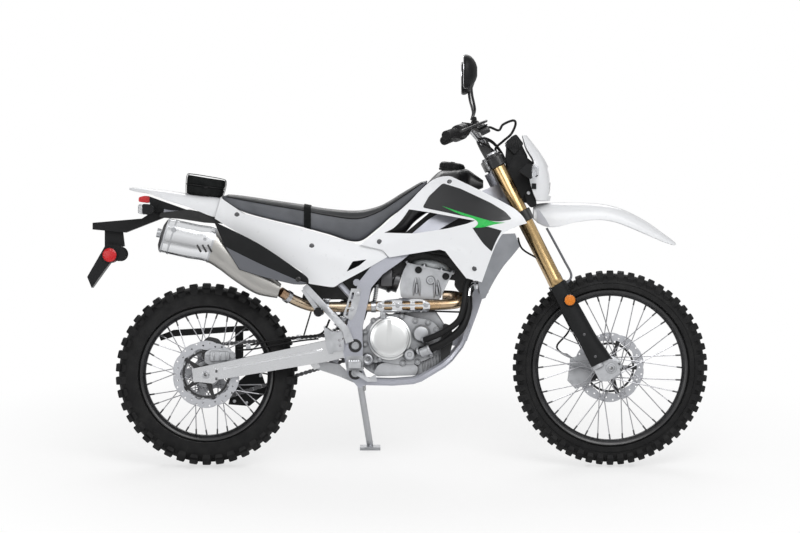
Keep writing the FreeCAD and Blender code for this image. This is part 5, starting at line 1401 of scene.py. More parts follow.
def guard(side, hand):
    """The plastic guard in front of and beside one stanchion, with a rolled edge and its bolts."""
    stations, fronts, backs = (33, 70, 120, 200, 352), (57, 51, 43, 39, 32), (-25, -25, -25, -27, -29)
    with piece("fork_guard_" + hand, "black_plastic", "steering", FORK, 60, nodes=["fork_guards"],
               bevel=0.6, thickness=2.6, angle=60) as mesh:
        inner, outer = side * (FORK_SPACING - 23), side * (FORK_SPACING + 29)
        rows = []
        for step in range(33):
            z = 34 + 317 * step / 32
            front, back = smooth_table(stations, fronts, z), smooth_table(stations, backs, z)
            row = []
            for spot in range(15):
                angle = math.pi / 2 * spot / 14
                row.append((back + (front - back) * math.sin(angle) ** 0.55,
                            inner + (outer - inner) * math.cos(angle) ** 0.55,
                            z - 8 * math.sin(angle) ** 3 * (step < 3) + 4 * math.sin(angle) * (step > 30)))
            rows.append(row)
        bridge(mesh, rows, closed=False)
    with piece("guard_bolts_" + hand, "dark_steel", "steering", FORK) as bolts:
        for z in (62, 150):
            bolt(bolts, (4, outer - side, z), (0, side, 0), 5, 2.5)


def make_clamps():
    """Forged clamps with round bosses about the tubes, split and bolted, and the posts of the bar."""
    for number, (low, high) in enumerate(CLAMPS):
        half = [(-51, 0), (-46, 27), (-36, 60), (-33, 92), (-25, 126), (8, 130), (22, 126), (33, 104),
                (33, 84), (24, 62), (26, 30), (30, 0)]
        outline = rounded([(x, -y) for x, y in half] + [(x, y) for x, y in reversed(half[1:-1])], 12, 4)
        with piece("clamp_%d" % number, "black_paint", "steering", FORK @ UPRIGHT, 30,
                   nodes=["triple_clamps"], bevel=3.2, segments=3, angle=40) as mesh:
            holes = [circle(0, side * FORK_SPACING, 25.1, 40) for side in (1, -1)]
            slab(mesh, outline, low + 0.5, high - 0.5, holes)
        with piece("clamp_bolts_%d" % number, "steel", "steering", FORK) as bolts:
            for side in (1, -1):
                for z in (low + 10, high - 10):
                    bolt(bolts, (-31, side * (FORK_SPACING + 12), z), (-1, 0, 0), 5, 4)
    with piece("tube_collars", "black_paint", "steering", FORK) as mesh:
        for side in (1, -1):
            lathe(mesh, [(25.1, 857), (28.5, 857.6), (28.5, 866), (25.1, 868.4)], 48,
                  Matrix.Translation((0, side * FORK_SPACING, 0)))
    with piece("steering_stem", "steel", "steering", FORK) as mesh:
        round_bar(mesh, (-CLAMP_OFFSET, 0, 640), (-CLAMP_OFFSET, 0, 822), 15, 32)
        bolt(mesh, (-CLAMP_OFFSET, 0, 858), (0, 0, 1), 15, 9, socket=False)
    for side, hand in HANDS:
        with piece("bar_post_" + hand, "black_paint", "steering", FORK, 30, bevel=2.0, angle=40) as mesh:
            outline = rounded([(-27, 857), (7, 857), (9, 906), (8, 936), (-28, 936), (-29, 906)], 7, 4)
            slab(mesh, outline, side * 34 - 11.5, side * 34 + 11.5, [circle(-10, 921, 11.3, 28)])
        with piece("bar_bolts_" + hand, "steel", "steering", FORK) as bolts:
            for x in (-23, 3):
                bolt(bolts, (x, side * 34, 934), (0, 0, 1), 4, 5)


BAR = ((-10, 0, 921), (-10, 70, 921), (-24, 165, 987), (-122, 410, 997))


def bar_line():
    """The handlebar's middle line with its bends, from the right end to the left one."""
    half = [Vector(point) for point in BAR]
    left = [half[1] - Vector((0, 30, 0)), half[1]]
    for share in (0.22, 0.5, 0.78):
        left.append(half[1].lerp(half[2], share))
    left += [half[2], half[2].lerp(half[3], 0.12), half[2].lerp(half[3], 0.5), half[3]]
    mirrored = [Vector((p.x, -p.y, p.z)) for p in left]
    return list(reversed(mirrored)) + [Vector((-10, 0, 921))] + left


def make_handlebar():
    with piece("handlebar_tube", "aluminium", "steering", FORK, 60, nodes=["handlebar"]) as mesh:
        pipe(mesh, bar_line(), 10.9, 24, 8)
    with piece("crossbar", "aluminium", "steering", FORK) as mesh:
        round_bar(mesh, (-17, -108, 955), (-17, 108, 955), 6.8, 20)
        for side in (1, -1):
            round_bar(mesh, (-17, side * 104, 955), (-17, side * 120, 957), 9.5, 24, 2)
    for side, hand in HANDS:
        make_grip(side, hand)


def make_grip(side, hand):
    """Rubber grip with its flange, switch housing, lever with its perch."""
    end = Vector((BAR[3][0], side * BAR[3][1], BAR[3][2]))
    inward = Vector((BAR[2][0], side * BAR[2][1], BAR[2][2]))
    way = (inward - end).normalized()
    place = along(end, inward)
    with piece("grip_" + hand, "rubber", "steering", FORK, 30, nodes=["hand_controls"]) as mesh:
        profile = [(AXIS, -1.2), (7, -1.2), (8, -2.2), (14.5, -2.2), (16.6, 0.5)]
        for rib in range(22):
            profile += [(16.6, 6 + rib * 4.6), (15.6, 7.2 + rib * 4.6), (15.6, 8.6 + rib * 4.6),
                        (16.6, 9.8 + rib * 4.6)]
        profile += [(17, 109), (22, 111), (23, 114), (22, 117), (11, 117)]
        lathe(mesh, profile, 40, place)
    with piece("switch_housing_" + hand, "black_plastic", "steering", FORK) as mesh:
        lathe(mesh, [(11, 118), (21, 118), (23.5, 121), (23.5, 146), (22.6, 147), (22.6, 149), (23.5, 150),
                     (23.5, 182), (20, 186), (18.5, 190), (18.5, 214), (17, 216.5), (11, 216.5)], 40, place)
    with piece("switches_" + hand, "grey_plastic", "steering", FORK) as buttons:
        for offset, size in ((132, 5.5), (152, 4.5), (168, 6)):
            spot = end + way * offset
            out = Vector((-0.85, 0, 0.5)).normalized()
            round_bar(buttons, spot + out * 21, spot + out * 26, size, 20, 1.2)
    root = end + way * 201 + Vector((14, 0, 0))
    with piece("lever_perch_" + hand, "black_paint", "steering", FORK) as mesh:
        block(mesh, root + Vector((-2, -13, -10)), root + Vector((40, 13, 9)), 5)
    with piece("lever_" + hand, "black_paint", "steering", FORK, 60) as mesh:
        tip = Vector((end.x + 54, end.y, end.z - 10))
        pipe(mesh, [root + Vector((34, side * 2, -4)), root + Vector((54, side * 12, -7)),
                    root + Vector((57, side * 60, -8)), Vector((end.x + 62, end.y - side * 60, end.z - 10)),
                    Vector((end.x + 60, end.y - side * 20, end.z - 10)), tip + Vector((0, -side * 4, 0))],
             [6.8, 6.2, 5.6, 5.2, 5.4, 6.4], 16, 8, 0.8)
    with piece("lever_pivot_" + hand, "steel", "steering", FORK) as mesh:
        bolt(mesh, root + Vector((28, 0, 9)), (0, 0, 1), 6, 4)
    if side < 0:
        make_reservoir(end, way)


def make_reservoir(end, way):
    """Brake fluid reservoir with its cover, and the hose that loops over from it."""
    at = end + way * 225 + Vector((50, 0, -30))
    with piece("reservoir", "black_paint", "steering", FORK) as mesh:
        block(mesh, at - Vector((18, 16, 17)), at + Vector((18, 16, 8)), 4)
        round_bar(mesh, end + way * 213 + Vector((18, 0, 0)), at - Vector((12, 0, 0)), 8, 20, 2)
    with piece("reservoir_cover", "black_plastic", "steering", FORK) as mesh:
        block(mesh, at + Vector((-18.5, -16.5, 8.2)), at + Vector((18.5, 16.5, 13.6)), 2)
        for x, y in ((-13, -11), (13, -11), (13, 11), (-13, 11)):
            bolt(mesh, at + Vector((x, y, 13)), (0, 0, 1), 2.2, 0.9)
    loop = [(1040, -150, 1192), (1056, -130, 1213), (1092, -104, 1228), (1101, -84, 1215),
            (1086, -76, 1181), (1058, -72, 1156)]
    points = [at + Vector((4, 0, -2)), at + Vector((22, 2, -2))]
    points += [TO_FORK @ Vector(point) for point in loop]
    with piece("brake_hose_loop", "rubber", "steering", FORK, 60) as mesh:
        pipe(mesh, points + [(21, -61, 882), (20, -60, 859)], 4.4, 16, 8)


def make_mirrors():
    for side, hand in HANDS:
        with piece("mirror_stem_" + hand, "black_paint", "steering", smooth=60) as mesh:
            y = side * 232
            pipe(mesh, [(948, y, 1238), (954, y, 1262), (950, side * 262, 1286), (944, side * 300, 1310),
                        (941, side * 332, 1338), (945, side * 344, 1360)], 4.8, 16, 8)
        with piece("mirror_boot_" + hand, "rubber", "steering", smooth=40) as mesh:
            foot = TO_FORK.inverted() @ Vector((-51, y, 1012))
            profile = [(5.2, 0)]
            for rib in range(6):
                profile += [(11.0 - rib * 0.6, 2 + rib * 6), (9.4 - rib * 0.6, 5 + rib * 6)]
            profile += [(5.2, 40)]
            lathe(mesh, profile, 28, along((953, y, 1198), (954, y, 1238)))
            round_bar(mesh, foot, (954, y, 1208), 6, 20)
        with piece("mirror_shell_" + hand, "black_plastic", "steering", smooth=50,
                   nodes=["mirrors"]) as mesh:
            rings = []
            for x, share in ((913, 0.93), (915, 0.975), (920, 1.0), (928, 0.985), (938, 0.9), (948, 0.74),
                             (956, 0.52), (961, 0.28)):
                rings.append([(x, side * 350 + out, 1393 + up)
                              for out, up in superellipse(65.5 * share, 60.5 * share, 2.7, 40)])
            bridge(mesh, rings)
        with piece("mirror_glass_" + hand, "mirror_glass", "steering", smooth=30) as mesh:
            rings = [[(x, side * 350 + out, 1393 + up)
                      for out, up in superellipse(60 * share, 55 * share, 2.7, 40)]
                     for x, share in ((914, 1.0), (912.4, 1.0), (912.2, 0.97))]
            bridge(mesh, rings)


def make_instrument():
    """The tilted instrument with a bezel, blank screen and buttons."""
    outline = rounded([(1064, 1141), (1098, 1108), (1131, 1146), (1104, 1181), (1085, 1171)], 7, 4)
    with piece("instrument_case", "black_plastic", "steering", nodes=["instrument"], bevel=4, segments=3,
               angle=40) as mesh:
        slab(mesh, outline, -61, 61)
    up = Vector((-0.72, 0, 0.69)).normalized()
    with piece("instrument_screen", "screen", "steering") as mesh:
        face = Matrix.Translation((1074, 0, 1157)) @ Matrix.Rotation(math.radians(-47), 4, "Y")
        block(mesh, (-14, -46, -1.5), (11, 46, 1.2), 1.2, face)
    with piece("instrument_details", "rubber", "steering") as mesh:
        for y in (-52, 52):
            round_bar(mesh, Vector((1074, y, 1156)) - up, Vector((1074, y, 1156)) + up * 2.5, 3.5, 16, 0.8)
        for side in (-1, 1):
            for rib in range(5):
                block(mesh, (1078 + rib * 8, side * 61.2 - 0.6, 1128),
                      (1082 + rib * 8, side * 61.2 + 0.6, 1160), 0.5)
    with piece("lamp_bracket", "black_plastic", "steering", bevel=2, angle=40) as mesh:
        slab(mesh, rounded([(1070, 1144), (1098, 1124), (1122, 1148), (1146, 1100), (1136, 1062),
                            (1092, 1050), (1066, 1084)], 8), -46, 46)
        for side in (-1, 1):
            slab(mesh, rounded([(1086, 1046), (1116, 1062), (1150, 1010), (1172, 952), (1178, 928),
                                (1160, 918), (1140, 940), (1128, 986), (1104, 1016)], 8),
                 *across(side, 63, 68))
    with piece("bracket_bolts", "steel", "steering") as mesh:
        for side in (-1, 1):
            bolt(mesh, (1147, side * 68, 971), (0, side, 0), 6.5, 4)
            bolt(mesh, (1132, side * 68, 1024), (0, side, 0), 4, 3)
    for number, route in enumerate((
            ((968, -120, 1158), (992, -96, 1166), (1024, -74, 1150), (1056, -60, 1108), (1078, -56, 1052)),
            ((966, -96, 1150), (990, -84, 1146), (1020, -70, 1124), (1050, -62, 1088), (1070, -58, 1036)),
            ((966, 110, 1156), (994, 92, 1164), (1028, 72, 1146), (1060, 58, 1100), (1080, 54, 1050)))):
        with piece("bar_cable_%d" % number, "rubber", "steering", smooth=60) as mesh:
            pipe(mesh, route, 3.4, 12, 7)


def make_headlamp():
    """Housing and arms, reflector bowl and lamp behind a clear lens, and the shield with its opening."""
    trimmed("headlamp", "black_plastic", [((1181, 0, 1000), (1, 0, 0))], "headlamp_housing", 4.5)
    with piece("headlamp_lens", "clear_lens", "steering", smooth=40) as mesh:
        rings = []
        for x, share in ((1219, 0.86), (1217, 0.93), (1210, 0.98), (1196, 1.0), (1179, 1.0)):
            rings.append([(x - 5 * (up / 48) - 3 * (out / 60) ** 2, out, LAMP_HEIGHT + up)
                          for out, up in superellipse(63 * share, 48 * share, 4.5, 48)])
        inner = [[(x - 3.5, y * 0.95, LAMP_HEIGHT + (z - LAMP_HEIGHT) * 0.95) for x, y, z in ring]
                 for ring in reversed(rings)]
        cap = [[(x, y * share, LAMP_HEIGHT + (z - LAMP_HEIGHT) * share) for x, y, z in rings[0]]
               for share in (0.06, 0.4, 0.75)]
        bulge = [[(x + 4 * (1 - (i / 3) ** 2), y, z) for x, y, z in ring] for i, ring in enumerate(cap)]
        back = [[(x - 3, y, z) for x, y, z in ring] for ring in reversed(bulge)]
        bridge(mesh, bulge + rings + inner + back)
    with piece("headlamp_reflector", "chrome", "steering", smooth=50, thickness=1.0) as mesh:
        bowl = [(30, 0), (27, 5), (20, 12), (12, 17), (8, 19)]
        bridge(mesh, [[(1182 + (20 - depth) * 0.9, out, LAMP_HEIGHT + up)
                       for out, up in superellipse(size * 1.9, size * 1.45, 3.0, 40)]
                      for size, depth in bowl], caps=False)
    with piece("headlamp_bulb", "aluminium", "steering") as mesh:
        round_bar(mesh, (1183, 0, LAMP_HEIGHT), (1200, 0, LAMP_HEIGHT), 8, 24, 2)
        round_bar(mesh, (1200, 0, LAMP_HEIGHT), (1203, 0, LAMP_HEIGHT), 12, 24, 1)
    make_mask()


MASK_ROWS = ((942, 1226, 1176, 90), (980, 1234, 1160, 108), (1030, 1232, 1150, 117),
             (1080, 1213, 1166, 107), (1131, 1180, 1140, 83), (1178, 1143, 1126, 54))


def make_mask():
    """The white shield: a curved shell with a rounded opening for the lens and a raised rib."""
    heights = [row[0] for row in MASK_ROWS]
    mesh = bmesh.new()
    rows = []
    for step in range(45):
        z = heights[0] + 1 + (heights[-1] - heights[0] - 2) * step / 44
        front, back, width = (smooth_table(heights, [row[i] for row in MASK_ROWS], z) for i in (1, 2, 3))
        row = []
        for spot in range(41):
            angle = math.pi * (spot / 40 - 0.5)
            y = math.copysign(abs(math.sin(angle)) ** 0.86, angle) * (width - 1)
            x = back + (front - 1 - back) * math.cos(angle) ** 0.8
            x -= 2.0 * math.exp(-((abs(y) - width * 0.62) / 7) ** 2)
            row.append((x, y, z))
        rows.append(row)
    bridge(mesh, rows, closed=False)
    thing = kept("headlamp_shield", mesh, "white_plastic", "steering", smooth=60, nodes=["headlamp_mask"])
    with_modifiers(thing, thickness=3.2)
    cutter = bmesh.new()
    slab(cutter, rounded([(-67, 960), (67, 960), (62, 1064), (-62, 1064)], 16, 5), -1300, -1100)
    bmesh.ops.transform(cutter, matrix=BIKE @ Matrix.Rotation(math.pi / 2, 4, "Z"), verts=cutter.verts)
    bmesh.ops.recalc_face_normals(cutter, faces=cutter.faces)
    knife = linked("cutter", mesh_data("cutter", cutter))
    opening = thing.modifiers.new("opening", "BOOLEAN")
    opening.object = knife
    opening.operation = "DIFFERENCE"
    opening.solver = "EXACT"
    result = baked(thing)
    thing.modifiers.clear()
    thing.data = result
    bpy.data.objects.remove(knife)
    softened(thing, 40)
    with_modifiers(thing, 0.7, 2, angle=50)


def make_front_lights():
    for side, hand in HANDS:
        with piece("indicator_stalk_" + hand, "rubber", "steering", smooth=50) as mesh:
            pipe(mesh, [(1128, side * 72.9, 1042), (1128, side * 96, 1042), (1129, side * 120, 1043)],
                 [8.4, 7.0, 8.6], 20, 8)
        with piece("indicator_body_" + hand, "black_plastic", "steering", nodes=["front_indicators"],
                   bevel=5, segments=3, angle=40) as body:
            outline = rounded([(1109, 1046), (1146, 1021), (1157, 1019), (1157, 1072), (1141, 1073)], 8, 4)
            slab(body, outline, *across(side, 119, 175))
        with piece("indicator_lens_" + hand, "clear_lens", "steering", bevel=5, segments=3,
                   angle=40) as glass:
            outline = rounded([(1157.6, 1020), (1172, 1024), (1182, 1033), (1182, 1062), (1172, 1070),
                               (1157.6, 1072)], 9, 4)
            slab(glass, outline, *across(side, 120, 174))
        for name, finish, profile in (
                ("reflector_ring_", "black_plastic",
                 [(19.5, 0.3), (21.8, 0.5), (21.8, 6.5), (19.5, 7.4)]),
                ("reflector_", "amber_lens",
                 [(AXIS, 7.2), (12, 6.9), (19, 5.4), (19.4, 0.6), (AXIS, 0.6)])):
            with piece(name + hand, finish, "steering") as mesh:
                spot = Vector((1293, side * (FORK_SPACING + 30), 590))
                lathe(mesh, profile, 48, along(spot, spot + Vector((0, side, 0))))


HOSE = ((1310, 64, 378), (1252, 64, 420), (1301, 64, 500), (1268, 64, 670), (1201, 64, 727),
        (1130, 44, 770), (1112, 30, 812))


def make_front_brake():
    trimmed("front_brake", "cast_alloy", [((1300, 60, 398), (0, 0, 1))], "front_caliper", 2.2)
    with piece("front_brake_hose", "rubber", "steering", smooth=60) as mesh:
        pipe(mesh, HOSE, 3.4, 14, 8)
    with piece("front_caliper_bolts", "steel", "steering") as mesh:
        for x, z in ((1318, 300), (1346, 372), (1366, 330)):
            bolt(mesh, (x, 75, z), (0, 1, 0), 7, 4, socket=False)
        round_bar(mesh, (1310, 56, 378), (1310, 74, 378), 7, 20)
    for side, hand in HANDS:
        with piece("front_axle_end_" + hand, "steel", "steering", FRONT_AXLE) as mesh:
            lathe(mesh, [(6.2, 122), (8.8, 122), (8.8, 119), (15, 118.6), (16, 117), (16, 112), (9.2, 112),
                         (6.2, 112)], 32, ABOUT_Y @ Matrix.Rotation(math.pi * (side < 0), 4, "X"))
    refined("front_axle", "steel", 0.6)


# Frame, swingarm and what they carry

def make_frame():
    refined("frame", "frame_paint", 2.2, 3, 26)
    refined("pivot_bolts", "steel", 0.8)
    for name, finish, smooth, profile in (
            ("pivot_rings", "black_paint", 35,
             [(14.6, 0), (23.5, 0), (23.5, 2.2), (22, 4.0), (15.4, 4.2), (14.6, 3.4)]),
            ("pivot_caps", "steel", 30,
             [(AXIS, 4.4), (6, 4.4), (6.6, 6.0), (12.4, 6.0), (13.8, 4.8), (14.2, 0), (AXIS, 0)])):
        with piece(name, finish, smooth=smooth) as mesh:
            for side in (-1, 1):
                for x, z in ((531, 428), (531, 331)):
                    lathe(mesh, profile, 40, facing(x, side * 139.2, z, side))
    with piece("heel_plate_bolts", "cast_alloy", smooth=30) as mesh:
        for x, z in ((540, 612), (520, 560)):
            for side in (-1, 1):
                lathe(mesh, [(AXIS, 1.6), (6.5, 1.6), (7.6, 1.1), (8.6, -0.6), (AXIS, -0.6)], 28,
                      facing(x, side * 143, z, side))


def make_swingarm():
    """Polished arms with a pressed line along them, axle blocks, adjusters and axle ends."""
    refined("swingarm", "swing_alloy", 4.0, 3, 24)
    for side, hand in HANDS:
        face = side * 112.2
        with piece("arm_line_" + hand, "swing_alloy", smooth=60) as mesh:
            rows = []
            for step in range(25):
                x = 62 + 352 * step / 24
                middle = 338 + (408 - 338) * (x - 60) / 370 + 8
                depth = 1.9 * min(1, (x - 62) / 14, (414 - x) / 14)
                rows.append([(x, face - side * 0.6, middle - 5.5), (x, face + side * depth, middle - 2.4),
                             (x, face + side * depth, middle + 2.4), (x, face - side * 0.6, middle + 5.5)])
            bridge(mesh, rows)
        with piece("rear_axle_nut_" + hand, "steel", smooth=30) as mesh:
            lathe(mesh, [(6.2, 9), (10, 9), (11, 8), (11, 3), (15, 2.4), (15, 0), (6.2, 0)],
                  6 if side > 0 else 36, facing(0, side * 117.3, REAR_AXLE_HEIGHT, side))
        with piece("adjuster_marks_" + hand, "dark_steel") as mesh:
            block(mesh, (34, side * 117.6 - 1.6, 305), (42, side * 117.6 + 1.6, 315), 1)
            block(mesh, (34, side * 117.6 - 1.6, 332), (42, side * 117.6 + 1.6, 342), 1)
            round_bar(mesh, (44, side * 106, 325), (78, side * 106, 332), 4, 16)
    refined("rear_axle", "steel", 0.6)


def make_shock():
    """Spring as a true coil around the damper, and the reservoir that shows behind the beam."""
    foot, top = Vector((446, 0, 346)), Vector((536, 0, 652))
    way = (top - foot).normalized()
    place = along(foot, top)
    refined("shock", "steel", 1.0)
    points = []
    coils, start, length = 7.5, 46, 196
    for step in range(int(coils * 20) + 1):
        angle = 2 * math.pi * step / 20
        rise = start + length * step / (coils * 20)
        points.append(place @ Vector((*polar(33.0, angle), rise)))
    with piece("spring", "chrome", smooth=60) as mesh:
        pipe(mesh, points, 5.6, 12, 1)
    with piece("spring_seats", "dark_steel") as mesh:
        for rise in (40, 244):
            lathe(mesh, [(17, 0), (38, 0), (39.5, 2), (39.5, 5), (38, 7), (17, 7)], 40,
                  along(foot + way * rise, foot + way * (rise + 10)))


def chain_loop():
    """Middle line of the chain: two straight runs and the arcs round both sprockets."""
    rear, front = Vector((0, REAR_AXLE_HEIGHT)), Vector(COUNTERSHAFT)
    way = front - rear
    lean = math.atan2(way.y, way.x)
    open_angle = math.acos((REAR_SPROCKET_RADIUS - FRONT_SPROCKET_RADIUS) / way.length)
    high, low = lean + open_angle, lean - open_angle
    line = []
    for step in range(13):
        angle = low + (high - low) * step / 12
        line.append(front + Vector((math.cos(angle), math.sin(angle))) * FRONT_SPROCKET_RADIUS)
    for step in range(1, 14):
        run = rear + Vector((math.cos(high), math.sin(high))) * REAR_SPROCKET_RADIUS
        line.append(line[12].lerp(run, step / 14))
    for step in range(41):
        angle = high + (2 * math.pi - high + low) * step / 40
        line.append(rear + Vector((math.cos(angle), math.sin(angle))) * REAR_SPROCKET_RADIUS)
    last = line[-1].copy()
    for step in range(1, 14):
        line.append(last.lerp(line[0], step / 14))
    return [(spot.x, CHAIN_SIDE, spot.y) for spot in line]


def link_plates(outer):
    """Two waisted side plates, with rollers or pin ends, about the middle of one link."""
    mesh = bmesh.new()
    half, reach = CHAIN_PITCH / 2, 7.4
    y, thick = (6.2, 1.8) if outer else (4.2, 1.8)
    outline = []
    for end in (1, -1):
        for step in range(7):
            angle = math.pi * (step / 6 - 0.5) + (math.pi if end < 0 else 0)
            outline.append((end * half + reach * math.cos(angle), reach * math.sin(angle)))
        outline.append((0, end * 5.2))
    for side in (1, -1):
        slab(mesh, outline, side * y - thick / 2, side * y + thick / 2)
    for end in (1, -1):
        profile = [(3.4, -7.6), (3.4, 7.6)] if outer else [(5.1, -3.3), (5.1, 3.3)]
        round_bar(mesh, (end * half, profile[0][1], 0), (end * half, profile[1][1], 0), profile[0][0], 8,
                  0.5)
    return mesh


def path_from(name, line, lead):
    """A closed path object along a line, started some way along it."""
    while lead > 0:
        step = (Vector(line[1]) - Vector(line[0])).length
        if step > lead:
            line = [tuple(Vector(line[0]).lerp(Vector(line[1]), lead / step))] + line[1:] + [line[0]]
            lead = 0
        else:
            line = line[1:] + line[:1]
            lead -= step
    curve = bpy.data.curves.new(name, "CURVE")
    curve.dimensions = "3D"
    spline = curve.splines.new("POLY")
    spline.points.add(len(line) - 1)
    for point, spot in zip(spline.points, line):
        point.co = (*spot, 1)
    spline.use_cyclic_u = True
    return linked(name, curve)


def make_chain():
    """Outer and inner links by turns along the loop."""
    line = chain_loop()
    total = sum((Vector(a) - Vector(b)).length for a, b in zip(line, line[1:] + line[:1]))
    pairs = round(total / CHAIN_PITCH / 2)
    for number, (name, finish) in enumerate((("outer_links", "dark_steel"),
                                             ("inner_links", "spoke_steel"))):
        path = path_from(name + "_path", line, number * total / pairs / 2)
        repeated(name, link_plates(not number), LINE, finish, "chassis", BIKE, ["chain"], Path=path,
                 Count=pairs)
        bpy.data.objects.remove(path)


def make_sprocket():
    """Toothed ring with its windows, bolted to the hub."""
    teeth, root, tip = 40, 96, 104
    outline = []
    for tooth in range(teeth):
        for share, radius in ((-0.32, root - 3), (-0.15, root + 1), (-0.07, tip - 1.5), (0.07, tip - 1.5),
                              (0.15, root + 1), (0.32, root - 3)):
            outline.append(polar(radius, 2 * math.pi * (tooth + share) / teeth))
    ring = [(77, -0.42), (78, -0.14), (78, 0.14), (77, 0.42), (60, 0.34), (59, 0), (60, -0.34)]
    windows = [rounded([polar(r, middle + a) for r, a in ring], 6, 2) for middle in turns(5)]
    with piece("sprocket", "steel", "rear_wheel", REAR_AXLE, 30, nodes=["rear_sprocket"], bevel=0.5,
               segments=1, angle=40) as mesh:
        slab(mesh, outline, 69.6, 74.4, windows + [circle(0, 0, 34, 40)])
    with piece("sprocket_carrier", "cast_alloy", "rear_wheel", REAR_AXLE) as mesh:
        lathe(mesh, [(34, 42), (50, 42), (52, 44), (52, 68), (49, 69.4), (34, 69.4)], 48, ABOUT_Y)
        for angle in turns(5, 0.5):
            x, z = polar(44, angle)
            bolt(mesh, (x, 74.4, z), (0, 1, 0), 6, 5, socket=False)


def make_chain_covers():
    refined("chain_guard", "black_plastic", 2.0, 2, 30)
    with piece("chain_guide_bolts", "steel") as mesh:
        for x, z in ((96, 226), (140, 220), (190, 318)):
            bolt(mesh, (x, 90, z), (0, 1, 0), 6, 3)
            bolt(mesh, (x, 84, z), (0, -1, 0), 6, 3)


def make_rear_brake():
    with piece("rear_brake_bracket", "black_paint", smooth=30, nodes=["rear_brake"], bevel=2.0,
               angle=35) as mesh:
        slab(mesh, rounded([(-16, 388), (6, 352), (34, 352), (60, 372), (66, 420), (44, 452), (6, 460),
                            (-14, 440)], 10, 4),
             -58, -49, [rounded([(2, 410), (24, 402), (30, 428), (8, 440)], 5)])
    with piece("rear_caliper", "cast_alloy", smooth=30, bevel=1.4, angle=35) as mesh:
        slab(mesh, rounded([(-6, 368), (18, 356), (84, 366), (106, 384), (104, 402), (84, 414), (20, 416),
                            (-4, 404)], 9, 4), -82, -71)
        slab(mesh, rounded([(14, 372), (82, 376), (84, 404), (16, 408)], 8), -86, -76)
        slab(mesh, rounded([(-2, 372), (18, 360), (84, 370), (98, 386), (84, 410), (20, 412)], 9, 4), -58,
             -48)
        block(mesh, (8, -80, 405), (88, -50, 416), 3)
        for x in (28, 50, 72):
            block(mesh, (x - 2, -88, 376), (x + 2, -85, 404), 1)
    with piece("rear_caliper_bolts", "steel") as mesh:
        for x, z in ((4, 386), (94, 392)):
            bolt(mesh, (x, -82, z), (0, -1, 0), 7, 5, socket=False)
    with piece("rear_brake_hose", "rubber", smooth=60) as mesh:
        pipe(mesh, [(108, -66, 424), (150, -72, 428), (230, -74, 444), (330, -80, 458), (410, -92, 470),
                    (440, -112, 520)], 3.6, 14, 8)
        pipe(mesh, [(112, -60, 412), (160, -66, 414), (240, -68, 428), (330, -72, 444), (400, -84, 452)],
             3.0, 12, 8)
    with piece("hose_clips", "steel") as mesh:
        for x, z in ((150, 425), (330, 458)):
            block(mesh, (x - 8, -80, z - 10), (x + 8, -66, z + 8), 2)


def make_stand():
    refined("side_stand", "steel", 1.5, 2, 28)
    with piece("stand_spring", "dark_steel", "side_stand", smooth=60) as mesh:
        start, end = Vector((556, 168, 330)), Vector((562, 182, 262))
        place = along(start, end)
        points = []
        length = (end - start).length
        for step in range(14 * 10 + 1):
            angle = 2 * math.pi * step / 10
            points.append(place @ Vector((*polar(5.2, angle), length * step / 140)))
        pipe(mesh, points, 1.2, 6, 1)


def make_foot_controls():
    refined("foot_controls", "cast_alloy", 1.2, 2, 28)
    with piece("peg_teeth", "steel", smooth=30) as mesh:
        for side in (-1, 1):
            for x in range(511, 551, 8):
                for near in (168, 186, 204, 222, 240, 256):
                    tooth = Vector((x, side * near, 374))
                    square = ((-1, -1), (1, -1), (1, 1), (-1, 1))
                    bridge(mesh, [[tooth + Vector((x_sign * half, y_sign * half, rise))
                                   for x_sign, y_sign in square] for half, rise in ((3, -1), (1, 4))])
    with piece("passenger_rubbers", "rubber") as mesh:
        for side in (-1, 1):
            place = along((401, side * 150, 548), (401, side * 228, 548))
            profile = [(AXIS, 0), (13, 0)]
            for rib in range(9):
                profile += [(16.5, 3 + rib * 8), (16.5, 8 + rib * 8), (14, 9 + rib * 8), (14, 11 + rib * 8)]
            profile += [(16, 75), (13, 78), (AXIS, 78)]
            lathe(mesh, profile, 28, place)


# Engine, exhaust and cooling

CLUTCH = (652.8, 453.8)
PUMP = (765.7, 470.2)


def bolts_at(name, spots, y, side, radius):
    with piece(name, "steel") as mesh:
        for x, z in spots:
            bolt(mesh, (x, y, z), (0, side, 0), radius, radius * 0.8)


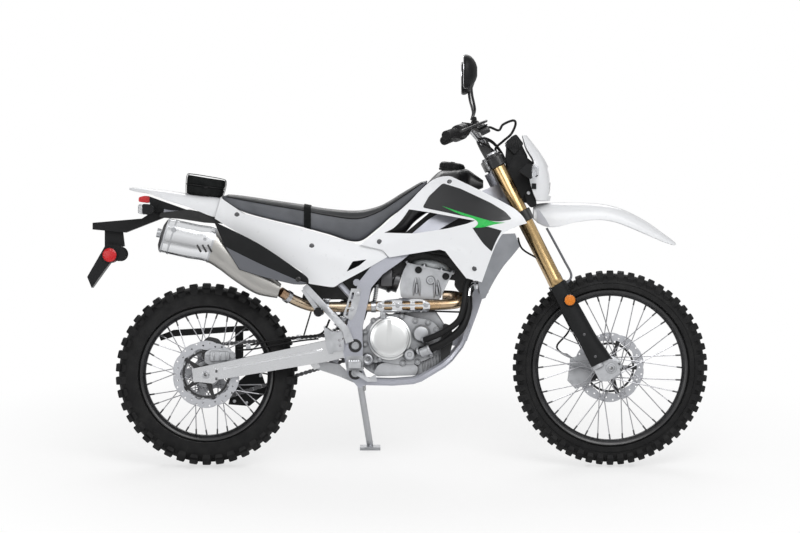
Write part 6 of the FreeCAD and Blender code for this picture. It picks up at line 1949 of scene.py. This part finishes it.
def make_crankcase():
    outline = [(552, 378), (563, 352), (602, 325), (748, 323), (834, 354), (860, 410), (849, 496),
               (810, 556), (690, 556), (650, 526), (574, 498), (553, 450)]
    for name, low, high, grow, nodes in (("crankcase_right", -66, -6, 0.0, ["crankcase"]),
                                         ("crankcase_seam", -9, -1, 3.4, []),
                                         ("crankcase_left", -4, 52, 0.0, [])):
        middle = Vector((706, 440))
        spread_out = [tuple(middle + (Vector(p) - middle) * (1 + grow / 140)) for p in outline]
        with piece(name, "cast_alloy", smooth=30, nodes=nodes, bevel=4.0 if not grow else 1.2, segments=3,
                   angle=35) as mesh:
            slab(mesh, rounded(spread_out, 16, 4), low, high)
    with piece("right_engine_cover", "cast_alloy", smooth=30, bevel=5.0, segments=3, angle=35) as mesh:
        side_outline = [(556, 398), (570, 374), (606, 366), (618, 372), (690, 360), (742, 362), (800, 384),
                        (830, 420), (836, 462), (822, 502), (790, 520), (746, 526), (700, 540), (640, 540),
                        (588, 518), (560, 472)]
        slab(mesh, rounded(side_outline, 18, 4), COVER_FACE, -64)
    rim_spots = [(572, 392), (566, 432), (566, 476), (596, 516), (640, 532), (696, 532), (744, 516),
                 (790, 510), (820, 484), (826, 440), (800, 396), (752, 370), (700, 366), (618, 380)]
    with piece("cover_bosses", "cast_alloy") as mesh:
        for x, z in rim_spots:
            lathe(mesh, [(AXIS, 3.0), (9.0, 3.0), (10.6, 1.4), (11.4, -8), (AXIS, -8)], 24,
                  facing(x, COVER_FACE, z))
    bolts_at("cover_bolts", rim_spots, -87, -1, 5.4)
    with piece("lower_engine_cover", "cast_alloy", smooth=30, bevel=5.0, segments=3, angle=35) as mesh:
        slab(mesh, rounded([(596, 330), (612, 360), (660, 374), (726, 370), (756, 352), (748, 322),
                            (606, 318)], 12, 4), -80, -62)
    with piece("case_ribs", "cast_alloy") as mesh:
        for index in range(7):
            x = 566 + index * 10
            block(mesh, (x - 1.6, -70, 356 - index * 5), (x + 1.6, -64, 376 - index * 3), 1)
        for index in range(6):
            block(mesh, (772 + index * 11, -70, 336 + index * 4),
                  (775.4 + index * 11, -64, 372 + index * 5), 1)


def make_covers():
    with piece("clutch_cover", "turned_alloy", smooth=28, nodes=["engine_covers"]) as mesh:
        lathe(mesh, [(AXIS, 33.5), (30, 33.2), (50, 32.2), (59, 31), (63, 29.4), (64, 27.6), (68.5, 26),
                     (70.6, 22), (71.2, 14), (71.6, 5), (77, 3.4), (77.6, -4), (AXIS, -4)], 96,
              facing(CLUTCH[0], COVER_FACE, CLUTCH[1]))
    with piece("clutch_rib", "turned_alloy", smooth=30, bevel=2.2, segments=3, angle=40) as mesh:
        x, z = CLUTCH
        slab(mesh, rounded([(x - 6, z - 30), (x + 5, z - 30), (x + 7, z + 60), (x + 8, z + 66),
                            (x - 9, z + 66), (x - 8, z + 60)], 4), -121.4, -114)
    with piece("pump_cover", "cast_alloy", smooth=30) as mesh:
        lathe(mesh, [(AXIS, 29), (20, 29), (25, 28), (27.6, 24), (28.4, 8), (32, 5), (33, -4), (AXIS, -4)],
              56, facing(PUMP[0], COVER_FACE, PUMP[1]))
    with piece("shaft_boss", "cast_alloy", smooth=30) as mesh:
        lathe(mesh, [(AXIS, 17), (7, 17), (8, 21), (14, 23), (18, 22), (20, 17), (21, -4), (AXIS, -4)], 44,
              facing(574.5, COVER_FACE, 379))
    with piece("small_covers", "cast_alloy", smooth=30) as mesh:
        lathe(mesh, [(AXIS, 20), (8, 20), (9, 22), (16, 22), (20, 18), (22, -4), (AXIS, -4)], 44,
              facing(724, COVER_FACE, 396))
        lathe(mesh, [(AXIS, 14), (12, 14), (14, 12), (15, -4), (AXIS, -4)], 36,
              facing(796, COVER_FACE, 430))
    with piece("clutch_arm", "steel") as mesh:
        block(mesh, (620, -100, 522), (640, -84, 556), 4)
        pipe(mesh, [(628, -96, 545), (640, -98, 560), (658, -96, 566)], 6, 16, 6)
    with piece("stator_cover", "cast_alloy", smooth=30) as mesh:
        lathe(mesh, [(AXIS, 56), (40, 55.6), (56, 53.5), (66, 48), (72, 38), (75, 22), (75.5, 4), (82, 2),
                     (82, -3), (AXIS, -3)], 88, facing(720, 59, 440, 1))
    with piece("sprocket_cover", "cast_alloy", smooth=30, bevel=2.4, segments=3, angle=40) as mesh:
        slab(mesh, rounded([(552, 394), (640, 387), (662, 440), (640, 497), (560, 489)], 16, 4), 84, 94.6)
        slab(mesh, rounded([(640, 384), (656, 384), (656, 400), (640, 400)], 3, 2), 59, 86)
    bolts_at("left_bolts", circle(720, 440, 78, 7), 60, 1, 5)


def make_cylinder():
    """Barrel with fins, head with its stud grooves, and the cam cover under its seam."""
    with piece("barrel", "cast_alloy", smooth=30, bevel=3, angle=35) as mesh:
        slab(mesh, rounded([(690, 556), (824, 556), (832, 600), (700, 604)], 8), -58, 58)
    with piece("cylinder_head", "cast_alloy", smooth=30, nodes=["cylinder"], bevel=7.0, segments=4,
               angle=35) as mesh:
        outline = rounded([(693, 600), (708, 596), (828, 592), (838, 604), (862, 656), (878, 684),
                           (716, 720), (700, 690), (689, 640)], 10, 4)
        slab(mesh, outline, -71, 71)
    with piece("cover_seam", "cast_alloy", smooth=30, bevel=1.2, angle=35) as mesh:
        slab(mesh, rounded([(712, 716), (880, 679), (884, 686), (714, 723.6)], 3, 2), -71.6, 71.6)
    with piece("seam_bolts", "steel") as mesh:
        for x, z in ((712, 725), (776, 711), (838, 697), (878, 688)):
            for side in (-1, 1):
                lathe(mesh, [(AXIS, 7), (7, 7), (8, 5.5), (8.6, -3), (AXIS, -3)], 20,
                      along((x, side * 62, z), (x + 1, side * 62, z + 5)))
    with piece("cam_cover", "cam_cover_grey", smooth=45) as mesh:
        rings = []
        for y, share in ((-57.5, 0.72), (-54, 0.88), (-46, 0.97), (-30, 1.0), (0, 1.0), (30, 1.0),
                         (46, 0.97), (54, 0.88), (57.5, 0.72)):
            crown = [(722, 722), (880, 686), (872, 708), (852, 722), (822, 734), (788, 740.5), (758, 740),
                     (736, 734)]
            foot = Vector((800, 704))
            outline = rounded([tuple(foot + (Vector(c) - foot) * share) for c in crown], 9)
            rings.append([(x, y, z) for x, z in outline])
        bridge(mesh, rings)
    with piece("cam_plugs", "rubber") as mesh:
        for x, z in ((755.6, 697), (853, 674)):
            for side in (-1, 1):
                lathe(mesh, [(AXIS, 1.0), (9, 1.0), (12, 2.4), (13, -3), (AXIS, -3)], 32,
                      facing(x, side * 71.5, z, side))
    with piece("head_studs", "cast_alloy") as mesh:
        lathe(mesh, [(AXIS, 3.5), (7, 3.5), (8, 5.5), (13, 5.5), (15, 3), (16, -3), (AXIS, -3)], 40,
              facing(799, -71, 660))
        for x, z, lean in ((749, 640, 2), (822.6, 632, -3)):
            for offset in (-9, 9):
                pipe(mesh, [(x + offset * 1.25, -70, z - 34), (x + offset, -73.6, z - 8),
                            (x + offset * 0.75 + lean, -73.6, z + 16),
                            (x + offset * 0.5 + lean, -70, z + 30)], [2.4, 3.4, 3.2, 2.0], 10, 6)
            round_bar(mesh, (x, -72, z - 26), (x + lean * 0.6, -73, z + 6), 4.6, 16)
    with piece("barrel_fins", "cast_alloy") as mesh:
        for level in (566, 575, 584, 593):
            slab(mesh, rounded([(686, level), (829, level - 2), (829, level + 1), (686, level + 3)], 1, 2),
                 -64, 64)
    with piece("crossing_pipe", "black_paint") as mesh:
        block(mesh, (694, -94, 546), (812, -86, 554), 3)
        round_bar(mesh, (812, -90, 550), (905, -96, 547), 3.2, 16)


def make_intake():
    """What fills the dark space behind the head: boot, throttle body, wiring and hoses, and near-black
    sheets of painted shade there, by the engine, behind the side panels and under the seat.
    """
    with piece("intake_boot", "rubber") as mesh:
        lathe(mesh, [(20, 0), (27, 2), (27, 30), (31, 33), (31, 40), (26, 44), (26, 66), (30, 68), (30, 74),
                     (24, 78), (20, 78)], 36, along((612, 0, 724), (690, 0, 668)))
    with piece("throttle_body", "dark_steel") as mesh:
        lathe(mesh, [(20, 0), (46, 3), (50, 9), (50, 20), (45, 24), (45, 52), (50, 56), (50, 64), (42, 70),
                     (42, 88), (20, 90)], 40, along((604, -10, 682), (694, -10, 654)))
        block(mesh, (618, -66, 636), (664, -40, 700), 5)
        round_bar(mesh, (660, -60, 690), (660, -30, 690), 14, 28, 2)
        round_bar(mesh, (628, -70, 716), (700, -70, 742), 9, 20, 2)
    with piece("loom", "rubber", smooth=60) as mesh:
        for number, route in enumerate((
                ((600, -60, 742), (660, -76, 764), (730, -84, 768), (800, -80, 752), (880, -70, 738)),
                ((596, -52, 728), (650, -70, 748), (712, -80, 758), (780, -76, 764), (850, -60, 762)),
                ((612, -64, 700), (640, -78, 728), (700, -82, 742), (740, -80, 752)),
                ((588, -70, 560), (600, -76, 600), (606, -72, 640), (620, -66, 672)),
                ((560, -98, 520), (572, -96, 560), (580, -84, 610), (600, -70, 650)))):
            pipe(mesh, route, 4.2 + 0.9 * (number % 3), 12, 7)
    # Painted shade: flat near-black sheets in the shadowed gaps behind the head, by the engine, behind the
    # side panels and under the seat; they are no real part.
    with piece("wiring_tray", "shade_filler_black", bevel=3, angle=35) as mesh:
        slab(mesh, rounded([(590, 690), (700, 680), (880, 660), (922, 650), (944, 744), (970, 800),
                            (986, 880), (972, 950), (900, 944), (800, 905), (700, 822), (640, 806),
                            (590, 790)], 8), -48, 48)
        slab(mesh, rounded([(836, 372), (866, 390), (878, 440), (874, 498), (846, 508), (834, 440)], 8),
             -96, -58)
        slab(mesh, rounded([(884, 640), (912, 604), (930, 640), (936, 700), (918, 716), (890, 700)], 8),
             -40, 40)
        for side in (-1, 1):
            slab(mesh, rounded([(340, 590), (352, 640), (392, 668), (450, 690), (520, 730), (600, 770),
                                (660, 772), (700, 740), (690, 690), (640, 650), (590, 640), (545, 600),
                                (500, 592)], 8), *across(side, 48, 60))
            slab(mesh, rounded([(-162, 900), (-60, 912), (60, 888), (66, 862), (-10, 866), (-100, 880),
                                (-166, 884)], 6), *across(side, 86, 95))
    with piece("return_spring", "steel", smooth=60) as mesh:
        points = []
        for step in range(9 * 12 + 1):
            angle = 2 * math.pi * step / 12
            t = step / (9 * 12)
            points.append(Vector((600 + 8 * t + 7 * math.cos(angle), -84 + 7 * math.sin(angle),
                                  588 + 56 * t)))
        pipe(mesh, points, 1.6, 6, 1)


def make_exhaust():
    with piece("header_pipe", "header_steel", smooth=60, nodes=["exhaust_header"]) as mesh:
        pipe(mesh, [(842, -34, 606), (880, -38, 604), (903, -62, 598), (908, -92, 588), (890, -110, 578),
                    (838, -112, 573), (700, -100, 570), (574, -90, 566), (460, -88, 565), (384, -90, 566),
                    (318, -108, 588), (266, -137, 619)], 18.4, 32, 8)
    with piece("exhaust_clamps", "steel") as mesh:
        for spot, way, radius in (((596, -91.5, 566.4), (1, 0, 0), 20.6),
                                  ((430, -88, 565), (1, 0, 0), 20.2),
                                  ((292, -120, 602), (-0.75, -0.42, 0.5), 22.5)):
            half = Vector(way).normalized() * 9
            lathe(mesh, [(18.2, 0), (radius, 1), (radius, 17), (18.2, 18)], 36,
                  along(Vector(spot) - half, Vector(spot) + half))
        block(mesh, (421, -92, 584), (439, -84, 596), 3)
        round_bar(mesh, (417, -88, 592), (443, -88, 592), 3.6, 12)

    def skin(x, z):
        share = (x - 608) / 182
        y, middle, radius = 93 + 15 * share, 567 + 5.6 * share, 26.5
        up = min(abs(z - middle - 3), radius - 1)
        return y + math.sqrt(radius ** 2 - up ** 2) - 1.0

    outline = rounded([(604, 556), (640, 545), (792, 548), (797, 562), (797, 578), (770, 593), (700, 596),
                       (640, 590), (606, 578)], 9, 4)
    slots = [rounded([(x - 15, z - 5.5), (x + 15, z - 5.5), (x + 15, z + 5.5), (x - 15, z + 5.5)], 5)
             for x, z in ((648, 580), (648, 560), (712, 581), (712, 560), (757, 580), (757, 561))]
    panel("header_shield", outline, skin, 1.8, "swing_alloy", nodes=["heat_shields"], holes=slots, grid=7.0,
          bevel=0.5)
    with piece("shield_bolts", "steel") as mesh:
        for x, z in ((620, 570), (682, 571), (782, 573)):
            lathe(mesh, [(AXIS, 5), (5, 5), (6.4, 4), (7, 0), (9, -0.4), (9, -3), (AXIS, -3)], 24,
                  facing(x, -(93 + 15 * (x - 608) / 182) - 25.6, z))


SILENCER = ((262, 622, 25, 25), (236, 634, 33, 31), (190, 656, 43, 39), (120, 706, 49, 43),
            (60, 753, 51, 44), (20, 785, 59, 49), (-40, 797, 60, 50), (-110, 812, 60, 50),
            (-146, 820, 59, 49))


def silencer_rings(first, last, grow=0.0):
    """Rounded sections across the silencer between two places along it."""
    xs = [row[0] for row in reversed(SILENCER)]
    rings = []
    for step in range(25):
        x = last + (first - last) * step / 24
        z, half, wide = (smooth_table(xs, [row[i] for row in reversed(SILENCER)], x) for i in (1, 2, 3))
        ring = []
        for out, up in superellipse(wide + grow, half + grow, 2.8, 44):
            ring.append((x + up * 0.3, SILENCER_SIDE + out, z + up))
        rings.append(ring)
    return rings


def make_silencer():
    with piece("silencer_body", "swing_alloy", smooth=40, nodes=["silencer"]) as mesh:
        bridge(mesh, silencer_rings(24, -146))
    with piece("mid_chamber", "satin_steel", smooth=40) as mesh:
        bridge(mesh, silencer_rings(262, 26))
    with piece("silencer_bands", "steel", smooth=40) as mesh:
        for at in (24, -118, -142):
            rings = silencer_rings(at + 3, at - 3, 1.4)
            bridge(mesh, [rings[0], rings[12], rings[-1]])
    with piece("silencer_end", "dark_steel", smooth=40) as mesh:
        end = silencer_rings(-145, -158)
        for index, ring in enumerate(end):
            share = 1 - 0.42 * (1 - index / 24) ** 1.6
            centre = sum((Vector(c) for c in ring), Vector()) / len(ring)
            end[index] = [centre + (Vector(c) - centre) * share for c in ring]
        bridge(mesh, end)
    with piece("tail_pipe", "steel", smooth=40) as mesh:
        lathe(mesh, [(13, 0), (16, 0), (16, 14), (13, 14)], 36,
              along((-158, SILENCER_SIDE, 826), (-172, SILENCER_SIDE, 829)))
    with piece("silencer_slots", "black_paint", smooth=40) as mesh:
        for index in range(3):
            x = -21 + 19 * index
            place = Matrix.Translation((x, -199.8, 773)) @ Matrix.Rotation(math.radians(-28), 4, "Y")
            block(mesh, (-3.4, -0.8, -15), (3.4, 1.6, 15), 1.2, place)
    with piece("silencer_bolts", "steel") as mesh:
        bolt(mesh, (-110, -198, 838), (0, -1, 0), 7, 5, socket=False)
        bolt(mesh, (0, -198, 806), (0, -1, 0), 6, 4)
    outline = mixed_outline((True, ((32, 868), (190, 790), (341, 688))),
                            (True, ((341, 688), (364, 668), (367, 647))),
                            (True, ((367, 647), (340, 645), (314, 646))),
                            (True, ((314, 646), (220, 668), (121, 698))),
                            (False, ((121, 698), (68, 786), (32, 868))))
    panel("side_heat_panel", outline, lambda x, z: 199 + 2.6 * math.sin((z - 640) / 90), 4, "black_plastic",
          grid=12, bevel=1.6)
    lower = mixed_outline((True, ((74, 778), (200, 716), (318, 664))), (False, ((318, 664), (362, 650))),
                          (True, ((362, 650), (338, 646), (314, 647))),
                          (True, ((314, 647), (220, 669), (123, 699))), (False, ((123, 699), (74, 778))))
    panel("side_heat_panel_lower", lower, lambda x, z: 202.6 + 2.6 * math.sin((z - 640) / 90), 1.6,
          "grey_plastic", grid=12, bevel=0.8)
    with piece("heat_panel_bolt", "black_paint") as mesh:
        bolt(mesh, (330, -203.5, 664), (0, -1, 0), 9, 4)


HOSES = (((967.7, -104, 642), (948, -104, 642), (934, -112, 610), (932, -130, 555), (908, -142, 490),
          (856, -138, 446), (800, -124, 418), (752, -100, 408)),
         ((967.7, -140, 674), (948, -140, 674), (926, -140, 640), (918, -150, 580), (900, -152, 520),
          (850, -148, 480), (796, -138, 455), (776, -115, 448)))


def make_cooling():
    for number, (route, radius) in enumerate(zip(HOSES, (14, 11))):
        with piece("coolant_hose_%d" % number, "rubber", smooth=60,
                   nodes=() if number else ["coolant_hose"]) as mesh:
            pipe(mesh, route, radius, 24, 10)
        with piece("hose_clamps_%d" % number, "steel") as mesh:
            start, after = Vector(route[0]), Vector(route[1])
            before, end = Vector(route[-2]), Vector(route[-1])
            for spot, way in ((start.lerp(after, 0.35), after - start),
                              (end.lerp(before, 0.2), end - before)):
                way.normalize()
                lathe(mesh, [(radius, 0), (radius + 1.2, 0), (radius + 1.2, 8), (radius, 8)], 36,
                      along(spot, spot + way))
                screw = spot + way.cross(Vector((0, 0, 1))).normalized() * (radius + 3)
                round_bar(mesh, screw - Vector((0, 0, 5)), screw + Vector((0, 0, 5)), 3, 12)
    with piece("radiator_outlet", "swing_alloy", smooth=60) as mesh:
        pipe(mesh, [(967.7, -104, 642), (948, -104, 642), (936, -110, 622), (934, -115, 602)], 15.4, 28, 6)
    with piece("pump_elbow", "cast_alloy") as mesh:
        place = along((800, -124, 418), (744, -104, 392))
        lathe(mesh, [(10, 0), (19, 0), (20, 2), (20, 7), (17, 9), (17, 40), (10, 40)], 36, place)
    for side, hand in reversed(HANDS):
        with piece("radiator_tanks_" + hand, "black_paint", nodes=["radiators"]) as mesh:
            for low, high in ((612, 640), (822, 850)):
                right, left = across(side, 62, 168)
                block(mesh, (968, right, low), (1004, left, high), 6)
        with piece("radiator_frame_" + hand, "black_paint") as mesh:
            for x in (970, 999):
                for edge in (64, 166):
                    block(mesh, (x, side * edge - 2, 640), (x + 3, side * edge + 2, 822), 1)
            right, left = across(side, 66, 164)
            block(mesh, (974, right, 640), (998, left, 822), 1)
        with piece("radiator_tubes_" + hand, "dark_steel") as mesh:
            for row in range(11):
                y = side * (70 + row * 9)
                block(mesh, (969, y - 1.6, 640), (1003, y + 1.6, 822), 0.8)
        with piece("radiator_fins_" + hand, "dark_steel") as mesh:
            for face in (968.6, 1001.4):
                for row in range(45):
                    z = 642 + row * 4
                    block(mesh, (face, right, z - 0.5), (face + 2, left, z + 0.5), 0.3)


def make_airbox():
    refined("airbox", "black_plastic", 4.0, 2, 30)
    with piece("airbox_ribs", "black_plastic") as mesh:
        for z in (700, 730, 760, 790):
            block(mesh, (372, -64.5, z - 3), (520, -61, z + 3), 1.4)
            block(mesh, (372, 61, z - 3), (520, 64.5, z + 3), 1.4)


# Tank, seat and tail

TANK = ((600, .60, 800, 806), (640, .76, 808, 850), (700, .90, 822, 902), (742, .97, 868, 952),
        (785, 1.0, 900, 1004), (830, 1.0, 924, 1048), (870, .93, 940, 1056), (898, .84, 950, 1057),
        (930, .40, 966, 1056), (960, .34, 978, 1036), (987, .30, 990, 1017))


def make_tank():
    """Black tank with round shoulders, and the filler cap with its grip."""
    with piece("tank_shell", "tank_black", smooth=50, nodes=["fuel_tank"]) as mesh:
        rings = []
        for x, (share, low, high) in sampled(TANK, 60):
            ring = []
            for out, up in superellipse(1, 1, 2.9, 44):
                wide = 128 * share * (0.95 - 0.04 * up + 0.05 * (1 - up * up))
                ring.append((x, out * wide, (low + high) / 2 + up * (high - low) / 2))
            rings.append(ring)
        bridge(mesh, rings)
    place = along((874, 0, 1048), (879, 0, 1082))
    with piece("fuel_cap_body", "black_plastic", nodes=["fuel_cap"]) as mesh:
        profile = [(AXIS, 33), (30, 32.6), (38, 31), (42.5, 27), (43.5, 22), (43.5, 10), (46, 8), (46, 2),
                   (44, 0), (AXIS, 0)]
        lathe(mesh, profile, 72, place)
    with piece("fuel_cap_ribs", "black_plastic") as mesh:
        for angle in turns(24):
            x, y = polar(43.6, angle)
            round_bar(mesh, place @ Vector((x, y, 10)), place @ Vector((x, y, 24)), 2.2, 8)
        block(mesh, (-30, -8, 32), (30, 8, 34.5), 1.8, place)


SEAT = ((56, .86, 950, 966), (80, .93, 930, 965.5), (136, .98, 902, 960), (230, 1.0, 876, 946),
        (341, 1.0, 850, 930), (428, .94, 826, 915), (541, .84, 798, 908), (613, .76, 846, 923),
        (655, .72, 884, 944), (688, .70, 908, 965), (740, .66, 956, 996), (788, .62, 1006, 1023))


def seat_rings(low_share, high_share, spread_by=0.0):
    """Part of the seat's section at many places, from below (0) round to the middle of the top (1)."""
    count = 90
    rows = []
    for step, (x, (share, low, high)) in enumerate(sampled(SEAT, count)):
        end = min(1.0, (step + 0.6) / 3.2, (count - step + 0.6) / 3.2) ** 0.5
        wide, tall = 112 * share, (high - low)
        profile = [(0.93, 0.0), (1.0, 0.08), (1.0, 0.35), (0.985, 0.6), (0.93, 0.80), (0.80, 0.92),
                   (0.6, 0.975), (0.35, 0.995), (0.0, 1.0)]
        row = []
        for spot in range(15):
            t = low_share + (high_share - low_share) * spot / 14
            at = t * (len(profile) - 1)
            index = min(int(at), len(profile) - 2)
            part = at - index
            out = profile[index][0] * (1 - part) + profile[index + 1][0] * part
            up = profile[index][1] * (1 - part) + profile[index + 1][1] * part
            row.append((x, (out * wide + spread_by) * (0.86 + 0.14 * end),
                        low + tall * (up * (0.35 + 0.65 * end))))
        rows.append(row)
    return rows


def padded_piece(name, rows, finish, nodes):
    """A sewn cover: both halves of the rows as one closed, crowned form."""
    mesh = bmesh.new()
    rings = []
    for row in rows:
        half = list(row)
        rings.append(half + [(x, -y, z) for x, y, z in reversed(half) if y > 0.01])
    bridge(mesh, rings)
    thing = kept(name, mesh, finish, smooth=60, nodes=nodes)
    with_modifiers(thing, subdivide=1)
    return thing


def make_seat():
    """Two-tone seat: firm grey sides, a black top panel that stands a little proud, piping and a strap."""
    padded_piece("seat_sides", seat_rings(0.0, 1.0), "seat_side", ["seat"])
    mesh = bmesh.new()
    rows = seat_rings(0.46, 1.0, 1.2)
    rings = []
    for row in rows[2:-2]:
        top = [(x, y, z + 1.3) for x, y, z in row]
        rings.append(top + [(x, -y, z) for x, y, z in reversed(top) if y > 0.01]
                     + [(x, -y * 0.97, z - 5) for x, y, z in top if y > 0.01]
                     + [(x, y * 0.97, z - 5) for x, y, z in reversed(top)])
    bridge(mesh, rings)
    thing = kept("seat_top", mesh, "seat_cover", smooth=60)
    with_modifiers(thing, subdivide=1)
    with piece("seat_piping", "rubber", smooth=60) as mesh:
        for side in (-1, 1):
            seam = [(row[0][0], side * (row[0][1] + 0.4), row[0][2] + 0.6) for row in rows[2:-2:2]]
            pipe(mesh, seam, 1.7, 8, 2)
    with piece("seat_strap", "bag_cloth", smooth=60, bevel=0.6, thickness=2.2, offset=1) as mesh:
        strap = seat_rings(0.02, 1.0, 2.6)
        xs = [row[0][0] for row in strap]
        near = [index for index, x in enumerate(xs) if 344 < x < 378]
        rings = []
        for index in near:
            row = [(x, y + 0.4, z + 2.4 * (spot / 14)) for spot, (x, y, z) in enumerate(strap[index])]
            rings.append(row + [(x, -y, z) for x, y, z in reversed(row) if y > 0.01])
        bridge(mesh, rings, closed=False)


def make_tool_bag():
    """Soft case on the tail: lid and body with a zip between them, carried by two straps."""
    corners = (((-71, 968), (-66, 1036)), ((51, 953), (67, 1015)))
    for name, low_share, high_share, grow, nodes in (("tool_bag_body", 0.02, 0.50, 0.0, ["tool_bag"]),
                                                     ("tool_bag_lid", 0.54, 1.0, 0.6, [])):
        mesh = bmesh.new()
        rings = []
        for step in range(15):
            share = low_share + (high_share - low_share) * step / 14
            swell = math.sin(math.pi * min(max(share, 0), 1)) * 4.5
            edge = min(1, (step + 0.35) / 3.2, (14 - step + 0.35) / 3.2) ** 0.5
            ring = []
            for out, forward in superellipse(1, 1, 4.2, 56):
                rear = Vector(corners[0][0]).lerp(Vector(corners[0][1]), share)
                fore = Vector(corners[1][0]).lerp(Vector(corners[1][1]), share)
                middle = (rear + fore) / 2
                reach = (fore - rear) / 2
                puff = 0.96 + 0.04 * edge
                spot = middle + reach * (forward * puff) + reach.normalized() * forward * swell * 0.5
                y = (79 + swell - 4 * share + grow) * out * puff
                lift = 1.6 * math.sin(out * 3.1) * math.cos(forward * 2.4) * (share > 0.9)
                ring.append((spot.x, y, spot.y + lift))
            rings.append(ring)
        bridge(mesh, rings)
        thing = kept(name, mesh, "bag_cloth", smooth=60, nodes=nodes)
        with_modifiers(thing, subdivide=1)
    with piece("tool_bag_zip", "rubber", smooth=60) as mesh:
        loop = []
        for out, forward in superellipse(1, 1, 4.2, 56):
            rear = Vector(corners[0][0]).lerp(Vector(corners[0][1]), 0.52)
            fore = Vector(corners[1][0]).lerp(Vector(corners[1][1]), 0.52)
            spot = (rear + fore) / 2 + (fore - rear) / 2 * forward * 1.03
            loop.append((spot.x, 81 * out, spot.y))
        pipe(mesh, loop + loop[:1], 2.4, 8, 1)
        block(mesh, (-8, -86, 986), (6, -82, 992), 1)
    with piece("tool_bag_straps", "bag_cloth", smooth=60, thickness=1.6, offset=1) as mesh:
        for side in (-1, 1):
            outer = [(-72, side * 52, 966), (-71.5, side * 52, 1008), (-67, side * 52, 1036),
                     (-52, side * 52, 1038.5), (2, side * 52, 1030.5), (54, side * 50, 1021),
                     (67, side * 50, 1014), (65, side * 50, 988), (54, side * 50, 952)]
            rings = []
            for spot in smooth_line(outer, 7):
                rings.append([spot + Vector((0, -9, 0)), spot + Vector((0, 9, 0))])
            bridge(mesh, rings, closed=False)


def make_rear_end():
    refined("rear_mudguard", "black_plastic", 3.0, 3, 26)
    with piece("tail_lamp_lens", "red_lens", nodes=["tail_lamp"], bevel=3.4, segments=3, angle=35) as red:
        outline = rounded([(-242, 940), (-214, 936), (-202, 938), (-202, 960), (-222, 961), (-241, 956)], 5)
        slab(red, outline, -51, 51)
    with piece("reflector_rings", "black_plastic") as mesh:
        for side in (-1, 1):
            lathe(mesh, [(25.4, 0), (28, 0.4), (28, 6.4), (26.4, 7.2), (25.4, 6.8)], 56,
                  facing(-344, side * 70.6, 750, side))
            lathe(mesh, [(AXIS, 2), (24, 2), (26, 0.5), (26, -4), (AXIS, -4)], 44,
                  facing(-310, side * 67, 754, side))
    with piece("rear_reflectors", "red_lens") as mesh:
        for side in (-1, 1):
            lathe(mesh, [(AXIS, 7.2), (14, 7), (24, 5.6), (25.2, 4.6), (25.2, 0.4), (AXIS, 0.4)], 56,
                  facing(-344, side * 70.6, 750, side))
    for side, hand in reversed(HANDS):
        with piece("rear_stalk_" + hand, "rubber", smooth=60) as mesh:
            pipe(mesh, [(-190, side * 58.5, 914), (-192, side * 76, 914), (-196, side * 92, 913)],
                 [8, 6.4, 8], 20, 6)
        with piece("rear_indicator_body_" + hand, "black_plastic", nodes=["rear_indicators"], bevel=5,
                   segments=3, angle=40) as mesh:
            slab(mesh, rounded([(-224, 894), (-196, 896), (-183, 906), (-183, 920), (-196, 930),
                                (-224, 931.5)], 7), *across(side, 91, 145))
        with piece("rear_indicator_lens_" + hand, "clear_lens", bevel=4, segments=3, angle=40) as mesh:
            slab(mesh, rounded([(-239.6, 898), (-232, 895), (-224.6, 894.4), (-224.6, 931), (-232, 930),
                                (-239.6, 926)], 5), *across(side, 92, 144))


def main():
    make_camera()
    make_light()
    make_floor()
    make_wheels()
    make_shrouds()
    make_side_panels()
    make_front_fender()
    make_tail()
    make_fork()
    make_handlebar()
    make_mirrors()
    make_instrument()
    make_headlamp()
    make_front_lights()
    make_front_brake()
    make_frame()
    make_swingarm()
    make_shock()
    make_chain()
    make_sprocket()
    make_chain_covers()
    make_rear_brake()
    make_stand()
    make_foot_controls()
    make_crankcase()
    make_covers()
    make_cylinder()
    make_intake()
    make_exhaust()
    make_silencer()
    make_cooling()
    make_airbox()
    make_tank()
    make_seat()
    make_tool_bag()
    make_rear_end()
    bpy.context.scene.view_settings.view_transform = "Standard"


main()
